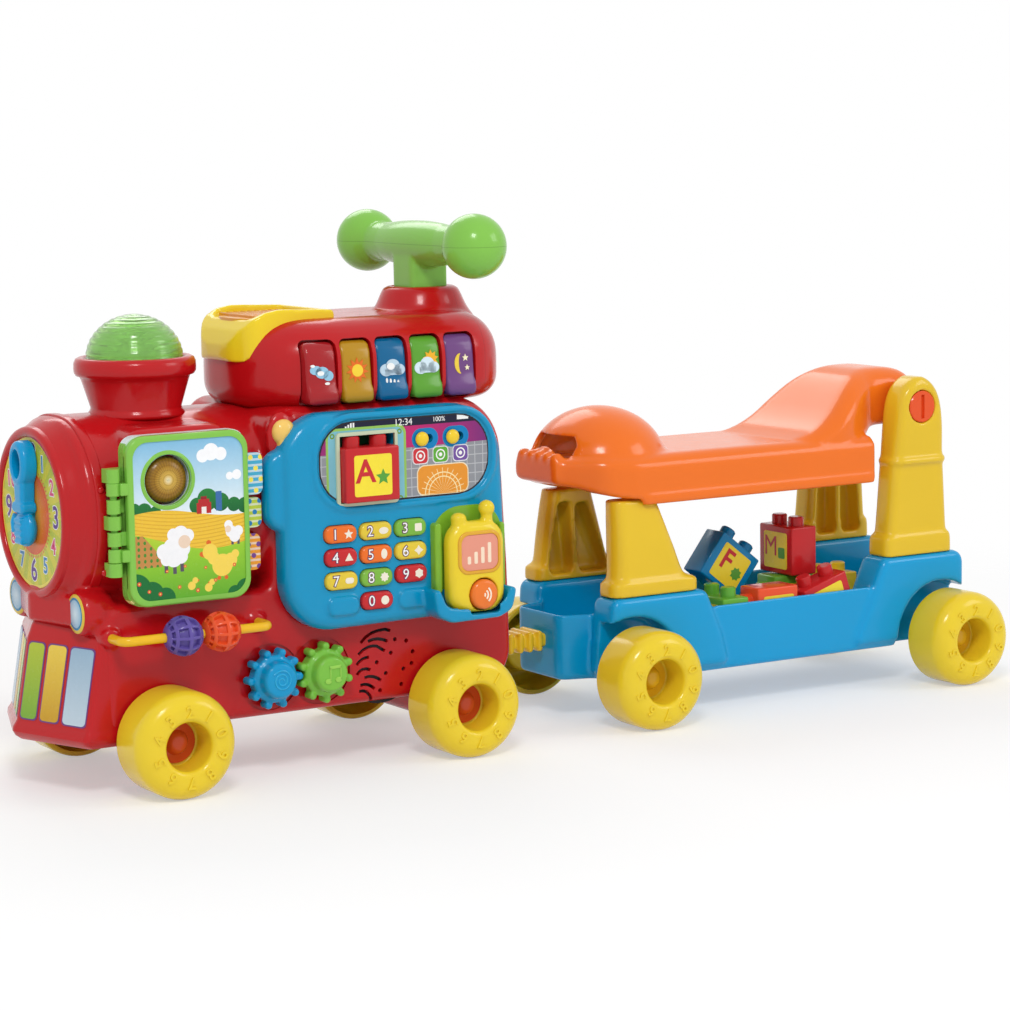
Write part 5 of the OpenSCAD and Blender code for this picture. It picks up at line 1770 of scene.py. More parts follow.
@dataclass
class Clock:
    """The dial with its numerals and the blue hand that turns over it."""

    front: float = -409.0
    centre: float = 204.0
    ring: float = 43.0
    film: float = 0.22
    main: float = 16.0
    small: float = 11.5
    depths: Pair = (0.05, 0.1)
    grows: Pair = (1.0, 0.35)
    inks: tuple[Colour, ...] = (ink(214, 60, 120), ink(30, 124, 180), ink(92, 52, 136))
    disc: Turned = Turned(((0, 0.4), (0, -0.22), (55.6, -0.22), (56, 0.4)), X_AXIS, (-409, 0, 204), 96)
    hand: Moulding = Moulding(
        "clock_hand_moulding", "clock_hand", Plastic("blue_hand", BLUE), "blue",
        (Form(Plane.END, oval((0, 241), (14, 17), 40), (0,), (-421.4, -409.5), (3.6, 1)),
         Form(Plane.END, ((-6.5, 206), (6.5, 206), (8.5, 230), (-8.5, 230)), (3,), (-420.4, -409.5), (3, 1)),
         Form(Plane.END, rect((-10.5, 204.5), (10.5, 213)), (4,), (-421.6, -409.5), (2.6, 1)),
         Egg((-414.6, 0, 193), (7.2, 13.4, 13.6)),
         *(Bar((-419.8, -7.6, z), (-419.8, 4.6, z), 2.5, sides=20) for z in (199, 194, 189, 184)),
         Pipe(((-417, 11, 203), (-419.4, 10.4, 197), (-420, 7.6, 190)), 2.7),
         Bar((-412, 0, 204), (-399, 0, 204), 5.6)),
        ("clock_hand",),
        (Form(Plane.END, oval((0, 241), (8, 10.6), 32), (0,), (-426, -404)),),
        voxel=0.75, rounds=3, angle=60.0,
    )

    def build(self) -> None:
        """Builds the dial, its numerals and the hand."""
        settle(self.disc.shape(), "clock_dial", "locomotive", DialPrint("dial_print"))
        groups: list[list[Piece]] = [[], [], []]
        halos: list[Piece] = []
        for hour in range(1, 13):
            turn = math.radians(90 - 30 * hour)
            y, z = -self.ring * math.cos(turn), self.centre + self.ring * math.sin(turn)
            stand = Facing.NOSE.stand((self.front - self.film, y, z))
            main = hour % 3 == 0
            size = self.main if main else self.small
            halos.append(words(str(hour), size, stand, self.depths[0], self.grows[0]))
            group = groups[2 if main else hour % 2]
            group.append(words(str(hour), size, stand, self.depths[1], self.grows[1]))
        white = Plastic("white_ink", WHITE, 0.4)
        settle(join(halos), "clock_numeral_halos", "locomotive", white)
        for i, group in enumerate(groups):
            finish = Plastic(f"numeral_ink_{i}", self.inks[i], 0.4)
            settle(join(group), f"clock_numerals_{i}", "locomotive", finish)
        self.hand.build()


@dataclass
class Chimney:
    """The flared chimney with its rolled ring, the ribbed dome and a pale cone inside it that paints the
    dome's bright middle.
    """

    x: float = -323.0
    foot: float = 313.0
    dome: Pair = (36.5, 33.0)
    ribs: int = 10
    rib: float = 0.5
    wall: float = 2.5
    steps: int = 100
    stack: Moulding = Moulding(
        "chimney_stack", "locomotive", RED_SHELL, "red",
        (Turned(((0, 246), (31.5, 246), (31.5, 269), (36, 270.6), (36.6, 272.4), (34.4, 275), (33.8, 277),
                 (40.2, 298), (41.4, 300.4), (44, 301.2), (45.3, 303.4), (45.5, 306), (45.3, 310.6),
                 (44, 313.4),
                 (41.6, 314.6), (39, 314.6), (37.3, 313.8), (36.8, 312), (36.8, 306), (0, 306)),
                Z_AXIS, (-323, 0, 0), 96),),
        ("chimney",), angle=60.0,
    )
    # A pale cone seen through the clear dome: a painted highlight that makes the dome's middle bright.
    reflector: Moulding = Moulding(
        "dome_reflector", "locomotive", Plastic("reflector_white", ink(236, 244, 226), 0.3), "dome",
        (Turned(((0, 306.4), (33, 306.4), (33, 313.6), (24, 316), (10, 326), (5, 334), (0, 335)),
                Z_AXIS, (-323, 0, 0)),),
    )

    def build(self) -> None:
        """Builds the chimney and the dome."""
        self.stack.build()
        self.reflector.build()
        lens = Lens("green_dome", ink(190, 238, 149), rough=0.08, clear=0.85, prism=60)
        nodes = ("chimney_dome",)
        settle(self.lens(), "chimney_dome_lens", "locomotive", lens, nodes, angle=60.0)

    def lens(self) -> Piece:
        """The dome's shell, ribbed in level rings."""
        r, h = (size - self.rib for size in self.dome)
        outer, inner = [], []
        for k in range(self.steps + 1):
            t = math.pi / 2 * k / self.steps
            swell = self.rib * abs(math.cos(math.pi * self.ribs * k / self.steps))
            outer.append(((r + swell) * math.cos(t), self.foot + (h + swell) * math.sin(t)))
            inner.append(((r - self.wall) * math.cos(t), self.foot + (h - self.wall) * math.sin(t)))
        outer[-1] = (0.0, outer[-1][1])
        inner[-1] = (0.0, inner[-1][1])
        return lathe(outer + inner[::-4], Z_AXIS, (self.x, 0, 0), steps=72)


@dataclass
class Roof:
    """The cushion-shaped roof with the handle's socket, the yellow hopper and the piano keys."""

    lumps: tuple[Stock, ...] = (
        Form(Plane.TOP, rect((-255, -77), (-34, 77)), (70, 46, 46, 70), (271, 338), (18, 33), 14, 8),
        Turned(((0, 322), (46, 322), (41, 333), (37, 338), (34.5, 343), (31.5, 350), (29.5, 354), (26, 356),
                (0, 356)), Z_AXIS, (-76, 0, 0)),
    )
    hollows: tuple[Stock, ...] = (Brick((-93.5, -17, 317), (-58.5, 17, 380)),)
    clearance: float = 0.6
    pocket: Pair = (-96.0, -59.0)
    pocket_rise: float = 2.0
    inset: float = 1.6
    key_section: tuple[Pair, ...] = (
        (0.0, 0.0), (0.84, 0.0), (0.96, 0.03), (1.0, 0.12), (0.95, 0.22), (0.82, 0.29), (0.77, 0.4),
        (0.73, 0.62),
        (0.66, 0.82), (0.5, 0.94), (0.3, 1.0), (0.0, 1.0),
    )
    key_rim: float = 3.2
    key_corner: float = 5.5
    keys: tuple[tuple[str, Colour, str], ...] = (
        ("red", ink(166, 28, 34), "red"), ("mustard", ink(184, 138, 24), "yellow"),
        ("teal", ink(0, 98, 146), "teal"),
        ("green", ink(92, 160, 48), "green"), ("violet", ink(112, 70, 128), "purple"),
    )
    hopper: Moulding = Moulding(
        "hopper_moulding", "locomotive", Plastic("yellow_hopper", ink(242, 212, 36)), "yellow",
        (Common(
            Form(Plane.SIDE, ((-251, 307), (-239, 315), (-225, 326), (-176, 331), (-176, 344), (-222, 346),
                              (-234, 344),
                              (-244, 339), (-252, 331), (-257.6, 320), (-258.4, 308)),
                 (4, 10, 10, 1, 2, 8, 10, 10, 10, 4), (-42, 42)),
            Form(Plane.TOP, ((-246, -42), (-174, -42), (-174, 42), (-246, 42), (-256.5, 24), (-259, 0),
                             (-256.5, -24)),
                 (16, 3, 3, 16, 24, 40, 24), (290, 360), (0, 0), 10)),),
        ("chute",),
        (Form(Plane.TOP, ((-240, -36.5), (-181, -36.5), (-181, 36.5), (-240, 36.5), (-248, 20), (-248, -20)),
              (16, 5, 5, 16, 20, 20), (338.5, 360), (0, 0), 10),),
        voxel=1.1, rounds=9, angle=60.0,
    )
    floor: Moulding = Moulding(
        "hopper_floor", "locomotive", Plastic("amber_floor", ink(226, 150, 40)), "amber",
        (Form(Plane.TOP, rect((-246, -36), (-181, 36)), (30, 2, 2, 30), (334, 339.4), (0, 0.6), 16),
         *(Brick((x, -33, 338), (x + 2.6, 33, 341.4), 0.8) for x in range(-236, -184, 6))),
    )
    sign_scale: float = 1.3
    sign_lean: float = -3.5
    sign_sink: float = 1.2
    sign_face: Pair = (0.752, 0.52)
    sign_rise: float = 0.26

    def build(self) -> None:
        """Builds the roof, the hopper and the five keys."""
        rooms = [Room.of(f"piano_key_{i}") for i in range(1, 6)]
        gap = self.inset - self.clearance
        pockets = []
        for room in rooms:
            low = (room.low.x + gap, room.low.z - self.pocket_rise)
            high = (room.high.x - gap, room.high.z + self.pocket_rise)
            pockets.append(Form(Plane.SIDE, rect(low, high), (self.key_corner,), self.pocket))
        Moulding(
            "roof_moulding", "locomotive", Plastic("red_roof", RED, seams=(("x", -62.0),)), "red",
            self.lumps, ("roof",), self.hollows, (Group(tuple(pockets)),), voxel=2.0, rounds=6, angle=60.0,
        ).build()
        self.hopper.build()
        self.floor.build()
        self.build_keys(rooms)

    def build_keys(self, rooms: list[Room]) -> None:
        """One key, modelled once and copied, with its weather sign.

        Args:
            rooms: The CAD keys' boxes.
        """
        first = rooms[0]
        section = [
            (first.high.y - first.size.y * s, first.low.z + first.size.z * t) for s, t in self.key_section
        ]
        ends = first.low.x + self.inset, first.high.x - self.inset
        front = rect((ends[0], first.low.z), (ends[1], first.high.z))
        bar = Form(Plane.END, section, (0,), ends, (self.key_rim, self.key_rim))
        key = Common(bar, Form(Plane.SIDE, front, (self.key_corner,), self.pocket)).shape()
        for i, ((name, colour, slot), room) in enumerate(zip(self.keys, rooms), 1):
            twin = copied(key, shifted(x=room.mid.x - first.mid.x))
            node = f"piano_key_{i}"
            finish = Plastic(f"{name}_key", colour)
            settle(twin, f"piano_key_cap_{i}", node, finish, (node,), angle=45.0)
            self.sign(i, room)
        bpy.data.objects.remove(key)

    def sign(self, i: int, room: Room) -> None:
        """The weather sign on one key.

        Args:
            i: The key's number.
            room: The CAD key's box.
        """
        y = room.high.y - room.size.y * self.sign_face[0]
        z = room.low.z + room.size.z * self.sign_face[1]
        lean = Matrix.Rotation(math.radians(self.sign_lean), 4, "X") @ shifted(z=-self.sign_sink)
        stand = Facing.NEAR.stand((room.mid.x, y, z)) @ lean
        for k, (colour, outlines, lift) in enumerate(self.pictures()[i - 1]):
            patches = []
            for outline in outlines:
                larger = [(u * self.sign_scale, v * self.sign_scale) for u, v in outline]
                patches.append(flat(larger, stand, self.sign_sink + self.sign_rise + lift))
            finish = Plastic(f"sign_{i}_{k}", colour, 0.35)
            settle(join(patches), f"piano_sign_{i}_{k}", f"piano_key_{i}", finish)

    @staticmethod
    def pictures() -> list[list[tuple[Colour, list[Outline], float]]]:
        """The layers of each sign: wind, sun, rain, sun behind a cloud, and a night sky."""
        cloud = [oval((-4, -1), (4.2, 3.6)), oval((0.5, 1), (4.6, 4.2)), oval((4.6, -1), (3.8, 3.2)),
                 rect((-5, -4), (6, -0.5))]
        drops = [oval((x, -7 - (x % 2)), (0.7, 1.5), 10) for x in (-4, -1.5, 1, 3.5)]
        there = [math.pi * (0.5 + k / 16) for k in range(17)]
        back = [math.pi * (1.5 - k / 16) for k in range(17)]
        bow = [(4 * math.cos(t), 6 * math.sin(t)) for t in there]
        hollow = [(1.2 * math.cos(t), 5.4 * math.sin(t)) for t in back]
        puffs = [oval((-4, 1.5), (3.8, 2.6)), oval((0, 0), (4.4, 3.4)), oval((4, -2), (3.2, 3.0))]
        wisps = [oval((-1, -0.4), (2.2, 1.4)), oval((-6, 4), (1.4, 0.8)), oval((3, -6.4), (1.6, 0.8))]
        stars = [star((3.4, 3.2), 2.2, 1.0), star((4.4, -2.6), 1.8, 0.8)]
        return [
            [(SKY, puffs, 0.1), (WHITE, wisps, 0.3)],
            [(ink(232, 110, 30), [star((0, 0), 7.4, 4.4, 11)], 0.1),
             (ink(250, 214, 60), [oval((0, 0), (3.6, 3.6))], 0.3)],
            [(ink(190, 214, 230), cloud, 0.1), (WHITE, [oval((-1, 1), (2.6, 2.0)), *drops], 0.3)],
            [(ink(244, 180, 40), [star((3, 4), 5.2, 3.2, 9)], 0.05), (ink(216, 236, 246), cloud, 0.25)],
            [(ink(240, 206, 70), [bow + hollow], 0.15), (ink(250, 240, 200), stars, 0.2)],
        ]


@dataclass
class Handle:
    """The green T handle: a square post, a round bar with a belly and a ball at each end."""

    moulding: Moulding = Moulding(
        "handle_moulding", "locomotive", Plastic("green_handle", GREEN, seams=(("z", 389.0),)), "green",
        (Brick((-92.5, -16, 318), (-59.5, 16, 389), 3.5),
         Bar((-76, -83, 389), (-76, 83, 389), 15.4),
         Egg((-76, 0, 388.6), (18.4, 84, 18.2)),
         Egg((-76, -83, 389), (25, 25, 25), 48, both=True)),
        ("handle",), voxel=1.5, rounds=7, angle=60.0,
    )

    def build(self) -> None:
        """Builds the handle as one moulding."""
        self.moulding.build()


@dataclass
class Book:
    """The picture book: a thick cover with a lens hole, two pages and a green hinge."""

    low: Pair = (-372.0, 140.0)
    high: Pair = (-275.0, 264.0)
    front: float = -87.9
    hinge_deep: float = 4.6
    hole: Pair = (-5.0, 9.0)
    beyond: Pair = (3.0, 5.0)
    rims: Pair = (1.8, 0.6)
    ring: Quad = (0.5, 0.8, 1.0, 3.6)
    tongue: Triple = (4.0, 3.0, 0.8)
    rim: float = 4.4
    corner: float = 14.0
    recess: float = 0.9
    film: Pair = (-0.15, 0.6)
    at: Pair = (-340.0, 231.1)
    lens_r: float = 17.0
    collar: Pair = (1.5, 3.4)
    pin: Pair = (-380.5, -80.85)
    barrel: Sequence[Pair] = ((2.7, 0.2), (4.4, 0.2), (5, 0.9), (5, 9.3), (4.4, 10), (2.7, 10))
    arms: Pair = (173.5, 221.8)
    arm: Triple = (3.2, 0.6, 9.4)
    lens: Sequence[Pair] = ((0, 0), (17, 0), (17, 9), (15.8, 11.4), (12, 13.6), (7, 14.7), (0, 14.9))
    leaves: tuple[tuple[str, str, Colour, Colour], ...] = (
        ("book_page_star", "star_page", ink(70, 170, 206), ink(246, 226, 90)),
        ("book_page_dot", "dot_page", ink(190, 206, 66), ink(40, 130, 190)),
        ("book_base", "base_page", ink(246, 160, 50), ink(120, 70, 150)),
    )

    def build(self) -> None:
        """Builds the cover, its picture and the lens, and prints the pages."""
        front, back = self.front, Room.of("book_cover").high.y - self.hinge_deep
        x, z = self.at
        self.build_cover(front, back)
        picture = slab(self.frame(), Plane.SIDE, *(front + self.recess + part for part in self.film))
        ends = [(x, front + part, z) for part in self.hole]
        carve(picture, [rod(*ends, self.lens_r + self.collar[0], sides=64)])
        finish = BookPrint("book_print", low=self.low, high=self.high)
        settle(picture, "book_picture", "book_cover", finish)
        dome = lathe(list(self.lens), NEAR_AXIS, (x, Room.of("book_lens").high.y, z), steps=64)
        # The amber lens has a painted highlight in its middle.
        amber = LensPrint("amber_lens")
        settle(dome, "book_lens_dome", "locomotive", amber, ("book_lens",), angle=45.0)
        for node, name, base, mark in self.leaves:
            (left, foot), right = self.low, self.high[0]
            dress(node, LeafPrint(name, left=left, right=right, foot=foot, base=base, mark=mark))

    def frame(self) -> Outline:
        """The outline of the picture inside the cover's rim."""
        low = (self.low[0] + self.rim, self.low[1] + self.rim)
        high = (self.high[0] - self.rim, self.high[1] - self.rim)
        return rounded(rect(low, high), (self.corner - self.rim / 2,))

    def build_cover(self, front: float, back: float) -> None:
        """The cover with its rim, collar and hinge arms.

        Args:
            front: Its outer face.
            back: Its inner face.
        """
        x, z = self.at
        board = rounded(rect(self.low, self.high), (self.corner,))
        body = slab(board, Plane.SIDE, front, back, self.rims, steps=4)
        carve(body, [slab(self.frame(), Plane.SIDE, front - self.beyond[0], front + self.recess)])
        r = self.lens_r + self.collar[0]
        edge = r + self.collar[1]
        slope, rise, brow, deep = self.ring
        ring = [(r, 0), (r + slope, -rise), (edge - brow, -rise), (edge, 0), (edge, deep), (r, deep)]
        far = self.beyond[1]
        carve(body, [rod((x, front - far, z), (x, back + far, z), r + self.arm[1], sides=64)])
        parts = [body, lathe(ring, Y_AXIS, (x, front + self.recess, z), steps=64)]
        px, py = self.pin
        reach, inset, tall = self.arm
        lap, behind, soft = self.tongue
        for z0 in self.arms:
            parts.append(lathe(list(self.barrel), Z_AXIS, (px, py, z0), steps=32))
            end = (self.low[0] + lap, py + behind, z0 + tall)
            parts.append(block((px + reach, front + inset, z0 + inset), end, soft))
        green = Plastic("green_cover", GREEN)
        settle(join(parts), "book_cover_board", "book_cover", green, ("book_cover",))


@dataclass
class BeadRun:
    """The bent yellow rod and the two latticed beads that slide on it."""

    rod_r: float = 3.5
    play: float = 0.4
    segments: int = 80
    rings: int = 32
    ribs: int = 10
    rib_turn: float = 9.0
    rows: float = 40.0
    row_turn: float = 9.0
    cap: float = 0.85
    depth: float = 3.0
    soften: float = 0.25
    crease: float = 50.0
    beyond: float = 2.0
    path: Sequence[Pair] = ((-383, -67), (-383, -96), (-265, -96), (-265, -67))
    bends: tuple[float, ...] = (0, 7, 7, 0)
    height: float = 118.0
    beads: tuple[tuple[str, Colour, str], ...] = (
        ("bead_purple", ink(96, 80, 158), "purple"), ("bead_orange", ink(232, 84, 40), "orange"),
    )

    def build(self) -> None:
        """Builds the rod and the beads."""
        path = [(u, v, self.height) for u, v in rounded(self.path, self.bends, steps=10)]
        yellow = Plastic("yellow_rod", ink(238, 186, 30))
        settle(tube(path, self.rod_r, sides=6), "bead_rod_bar", "locomotive", yellow,
               ("bead_rod",), angle=50.0)
        for node, colour, slot in self.beads:
            self.bead(node, colour)

    def bead(self, node: str, colour: Colour) -> None:
        """One bead with sunk panels between its ribs.

        Args:
            node: The CAD node, which is its body too.
            colour: Its colour.
        """
        room = Room.of(node)
        at, r = room.mid, room.size.z / 2
        clear()
        bpy.ops.mesh.primitive_uv_sphere_add(
            segments=self.segments, ring_count=self.rings, radius=r * MM, location=at * MM,
            rotation=(0, math.pi / 2, 0),
        )
        bpy.ops.object.transform_apply(location=True, rotation=True, scale=True)
        piece = bpy.context.object

        def in_panel(face: object) -> bool:
            """True for a face between the ribs."""
            p = face.calc_center_median() / MM - at
            turn = (math.degrees(math.atan2(p.z, p.y)) + self.rib_turn / 2) % (360 / self.ribs)
            rise = math.degrees(math.asin(max(-1, min(1, p.x / p.length))))
            along = (rise + self.row_turn / 2) % self.rows
            return turn > self.rib_turn and along > self.row_turn and abs(p.x) < r * self.cap

        with editing(piece):
            mark(piece, Part.FACE, in_panel)
            bpy.ops.mesh.extrude_region_shrink_fatten(TRANSFORM_OT_shrink_fatten={"value": -self.depth * MM})
        change(piece, "BEVEL", width=self.soften * MM, segments=2, limit_method="ANGLE",
               angle_limit=math.radians(self.crease))
        half = r + self.beyond
        carve(piece, [rod((at.x - half, at.y, at.z), (at.x + half, at.y, at.z), self.rod_r + self.play)])
        settle(piece, f"{node}_lattice", node, Plastic(f"{node}_plastic", colour), (node,), angle=45.0)


@dataclass
class Panel:
    """The blue activity panel: screen, reader pocket, keypad and switches."""

    face: float = -92.0
    board: tuple[Stock, ...] = (
        Form(Plane.SIDE, ((-246, 107), (-62, 109), (-56, 177), (-59, 271), (-229, 271), (-248, 246),
                          (-248, 150)),
             (40, 34, 60, 44, 38, 24, 30), (-92, -73), (9, 0)),
        Form(Plane.SIDE, rect((-259, 184), (-228, 246)), (15,), (-87, -73), (7, 0)),
        Form(Plane.SIDE, rect((-225, 195.5), (-65, 270)), (33,), (-94.2, -88), (2.2, 0)),
        Form(Plane.SIDE, ((-134, 133), (-131, 113), (-118, 106.5), (-76, 107), (-64, 112), (-60, 129),
                          (-66, 130),
                          (-72, 119), (-98, 115.5), (-122, 119), (-128, 133)),
             (2.5, 10, 10, 10, 10, 2.5, 2.5, 8, 30, 8, 2.5), (-112.6, -88), (4.5, 0)),
    )
    screen: tuple[Pair, Pair, float] = ((-220.5, 200.0), (-69.5, 265.5), 29.5)
    sink: float = 1.4
    figures: tuple[tuple[str, float, float, float], ...] = (
        ("12:34", -146.0, 260.0, 5.0), ("100%", -115.0, 260.4, 3.6),
    )
    pads: tuple[Pair, ...] = ((-201.6, 125.8), (-141.1, 125.9))
    pad: Triple = (13.2, 7.0, 6.0)
    pad_rise: Pair = (3.2, 4.0)
    key_inks: tuple[tuple[Colour, str], ...] = (
        (ink(198, 36, 40), "red"), (ink(236, 112, 34), "orange"), (ink(226, 198, 58), "yellow"),
        (ink(124, 182, 64), "green"), (ink(198, 36, 40), "red"), (ink(236, 112, 34), "orange"),
        (ink(226, 198, 58), "yellow"), (ink(226, 198, 58), "yellow"), (ink(124, 182, 64), "green"),
        (ink(198, 36, 40), "red"),
    )
    key_half: Triple = (13.5, 6.5, 5.8)
    key_rim: float = 2.2
    digit: float = 7.8
    digit_at: float = -5.6
    sign_at: float = 5.8
    layers: Triple = (0.12, 0.26, 0.2)
    halo: float = 0.66
    knob: Sequence[Pair] = (
        (0, 0), (0, 4), (2.7, 3.8), (4.6, 2.9), (5.4, 1.8), (5.6, 0.8), (5.3, 0.2), (2.4, 0), (2.4, -4.6),
        (0, -4.6),
    )
    slot_half: float = 3.3
    travel: float = 7.0
    switches: tuple[str, str] = ("volume_switch", "mode_switch")
    bracket: Triple = (3.4, 3.5, 2.6)
    play: float = 0.6
    phone_play: float = 0.8
    button_play: float = 1.4
    knob_sink: float = 0.2
    slot_flat: float = 0.1
    pad_rims: Pair = (1.6, 0)
    air: Pair = (20, 40)
    behind: float = 1.0
    skin: float = 0.1
    key_reach: Pair = (-4, 13)
    key_gap: Pair = (0.2, 6.2)
    rim_grow: Pair = (1, -3)
    rim_reach: Pair = (-0.35, 0.5)
    plate_rise: float = 0.55
    figure: Pair = (0.5, 0.12)
    cuts: Pair = (6, 9)
    seat: float = 0.4
    bracket_rims: Pair = (0.9, 0.0)
    key_signs: tuple[Outline, ...] = (
        oval((0, 0), (3.4, 3.4)), star((0, -0.2), 4.0, 1.8), oval((0, 0), (4.0, 2.6)),
        rounded(rect((-3, -3), (3, 3)), (1,), 4), star((0, -0.6), 4.0, 2.0, 3), oval((0, 0), (2.6, 3.8)),
        star((0, 0), 3.9, 2.2, 4), rounded(rect((-3.6, -2.2), (3.6, 2.2)), (2,), 4),
        star((0, 0), 3.8, 2.8, 8),
        star((0, 0), 3.8, 3.0, 6),
    )

    def build(self) -> None:
        """Builds the panel and all that sits on it."""
        self.build_board()
        self.build_screen()
        self.build_keys()
        for name in self.switches:
            at = Room.of(name).mid
            knob = lathe(list(self.knob), NEAR_AXIS, (at.x, self.face + self.knob_sink, at.z), steps=40)
            settle(knob, f"{name}_knob", name, Plastic("yellow_knob", ink(242, 206, 44)), (name,))

    def slot(self, name: str, reach: Pair) -> Form:
        """The slot that a switch slides in."""
        at, h = Room.of(name).mid, self.slot_half
        outline = rect((at.x - h, at.z - h), (at.x + self.travel + h, at.z + h))
        return Form(Plane.SIDE, outline, (h - self.slot_flat,), reach)

    def build_board(self) -> None:
        """The board with its pockets, the phone's cup and blank pads."""
        phone, button, card = Room.of("phone"), Room.of("phone_button"), Room.of("slot_block")
        wide, tall, r = self.pad
        pads = tuple(
            Form(Plane.SIDE, rect((x - wide, z - tall), (x + wide, z + tall)), (r,),
                 (self.face - self.pad_rise[0], self.face + self.pad_rise[1]), self.pad_rims)
            for x, z in self.pads
        )
        low, high, corner = self.screen
        p, b, q = self.phone_play, self.button_play, self.play
        front, far = (self.face - air for air in self.air)
        skin = self.face - self.skin
        hollows = (
            Form(Plane.SIDE, rect(low, high), (corner,), (front, self.face + self.sink)),
            Brick((card.low.x - q, front, card.low.z - q),
                  (card.high.x + q, card.high.y + self.behind, card.high.z + q)),
            Brick((phone.low.x - p, phone.low.y - p, phone.low.z - p),
                  (phone.high.x + p, skin, phone.high.z)),
            Brick((button.low.x - b, far, phone.low.z - p), (button.high.x + b, skin, phone.high.z)),
        )
        reach = (self.face + self.key_reach[0], self.face + self.key_reach[1])
        gap, key_r = self.key_gap
        rooms = [Room.of(f"key_{n}") for n in range(10)]
        holes = tuple(Form(Plane.SIDE, room.side(-gap), (key_r,), reach) for room in rooms)
        slots = tuple(self.slot(name, reach) for name in self.switches)
        Moulding(
            "panel_moulding", "locomotive", Plastic("blue_panel", PANEL_BLUE), "blue", self.board + pads,
            ("panel",), hollows, (Group(holes + slots),), voxel=1.35, rounds=4, angle=60.0,
        ).build()

    def pane(self, by: float) -> Outline:
        """The screen's outline, grown by a length."""
        low, high, corner = self.screen
        return rounded(rect((low[0] - by, low[1] - by), (high[0] + by, high[1] + by)), (corner + by,))

    def build_screen(self) -> None:
        """The printed screen with its dark rim and the reader's bracket."""
        y = self.face + self.sink
        card = Room.of("slot_block")
        pocket = card.side(self.play)
        outer, inner = (self.pane(by) for by in self.rim_grow)
        rim = slab(outer, Plane.SIDE, y + self.rim_reach[0], y + self.rim_reach[1])
        plate = slab(inner, Plane.SIDE, y - self.plate_rise, y)
        short, long = self.cuts
        through = (y - short, y + short)
        for piece in (rim, plate):
            slots = [self.slot(name, through).shape() for name in self.switches]
            carve(piece, [slab(pocket, Plane.SIDE, *through), *slots])
        settle(rim, "screen_rim", "locomotive", Plastic("screen_black", DARK, 0.25))
        knobs = [Room.of(name).mid for name in self.switches]
        picture = ScreenPrint("screen_print", 0.18, knobs=tuple(k.x for k in knobs), knob_z=knobs[0].z)
        settle(plate, "screen_picture", "locomotive", picture)
        off, thick = self.figure
        figures = [
            words(text, size, Facing.NEAR.stand((x, y - off, z)), thick) for text, x, z, size in self.figures
        ]
        settle(join(figures), "screen_figures", "locomotive", Plastic("figure_white", WHITE, 0.4))
        wide, r, rise = self.bracket
        corners = rounded(card.side(wide), (r,))
        bracket = slab(corners, Plane.SIDE, y - rise, y + self.seat, self.bracket_rims, steps=2)
        carve(bracket, [slab(pocket, Plane.SIDE, y - long, y + long)])
        settle(bracket, "reader_bracket", "locomotive", Plastic("bracket_pale", ink(196, 206, 176)))

    def build_keys(self) -> None:
        """Ten number keys, each with its numeral and a plain shape."""
        first = Room.of("key_1")
        w, h, r = self.key_half
        outline = rounded(rect((-w, -h), (w, h)), (r,), steps=6)
        body = slab(outline, Plane.SIDE, first.low.y, first.high.y, (self.key_rim, 0), steps=4)
        for n, (colour, slot) in enumerate(self.key_inks):
            node = f"key_{n}"
            room = Room.of(node)
            key = copied(body, shifted(room.mid.x, 0, room.mid.z))
            settle(key, f"{node}_cap", node, Plastic(f"{node}_plastic", colour), (node,), angle=45.0)
            self.key_label(n, room)
        bpy.data.objects.remove(body)

    def key_label(self, n: int, room: Room) -> None:
        """The numeral and shape on one key.

        Args:
            n: The key's number.
            room: The CAD key's box.
        """
        y, at, node = room.low.y, room.mid, f"key_{n}"
        place = Facing.NEAR.stand((at.x + self.digit_at, y, at.z))
        halo = words(str(n), self.digit, place, self.layers[0], self.halo)
        settle(halo, f"{node}_halo", node, Plastic("numeral_violet", ink(96, 40, 84), 0.4))
        numeral = words(str(n), self.digit, place, self.layers[1])
        settle(numeral, f"{node}_numeral", node, Plastic("numeral_white", WHITE, 0.4))
        cream = Plastic("sign_cream", ink(240, 232, 214), 0.4)
        spot = (at.x + self.sign_at, y, at.z)
        Decal(f"{node}_sign", node, cream, "yellow", (self.key_signs[n],), spot, self.layers[2]).build()


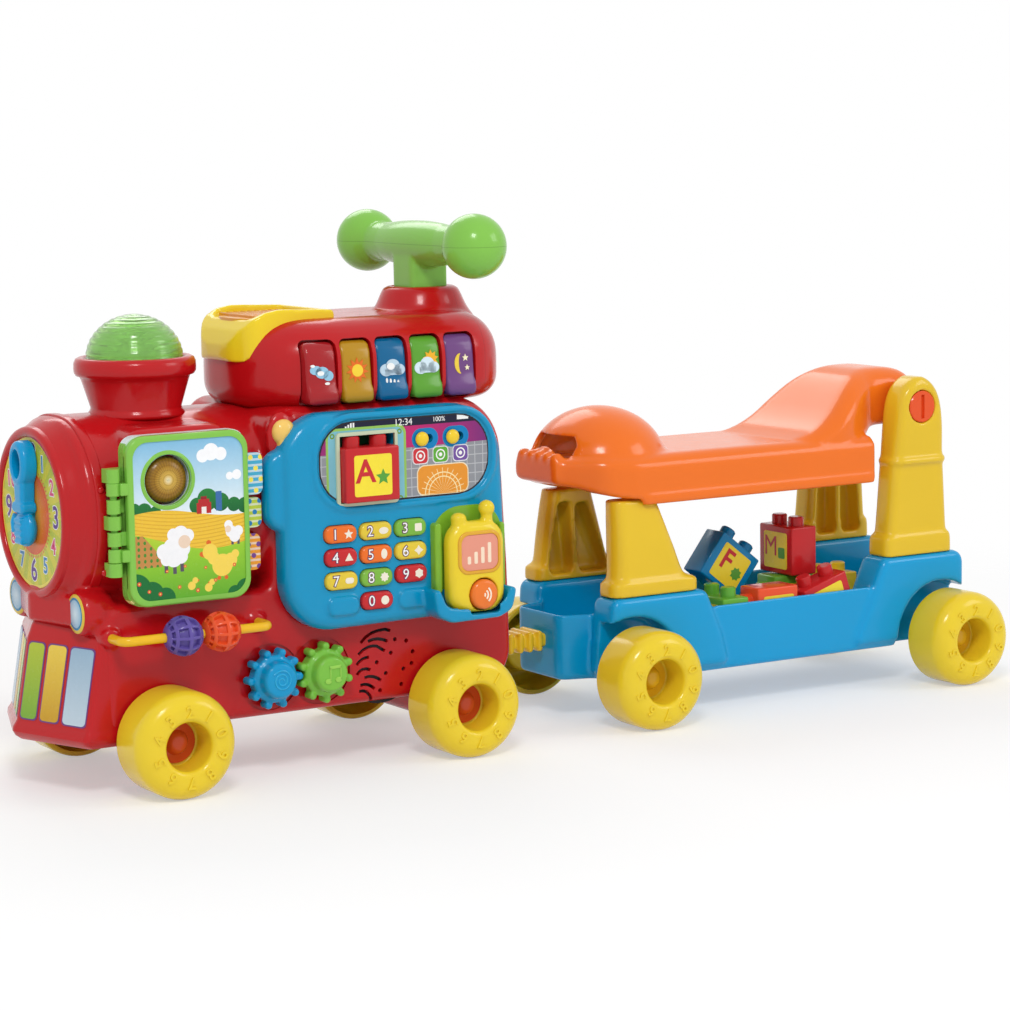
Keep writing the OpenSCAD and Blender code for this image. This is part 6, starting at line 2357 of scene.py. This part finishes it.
@dataclass
class Phone:
    """The toy phone with its push button, in a green cradle on the panel."""

    body: Moulding = Moulding(
        "phone_moulding", "phone", Plastic("yellow_phone", ink(236, 208, 44)), "yellow",
        (Swell(Plane.SIDE, (
            (-94.8, -113, 116, -72, 178, 12, 14), (-96.4, -116, 113, -69, 181, 13, 15),
            (-99, -117, 112, -68, 182, 14, 16),
            (-104, -117, 112, -68, 182, 14, 16), (-107.4, -115, 114, -70, 180, 14, 15),
            (-109, -112, 117, -73, 177, 12, 13), (-109.4, -109, 120, -76, 174, 10, 11))),
         Bar((-80.2, -101, 172), (-80.2, -101, 190), 4.8, 4.4),
         Egg((-80.2, -101, 190.6), (6.4, 6.4, 6.4), 24),
         Bar((-105.2, -101, 172), (-105.2, -101, 184), 6.2, 5.8),
         Egg((-105.2, -101, 184.5), (6.2, 6.2, 4.6), 24)),
        ("phone",),
        (Bar((-88.6, -113, 125.8), (-88.6, -99, 125.8), 12.6),),
        voxel=1.1, rounds=4, angle=60.0,
    )
    screen: Moulding = Moulding(
        "phone_screen_rim", "phone", Plastic("phone_rim", ink(226, 170, 50)), "orange",
        (Form(Plane.SIDE, rect((-111, 142), (-73, 175)), (9,), (-110.4, -107), (1.2, 0)),),
        crisp=(Form(Plane.SIDE, rect((-108.4, 144.6), (-75.6, 172.4)), (7,), (-114, -109.6)),),
    )
    glass: Moulding = Moulding(
        "phone_screen", "phone", Plastic("phone_pink", ink(232, 152, 130), 0.14), "orange",
        (Form(Plane.SIDE, rect((-108.3, 144.7), (-75.7, 172.3)), (7,), (-109.9, -107.4), (0.5, 0)),),
    )
    bars: Decal = Decal(
        "phone_signal_bars", "phone", Plastic("phone_cream", ink(250, 226, 200), 0.3), "yellow",
        tuple(rounded(rect((-11 + 6 * i, -8), (-8 + 6 * i, -2 + 3.2 * i)), (1,), 3) for i in range(4)),
        (-92, -109.8, 158), 0.25,
    )
    button: Moulding = Moulding(
        "phone_button_cap", "phone_button", Plastic("orange_button", ink(238, 122, 44)), "orange",
        (Turned(((0, 0), (10.9, 0), (11.5, 0.8), (11.5, 8.6), (10.7, 10), (8.9, 10.75), (0, 11)), NEAR_AXIS,
                (-88.6, -101.4, 125.8), 56),),
        ("phone_button",),
    )
    arcs: Decal = Decal(
        "phone_button_arcs", "phone_button", Plastic("button_cream", ink(252, 236, 214), 0.3), "yellow",
        tuple(
            ribbon([(r * math.cos(t), r * math.sin(t)) for t in map(math.radians, range(-48, 49, 8))], 0.65)
            for r in (1.6, 4.2, 6.8)
        ),
        (-91, -112.0, 125.8), 0.62,
    )
    cradle: Moulding = Moulding(
        "phone_cradle", "locomotive", Plastic("green_cradle", ink(128, 180, 48)), "green",
        (Form(Plane.SIDE, rect((-125, 130), (-62, 193)), (6, 6, 22, 26), (-92.3, -89)),
         Form(Plane.SIDE, rect((-125, 128), (-118.8, 182)), (3,), (-100, -90), (2.6, 0)),
         Form(Plane.SIDE, rect((-66.4, 128), (-61.6, 178)), (2.2,), (-98, -90), (2, 0))),
    )

    def build(self) -> None:
        """Builds the phone, its screen, its button and the cradle."""
        for piece in (self.body, self.screen, self.glass, self.bars, self.button, self.arcs, self.cradle):
            piece.build()


@dataclass
class Gears:
    """Two meshing gears with round teeth, drums and raised signs."""

    teeth: int = 10
    pitch_r: float = 20.25
    tooth: float = 3.0
    cap: float = 1.8
    web: float = 18.0
    spoke: float = 1.6
    drum: float = 13.5
    drum_h: float = 9.0
    bore: float = 4.6
    bore_reach: Pair = (2.5, 4.0)
    web_edge: float = 2.0
    drum_steps: Quad = (1.2, 2.5, 1.6, 0.5)
    sign_rim: float = 0.25
    gears: tuple[tuple[str, Colour, str, float], ...] = (
        ("gear_blue", ink(0, 150, 204), "blue", 0.0), ("gear_green", ink(122, 190, 66), "green", 18.0),
    )
    turns: float = 2.4
    coil: Triple = (1.2, 7.0, 0.75)
    points: int = 64
    note: tuple[Outline, ...] = (
        oval((-4.4, -4.6), (2.6, 2.1)), oval((4.2, -4.0), (2.6, 2.1)), rect((-2.9, -4.6), (-1.9, 5.6)),
        rect((5.7, -4.0), (6.7, 6.2)), [(-2.9, 4.2), (6.7, 4.8), (6.7, 7.2), (-2.9, 6.6)],
    )
    raised: float = 1.0

    def build(self) -> None:
        """Builds both gears and their signs."""
        for gear in self.gears:
            self.gear(*gear)
        room = Room.of("gear_blue")
        path = []
        for k in range(self.points):
            share = k / (self.points - 1)
            t, r = 2 * math.pi * self.turns * share, self.coil[0] + self.coil[1] * share
            path.append((room.mid.x + r * math.cos(t), room.low.y + self.coil[2] / 2,
                         room.mid.z + r * math.sin(t)))
        blue = Plastic("gear_blue_sign", ink(30, 166, 216))
        settle(tube(path, self.coil[2], sides=3), "gear_spiral", "gear_blue", blue)
        room = Room.of("gear_green")
        at = (room.mid.x, room.low.y + self.raised / 2, room.mid.z)
        green = Plastic("gear_green_sign", ink(150, 208, 84))
        Decal("gear_note", "gear_green", green, "green", self.note, at, self.raised, self.sign_rim).build()

    def gear(self, node: str, colour: Colour, slot: str, turn: float) -> None:
        """One gear.

        Args:
            node: The CAD node, which is its body too.
            colour: Its colour.
            slot: A slot name, kept on the moulding and not used.
            turn: The first tooth's angle in degrees.
        """
        room = Room.of(node)
        at, back = room.mid, room.high.y
        face = room.low.y + self.drum_h
        deep, w, d, h, e = back - face, self.web, self.drum, self.drum_h, self.web_edge
        flare, shoulder, brow, crown = self.drum_steps
        lumps: list[Stock] = [
            Turned(((0, 0), (w, 0), (w, deep - e), (w - e, deep), (0, deep)), NEAR_AXIS, (at.x, back, at.z),
                   48),
            Turned(((0, 0), (d + flare, 0), (d, h - shoulder), (d - brow, h - crown), (0, h)), NEAR_AXIS,
                   (at.x, face, at.z), 48),
        ]
        middle = back - deep / 2
        for k in range(self.teeth):
            t = math.radians(turn + 360 * k / self.teeth)
            x, z = at.x + self.pitch_r * math.cos(t), at.z + self.pitch_r * math.sin(t)
            lumps.append(Bar((x, back, z), (x, face + self.cap, z), self.tooth, sides=20))
            lumps.append(Egg((x, face + self.cap, z), (self.tooth, self.cap, self.tooth), 16))
            lumps.append(Bar((at.x, middle, at.z), (x, middle, z), self.spoke, sides=12))
        start, stop = room.low.y + self.bore_reach[0], back + self.bore_reach[1]
        bore = Bar((at.x, start, at.z), (at.x, stop, at.z), self.bore)
        finish = Plastic(f"{node}_plastic", colour)
        Moulding(
            f"{node}_moulding", node, finish, slot, tuple(lumps), (node,), (bore,), voxel=0.8, rounds=3,
            angle=60.0
        ).build()


@dataclass
class Wheels:
    """Eight yellow wheels, turned once and copied, with raised numbers and hub caps."""

    tyre: Sequence[Pair] = (
        (4.1, 28), (18, 28), (18, 0.9), (40, 0.9), (40, 44), (36, 44), (36, 4), (22, 4), (22, 32), (10, 32),
        (10, 44), (4.1, 44),
    )
    radii: tuple[float, ...] = (0, 1.5, 4.5, 13, 3, 0, 9, 3, 3, 3, 0, 0)
    steps: int = 96
    hub: Sequence[Pair] = (
        (4.4, 0), (15.5, 0), (15.5, -1.4), (9.4, -2.2), (8, -4.6), (6.6, -7.4), (4.4, -8.4), (0, -8.6),
        (0, -5.4), (4.4, -5.2),
    )
    floor: float = 27.9
    signs: int = 10
    sign_r: float = 25.6
    sign_in: float = 1.3
    sign_h: float = 1.28
    sign_size: float = 8.6
    sign_grow: float = 0.3
    finish: Plastic = Plastic("yellow_wheel", ink(236, 206, 44))
    # The hub caps sit deep in the hub's hollow: the loco's red-brown and the wagon's amber are partly the
    # caps' own red and yellow and partly painted shade of the hollow.
    hub_finishes: tuple[tuple[str, Plastic], ...] = (
        ("loco", Plastic("brown_hub", ink(208, 78, 38))), ("wagon", Plastic("amber_hub", ink(226, 178, 34))),
    )

    def build(self) -> None:
        """Builds one wheel and copies it to each axle end."""
        first = Room.of("loco_wheel_front_near")
        at = (first.mid.x, first.low.y, first.mid.z)
        wheel = join([lathe(rounded(self.tyre, self.radii, 9), Y_AXIS, at, self.steps), *self.embossed(at)])
        hub = lathe(list(self.hub), Y_AXIS, (at[0], at[1] + self.floor, at[2]), steps=48)
        for train, hub_finish in self.hub_finishes:
            for end in ("front", "rear"):
                for side in ("near", "far"):
                    node = f"{train}_wheel_{end}_{side}"
                    move = shifted(x=Room.of(node).mid.x - first.mid.x)
                    move = move @ OTHER_SIDE if side == "far" else move
                    settle(copied(wheel, move), f"{node}_tyre", node, self.finish, (node,),
                           angle=50.0)
                    settle(copied(hub, move), f"{node}_hub", node, hub_finish)
        bpy.data.objects.remove(wheel)
        bpy.data.objects.remove(hub)

    def embossed(self, at: Triple) -> list[Piece]:
        """The raised numbers round the wheel's face.

        Args:
            at: The middle of the wheel's outer face.

        Returns:
            The numbers.
        """
        found = []
        for k in range(self.signs):
            t = 2 * math.pi * (k + 0.5) / self.signs
            place = (at[0] + self.sign_r * math.cos(t), at[1] + self.sign_in,
                     at[2] + self.sign_r * math.sin(t))
            stand = Facing.NEAR.stand(place) @ Matrix.Rotation(t - math.pi / 2, 4, "Z")
            found.append(words(str(k), self.sign_size, stand, self.sign_h, self.sign_grow))
        return found


@dataclass
class Wagon:
    """The blue tray with its arches, the yellow legs, the pins and the ribbed tow bar."""

    outer: Sequence[Pair] = (
        (28, -32), (55, -40.5), (55, -69), (417, -69), (417, 69), (55, 69), (55, 40.5), (28, 32),
    )
    inner: Sequence[Pair] = (
        (31, -29), (58, -37.5), (58, -66), (414, -66), (414, 66), (58, 66), (58, 37.5), (31, 29),
    )
    tray_levels: Triple = (33.0, 49.0, 86.5)
    outer_r: tuple[float, ...] = (10, 4, 10, 14, 14, 10, 4, 10)
    inner_r: tuple[float, ...] = (8, 4, 8, 11, 11, 8, 4, 8)
    tray_rims: Pair = (5.0, 1.0)
    tray_open: float = 20.0
    cell: float = 1.8
    softening: int = 4
    pin_at: Triple = (372, -71, 236)
    axles: Pair = (74.0, 391.0)
    axle_z: float = 40.0
    arch: float = 46.0
    fenders: tuple[Stock, ...] = (
        Form(Plane.SIDE, ((50, 37), (170, 37), (163, 64), (147, 102), (55, 102)), (6, 6, 16, 9, 9),
             (-73, -40.5),
             (10, 5)),
        Form(Plane.SIDE, ((296, 37), (417, 37), (417, 110), (330, 110), (312, 70)), (6, 6, 10, 9, 16),
             (-73, -40.5),
             (10, 5)),
    )
    arch_y: Pair = (-53.0, -77.0)
    axle_r: float = 4.4
    legs: Moulding = Moulding(
        "leg_mouldings", "wagon", Plastic("yellow_legs", ink(230, 192, 40)), "yellow",
        (Swell(Plane.TOP, (
            (102, 57, -71, 141, -42.5, 9, 9), (111, 57, -71, 141, -42.5, 9, 9),
            (114.5, 60, -69.4, 136, -43.4, 10, 10),
            (118, 62, -68, 130, -43, 11, 11), (140, 64, -65.5, 122, -41, 10, 10),
            (166, 66, -61, 113, -38.5, 9, 9), (178.4, 67, -58.6, 109, -37, 9, 9)),
            both=True),
         Swell(Plane.TOP, (
             (110, 333, -71, 406, -42.5, 7, 7), (124, 333.5, -71, 405.5, -42.5, 7, 7),
             (128, 336, -69.6, 403.6, -43.4, 8, 8), (132, 338, -69, 402.6, -43.6, 8, 8),
             (185, 343, -69, 399.6, -43.4, 8, 8), (196, 344.5, -69.6, 398.5, -43, 8, 8),
             (222, 347, -71, 397, -42.5, 8, 8), (237, 349, -71, 395, -42.5, 8, 8),
             (248, 353, -71, 391, -42.5, 8, 8),
             (256, 359, -70, 385, -43.4, 8, 8), (260, 365, -68, 379, -45, 6, 6),
             (261, 368, -66, 376, -47, 3, 3)),
             both=True),
         Form(Plane.TOP, rect((341.5, -72.4), (401.5, -41.4)), (12,), (187, 193), (2.6, 2.6), both=True)),
        ("wagon_legs",),
        (Form(Plane.SIDE, ((68, 107), (92, 107), (86, 168), (75, 168)), (5,), (-58, -20), both=True),
         Form(Plane.SIDE, ((98, 107), (128, 107), (103, 166), (91, 166)), (5,), (-58, -20), both=True),
         Form(Plane.SIDE, ((346, 116), (368, 116), (368, 182), (351, 182)), (5,), (-58, -20), both=True),
         Form(Plane.SIDE, ((374, 116), (394, 116), (390, 182), (374, 182)), (5,), (-58, -20), both=True),
         Bar((372, -65, 236), (372, -76, 236), 13.9, both=True)),
        voxel=1.6, rounds=4, angle=60.0,
    )
    pin: Sequence[Pair] = ((0, -22), (5.9, -22), (5.9, -6), (13.4, -6), (13.4, -1), (12.6, -0.2), (0, 0))
    pin_slot: Brick = Brick((370.2, -73, 226), (373.8, -68.6, 246))
    tow: Moulding = Moulding(
        "tow_bar_moulding", "wagon", Plastic("yellow_tow", ink(234, 196, 40)), "yellow",
        (Brick((-66, -12, 58.6), (32, 12, 69.6), 3),
         Turned(((0, 58.6), (12, 58.6), (12, 69.6), (0, 69.6)), Z_AXIS, (-66, 0, 0), 40),
         Bar((-66, 0, 45), (-66, 0, 62.6), 5.9),
         *(Brick((x, -15, 55.6), (x + 5, 15, 72.6), 2) for x in range(-17, 20, 9))),
        ("tow_bar",), voxel=1.1, rounds=3, angle=60.0,
    )

    def build(self) -> None:
        """Builds the tray, the legs, the pins and the tow bar."""
        self.build_tray()
        self.legs.build()
        head = lathe(list(self.pin), NEAR_AXIS, self.pin_at, steps=56)
        carve(head, self.pin_slot.pieces())
        pins = join([head, copied(head, OTHER_SIDE)])
        orange = Plastic("orange_pins", ink(232, 84, 34))
        settle(pins, "pivot_pin_heads", "wagon", orange, ("seat_pins",))
        self.tow.build()

    def build_tray(self) -> None:
        """The tray with its front bin, fenders and wheel arches."""
        foot, floor, top = self.tray_levels
        tray = slab(rounded(self.outer, self.outer_r), Plane.TOP, foot, top, self.tray_rims)
        carve(tray, [slab(rounded(self.inner, self.inner_r), Plane.TOP, floor, top + self.tray_open)])
        fenders = []
        for x, fender in zip(self.axles, self.fenders):
            ends = [(x, y, self.axle_z) for y in self.arch_y]
            arch = Bar(*ends, self.arch, sides=96, both=True)
            axle = Bar((x, ends[1][1], self.axle_z), (x, -ends[1][1], self.axle_z), self.axle_r)
            carve(tray, [*arch.pieces(), axle.shape()])
            near = carve(fender.shape(), [arch.shape(), axle.shape()])
            fenders += [near, copied(near, OTHER_SIDE)]
        moulding = fuse([tray, *fenders], self.cell, self.softening)
        blue = Plastic("blue_tray", BLUE)
        settle(moulding, "tray_moulding", "wagon", blue, ("wagon_tray",), angle=60.0)


@dataclass
class Seat:
    """The orange saddle: a hooded front with a grip, a flat plank and a rising backrest."""

    moulding: Moulding = Moulding(
        "seat_moulding", "seat", Plastic("orange_seat", ORANGE), "orange",
        (Swell(Plane.END, (
            (27, -30, 194, 30, 210, 5, 6), (33, -33, 191, 33, 212, 5, 7), (45, -44, 189, 44, 213, 4, 9),
            (60, -57, 184, 57, 214, 3, 10), (80, -63, 180, 63, 214, 2, 11), (100, -64, 179, 64, 214, 2, 12),
            (200, -64, 179, 64, 214, 2, 12), (327, -64, 179, 64, 214, 2, 12))),
         Swell(Plane.END, (
             (235, -56, 200, 56, 211, 3, 8), (255, -59, 200, 59, 215.5, 3, 11),
             (268, -60.5, 200, 60.5, 219.5, 3, 13),
             (280, -61.5, 200, 61.5, 225.5, 3, 16), (291, -61.5, 200, 61.5, 233.5, 3, 19),
             (301, -60.5, 200, 60.5, 242.5, 3, 22), (311, -57.5, 200, 57.5, 251.5, 3, 24),
             (321, -52.5, 204, 52.5, 259, 4, 24), (332, -46, 212, 46, 264.3, 5, 22),
             (343, -40.5, 218, 40.5, 267, 6, 20),
             (361, -39.5, 219, 39.5, 267.4, 7, 18), (378, -39.5, 219, 39.5, 265.5, 7, 18),
             (388, -39, 221, 39, 261, 9, 18), (393, -38, 224, 38, 255, 9, 15),
             (395, -36, 228, 36, 249, 8, 10))),
         Form(Plane.TOP, rect((90, -65.6), (327, 65.6)), (4,), (174.4, 184), (1.5, 3)),
         Common(Egg((89, 0, 204), (55, 58, 46.5), 64), Brick((20, -70, 203), (170, 70, 270))),
         Form(Plane.TOP, rect((27.5, -31), (40, 31)), (5,), (196, 214), (4, 4)),
         *(Egg((33, y, 213), (6.5, 4.6, 4.8), 20) for y in (-24, -12, 0, 12, 24))),
        ("seat",),
        (Form(Plane.TOP, rect((78, -60.4), (322, 60.4)), (4,), (149, 206)),
         Form(Plane.END, rect((-29, 213), (29, 229)), (5, 5, 8, 8), (38.5, 84)),
         Form(Plane.TOP, rect((40.5, -29), (84, 29)), (6,), (170, 222)),
         Common(Egg((89, 0, 204), (49.5, 52.5, 41), 48), Brick((40, -70, 195), (170, 70, 270)))),
        voxel=1.9, rounds=7, angle=60.0,
    )

    def build(self) -> None:
        """Builds the saddle as one moulding."""
        self.moulding.build()


@dataclass
class Blocks:
    """The two-stud toy blocks: one in the reader and a heap in the tray."""

    size: Triple = (46.0, 26.0, 41.0)
    stud_r: float = 6.5
    stud_h: float = 8.0
    stud_root: float = 2.0
    stud_edge: float = 1.0
    edge: float = 1.6
    ground: tuple[Pair, Pair, float] = ((-16.0, -16.0), (16.0, 15.0), 2.0)
    films: Triple = (0.2, 0.14, 0.1)
    letter: Quad = (17.0, -6.4, 2.0, 0.5)
    sharp: str = "M"
    sign: Pair = (8.4, -2.4)
    shapes: tuple[Outline, ...] = (
        star((0, 0), 6.4, 3.0), oval((0, 0), (5, 5)), rounded(rect((-4.6, -4.6), (4.6, 4.6)), (1.5,), 4),
        star((0, -1), 6.4, 3.2, 3), star((0, 0), 6, 4.4, 8),
    )
    heap: tuple[tuple[float, float, float, float, float, float], ...] = (
        (179.6, -42.8, 69.9, 0, 0, 90), (223.4, -52.1, 72.4, -90, 0, 0), (278.15, -52.1, 76.0, -18, 0, 0),
        (213.2, 1.4, 107.0, 38, 0, 0), (217.6, 1.4, 62.4, 0, 90, 0), (273.0, -8.3, 72.4, -90, 0, 0),
        (276.0, -8.3, 116.7, 0, 0, 90), (324.1, 0.0, 69.9, 0, 0, 0),
    )
    reader: tuple[str, Colour, str, str] = ("red", ink(196, 34, 38), "red", "A")
    inks: tuple[tuple[str, Colour, str, str], ...] = (
        ("green", ink(96, 168, 52), "green", "T"), ("orange", ink(232, 80, 40), "orange", "G"),
        ("red", ink(196, 34, 38), "red", "I"), ("blue", ink(0, 132, 190), "blue", "F"),
        ("yellow", ink(236, 206, 48), "yellow", "K"), ("green", ink(96, 168, 52), "green", "O"),
        ("red", ink(196, 34, 38), "red", "M"), ("yellow", ink(236, 206, 48), "yellow", "U"),
    )

    def build(self) -> None:
        """Builds the reader's block and the heap from one model."""
        model = self.model()
        card = Room.of("slot_block")
        here = shifted(card.mid.x, card.mid.y, card.low.z)
        self.place(model, "reader_block", "slot_block", here, self.reader, 0)
        for i, (x, y, z, tilt, lean, turn) in enumerate(self.heap):
            spin = Matrix.Identity(4)
            for angle, axis in ((turn, "Z"), (tilt, "Y"), (lean, "X")):
                spin = spin @ Matrix.Rotation(math.radians(angle), 4, axis)
            move = shifted(x, y, z) @ spin @ shifted(z=-self.size[2] / 2)
            self.place(model, f"loose_block_{i}", "loose_blocks", move, self.inks[i], i + 1)
        bpy.data.objects.remove(model)

    def model(self) -> Piece:
        """One block standing on its foot, with two studs."""
        w, t, h = self.size
        r, top = self.stud_r, h + self.stud_h
        root, e = h - self.stud_root, self.stud_edge
        profile = [(0, root), (r, root), (r, top - e), (r - e, top), (0, top)]
        studs = [lathe(profile, Z_AXIS, (side * w / 4, 0, 0), steps=40) for side in (-1, 1)]
        return join([block((-w / 2, -t / 2, 0), (w / 2, t / 2, h), self.edge), *studs])

    def place(
        self, model: Piece, name: str, body: str, move: Matrix, look: tuple[str, Colour, str, str],
        number: int,
    ) -> None:
        """One block with its labels.

        Args:
            model: The block to copy.
            name: The new block's name.
            body: The CAD body that it rides on, and the node that it stands for.
            move: Where it stands.
            look: Its colour's name, its colour, its material slot and its letter.
            number: The number of its sign.
        """
        tint, colour, slot, text = look
        settle(copied(model, move), name, body, Plastic(f"{tint}_block", colour), (body,))
        t, h = self.size[1], self.size[2]
        grounds, letters, signs = [], [], []
        low, high, corner = self.ground
        size, left, up, grow = self.letter
        base, raised, thin = self.films
        grow = 0 if text in self.sharp else grow
        shape = self.shapes[number % len(self.shapes)]
        for side, y in ((Facing.NEAR, -t / 2), (Facing.FAR, t / 2)):
            stand = move @ side.stand((0, y, h / 2))
            grounds.append(flat(rounded(rect(low, high), (corner,), 4), stand, base))
            letters.append(words(text, size, stand @ shifted(left, up, base), raised, grow))
            signs.append(flat(shape, stand @ shifted(*self.sign, base), thin))
        yellow = FadePrint("label_yellow", top=ink(248, 226, 62), foot=ink(240, 206, 50))
        settle(join(grounds), f"{name}_label", body, yellow)
        settle(join(letters), f"{name}_letter", body, Plastic("label_red", ink(200, 40, 48), 0.35))
        settle(join(signs), f"{name}_sign", body, Plastic("label_green", ink(86, 160, 60), 0.35))


@dataclass
class Inside:
    """Finishes for the CAD nodes that show as they are."""

    steel: Metal = Metal("axle_steel", ink(196, 198, 204))
    finishes: tuple[tuple[str, Finish], ...] = (
        ("speaker", Plastic("speaker_black", DARK, 0.5)),
        ("battery_pack", Plastic("cell_black", ink(40, 42, 50), 0.4)),
        ("circuit_board", Plastic("board_green", ink(24, 96, 54), 0.45)),
        ("battery_door", Plastic("red_door", RED)),
    )

    def build(self) -> None:
        """Dresses each node."""
        for node in ("loco_axles", "wagon_axles"):
            dress(node, self.steel)
        for node, finish in self.finishes:
            dress(node, finish)


@dataclass
class Studio:
    """The pale floor, the soft lights, the white surround and the camera."""

    azimuth: float = -31.6403
    elevation: float = 7.4974
    roll: float = -0.954
    distance: float = 2.46746
    aim: Triple = (-0.0012, 0.0, 0.1758)
    lens: float = 109.27
    sensor: float = 36.0
    floor_reach: float = 3.0
    floor_ink: Colour = ink(250, 250, 250)
    floor_glow: float = 0.42
    floor_fade: Pair = (0.55, 1.15)
    ambient: float = 0.62
    lamps: tuple[tuple[str, Triple, float, float], ...] = (
        ("key", (-1.1, -1.7, 2.0), 0.55, 25.0), ("fill", (1.6, -1.5, 1.3), 0.9, 10.0),
        ("back", (0.4, 1.7, 1.8), 1.2, 12.0),
    )

    def build(self) -> None:
        """Sets the stage."""
        self.build_floor()
        self.build_world()
        self.build_lamps()
        self.build_camera()
        bpy.context.scene.view_settings.view_transform = "Standard"

    def build_floor(self) -> None:
        """A pale floor that fades into the white surround and keeps the shadow."""
        clear()
        bpy.ops.mesh.primitive_plane_add(size=2 * self.floor_reach)
        floor = bpy.context.object
        with editing(floor):
            bpy.ops.mesh.select_all(action="SELECT")
            bpy.ops.mesh.subdivide(number_cuts=6)
        floor.name = "studio_floor"
        g = Graph("pale_floor")
        far = g.gap(g.x, g.y, (0.0, 0.0)) * MM
        span = {"Value": far, "From Min": self.floor_fade[0], "From Max": self.floor_fade[1]}
        fade = g.add("ShaderNodeMapRange", {"interpolation_type": "SMOOTHSTEP"}, span)
        pale = g.add("ShaderNodeBsdfDiffuse", inputs={"Color": self.floor_ink})
        bright = g.add("ShaderNodeEmission", inputs={"Color": BRIGHT, "Strength": 1.0})
        seen = self.seen(g) * self.floor_glow
        lit = g.add("ShaderNodeMixShader", inputs={0: seen, 1: pale.outputs[0], 2: bright.outputs[0]})
        gone = g.add("ShaderNodeBsdfTransparent")
        ends = {0: fade.outputs[0], 1: lit.outputs[0], 2: gone.outputs[0]}
        whole = g.add("ShaderNodeMixShader", inputs=ends)
        g.add("ShaderNodeOutputMaterial", inputs={"Surface": whole.outputs[0]})
        floor.data.materials.append(g.material)
        LOG.info("floor")

    @staticmethod
    def seen(g: Graph) -> Sock:
        """One for the eye, and for what gloss and clear plastic show."""
        path = g.add("ShaderNodeLightPath").outputs
        kinds = ("Camera", "Glossy", "Transmission")
        eye, gloss, through = (Sock(g, path[f"Is {kind} Ray"]) for kind in kinds)
        return eye | gloss | through

    def build_world(self) -> None:
        """A white surround to the eye, and a soft light to the object."""
        world = bpy.data.worlds.new("white_surround")
        bpy.context.scene.world = world
        g = Graph("surround", world)
        light = g.add("ShaderNodeBackground", inputs={"Color": BRIGHT, "Strength": self.ambient})
        white = g.add("ShaderNodeBackground", inputs={"Color": BRIGHT, "Strength": 1.0})
        ends = {0: self.seen(g), 1: light.outputs[0], 2: white.outputs[0]}
        mix = g.add("ShaderNodeMixShader", inputs=ends)
        g.add("ShaderNodeOutputWorld", inputs={"Surface": mix.outputs[0]})
        LOG.info("surround")

    def build_lamps(self) -> None:
        """Soft boxes aimed at the train."""
        for name, place, size, watts in self.lamps:
            clear()
            bpy.ops.object.light_add(type="AREA", location=place)
            lamp = bpy.context.object
            lamp.name = f"{name}_softbox"
            lamp.data.shape = "SQUARE"
            lamp.data.size = size
            lamp.data.energy = watts
            lamp.rotation_euler = (Vector(self.aim) - Vector(place)).to_track_quat("-Z", "Y").to_euler()
        LOG.info("lamps")

    def build_camera(self) -> None:
        """The camera at the picture's viewpoint."""
        clear()
        a, e, r = (math.radians(v) for v in (self.azimuth, self.elevation, self.roll))
        back = Vector((math.sin(a) * math.cos(e), -math.cos(a) * math.cos(e), math.sin(e)))
        level = Vector((math.cos(a), math.sin(a), 0.0))
        upright = back.cross(level)
        right = level * math.cos(r) + upright * math.sin(r)
        up = upright * math.cos(r) - level * math.sin(r)
        bpy.ops.object.camera_add()
        camera = bpy.context.object
        turned = Matrix((right, up, back)).transposed().to_4x4()
        camera.matrix_world = Matrix.Translation(Vector(self.aim) + back * self.distance) @ turned
        camera.data.lens = self.lens
        camera.data.sensor_width = self.sensor
        bpy.context.scene.camera = camera
        LOG.info("camera")


def write_sizes() -> None:
    """Brings the view layer up to date."""
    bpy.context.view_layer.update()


def main() -> None:
    """Builds the studio and every sub-assembly in order."""
    logging.basicConfig(level=logging.INFO, format="%(message)s")
    for assembly in (
        Studio(), Body(), Nose(), Clock(), Chimney(), Roof(), Handle(), Book(), BeadRun(), Panel(), Phone(),
        Gears(), Wheels(), Wagon(), Seat(), Blocks(), Inside(),
    ):
        LOG.info("building %s", type(assembly).__name__)
        assembly.build()
    clear()
    write_sizes()


if __name__ == "__main__":
    main()
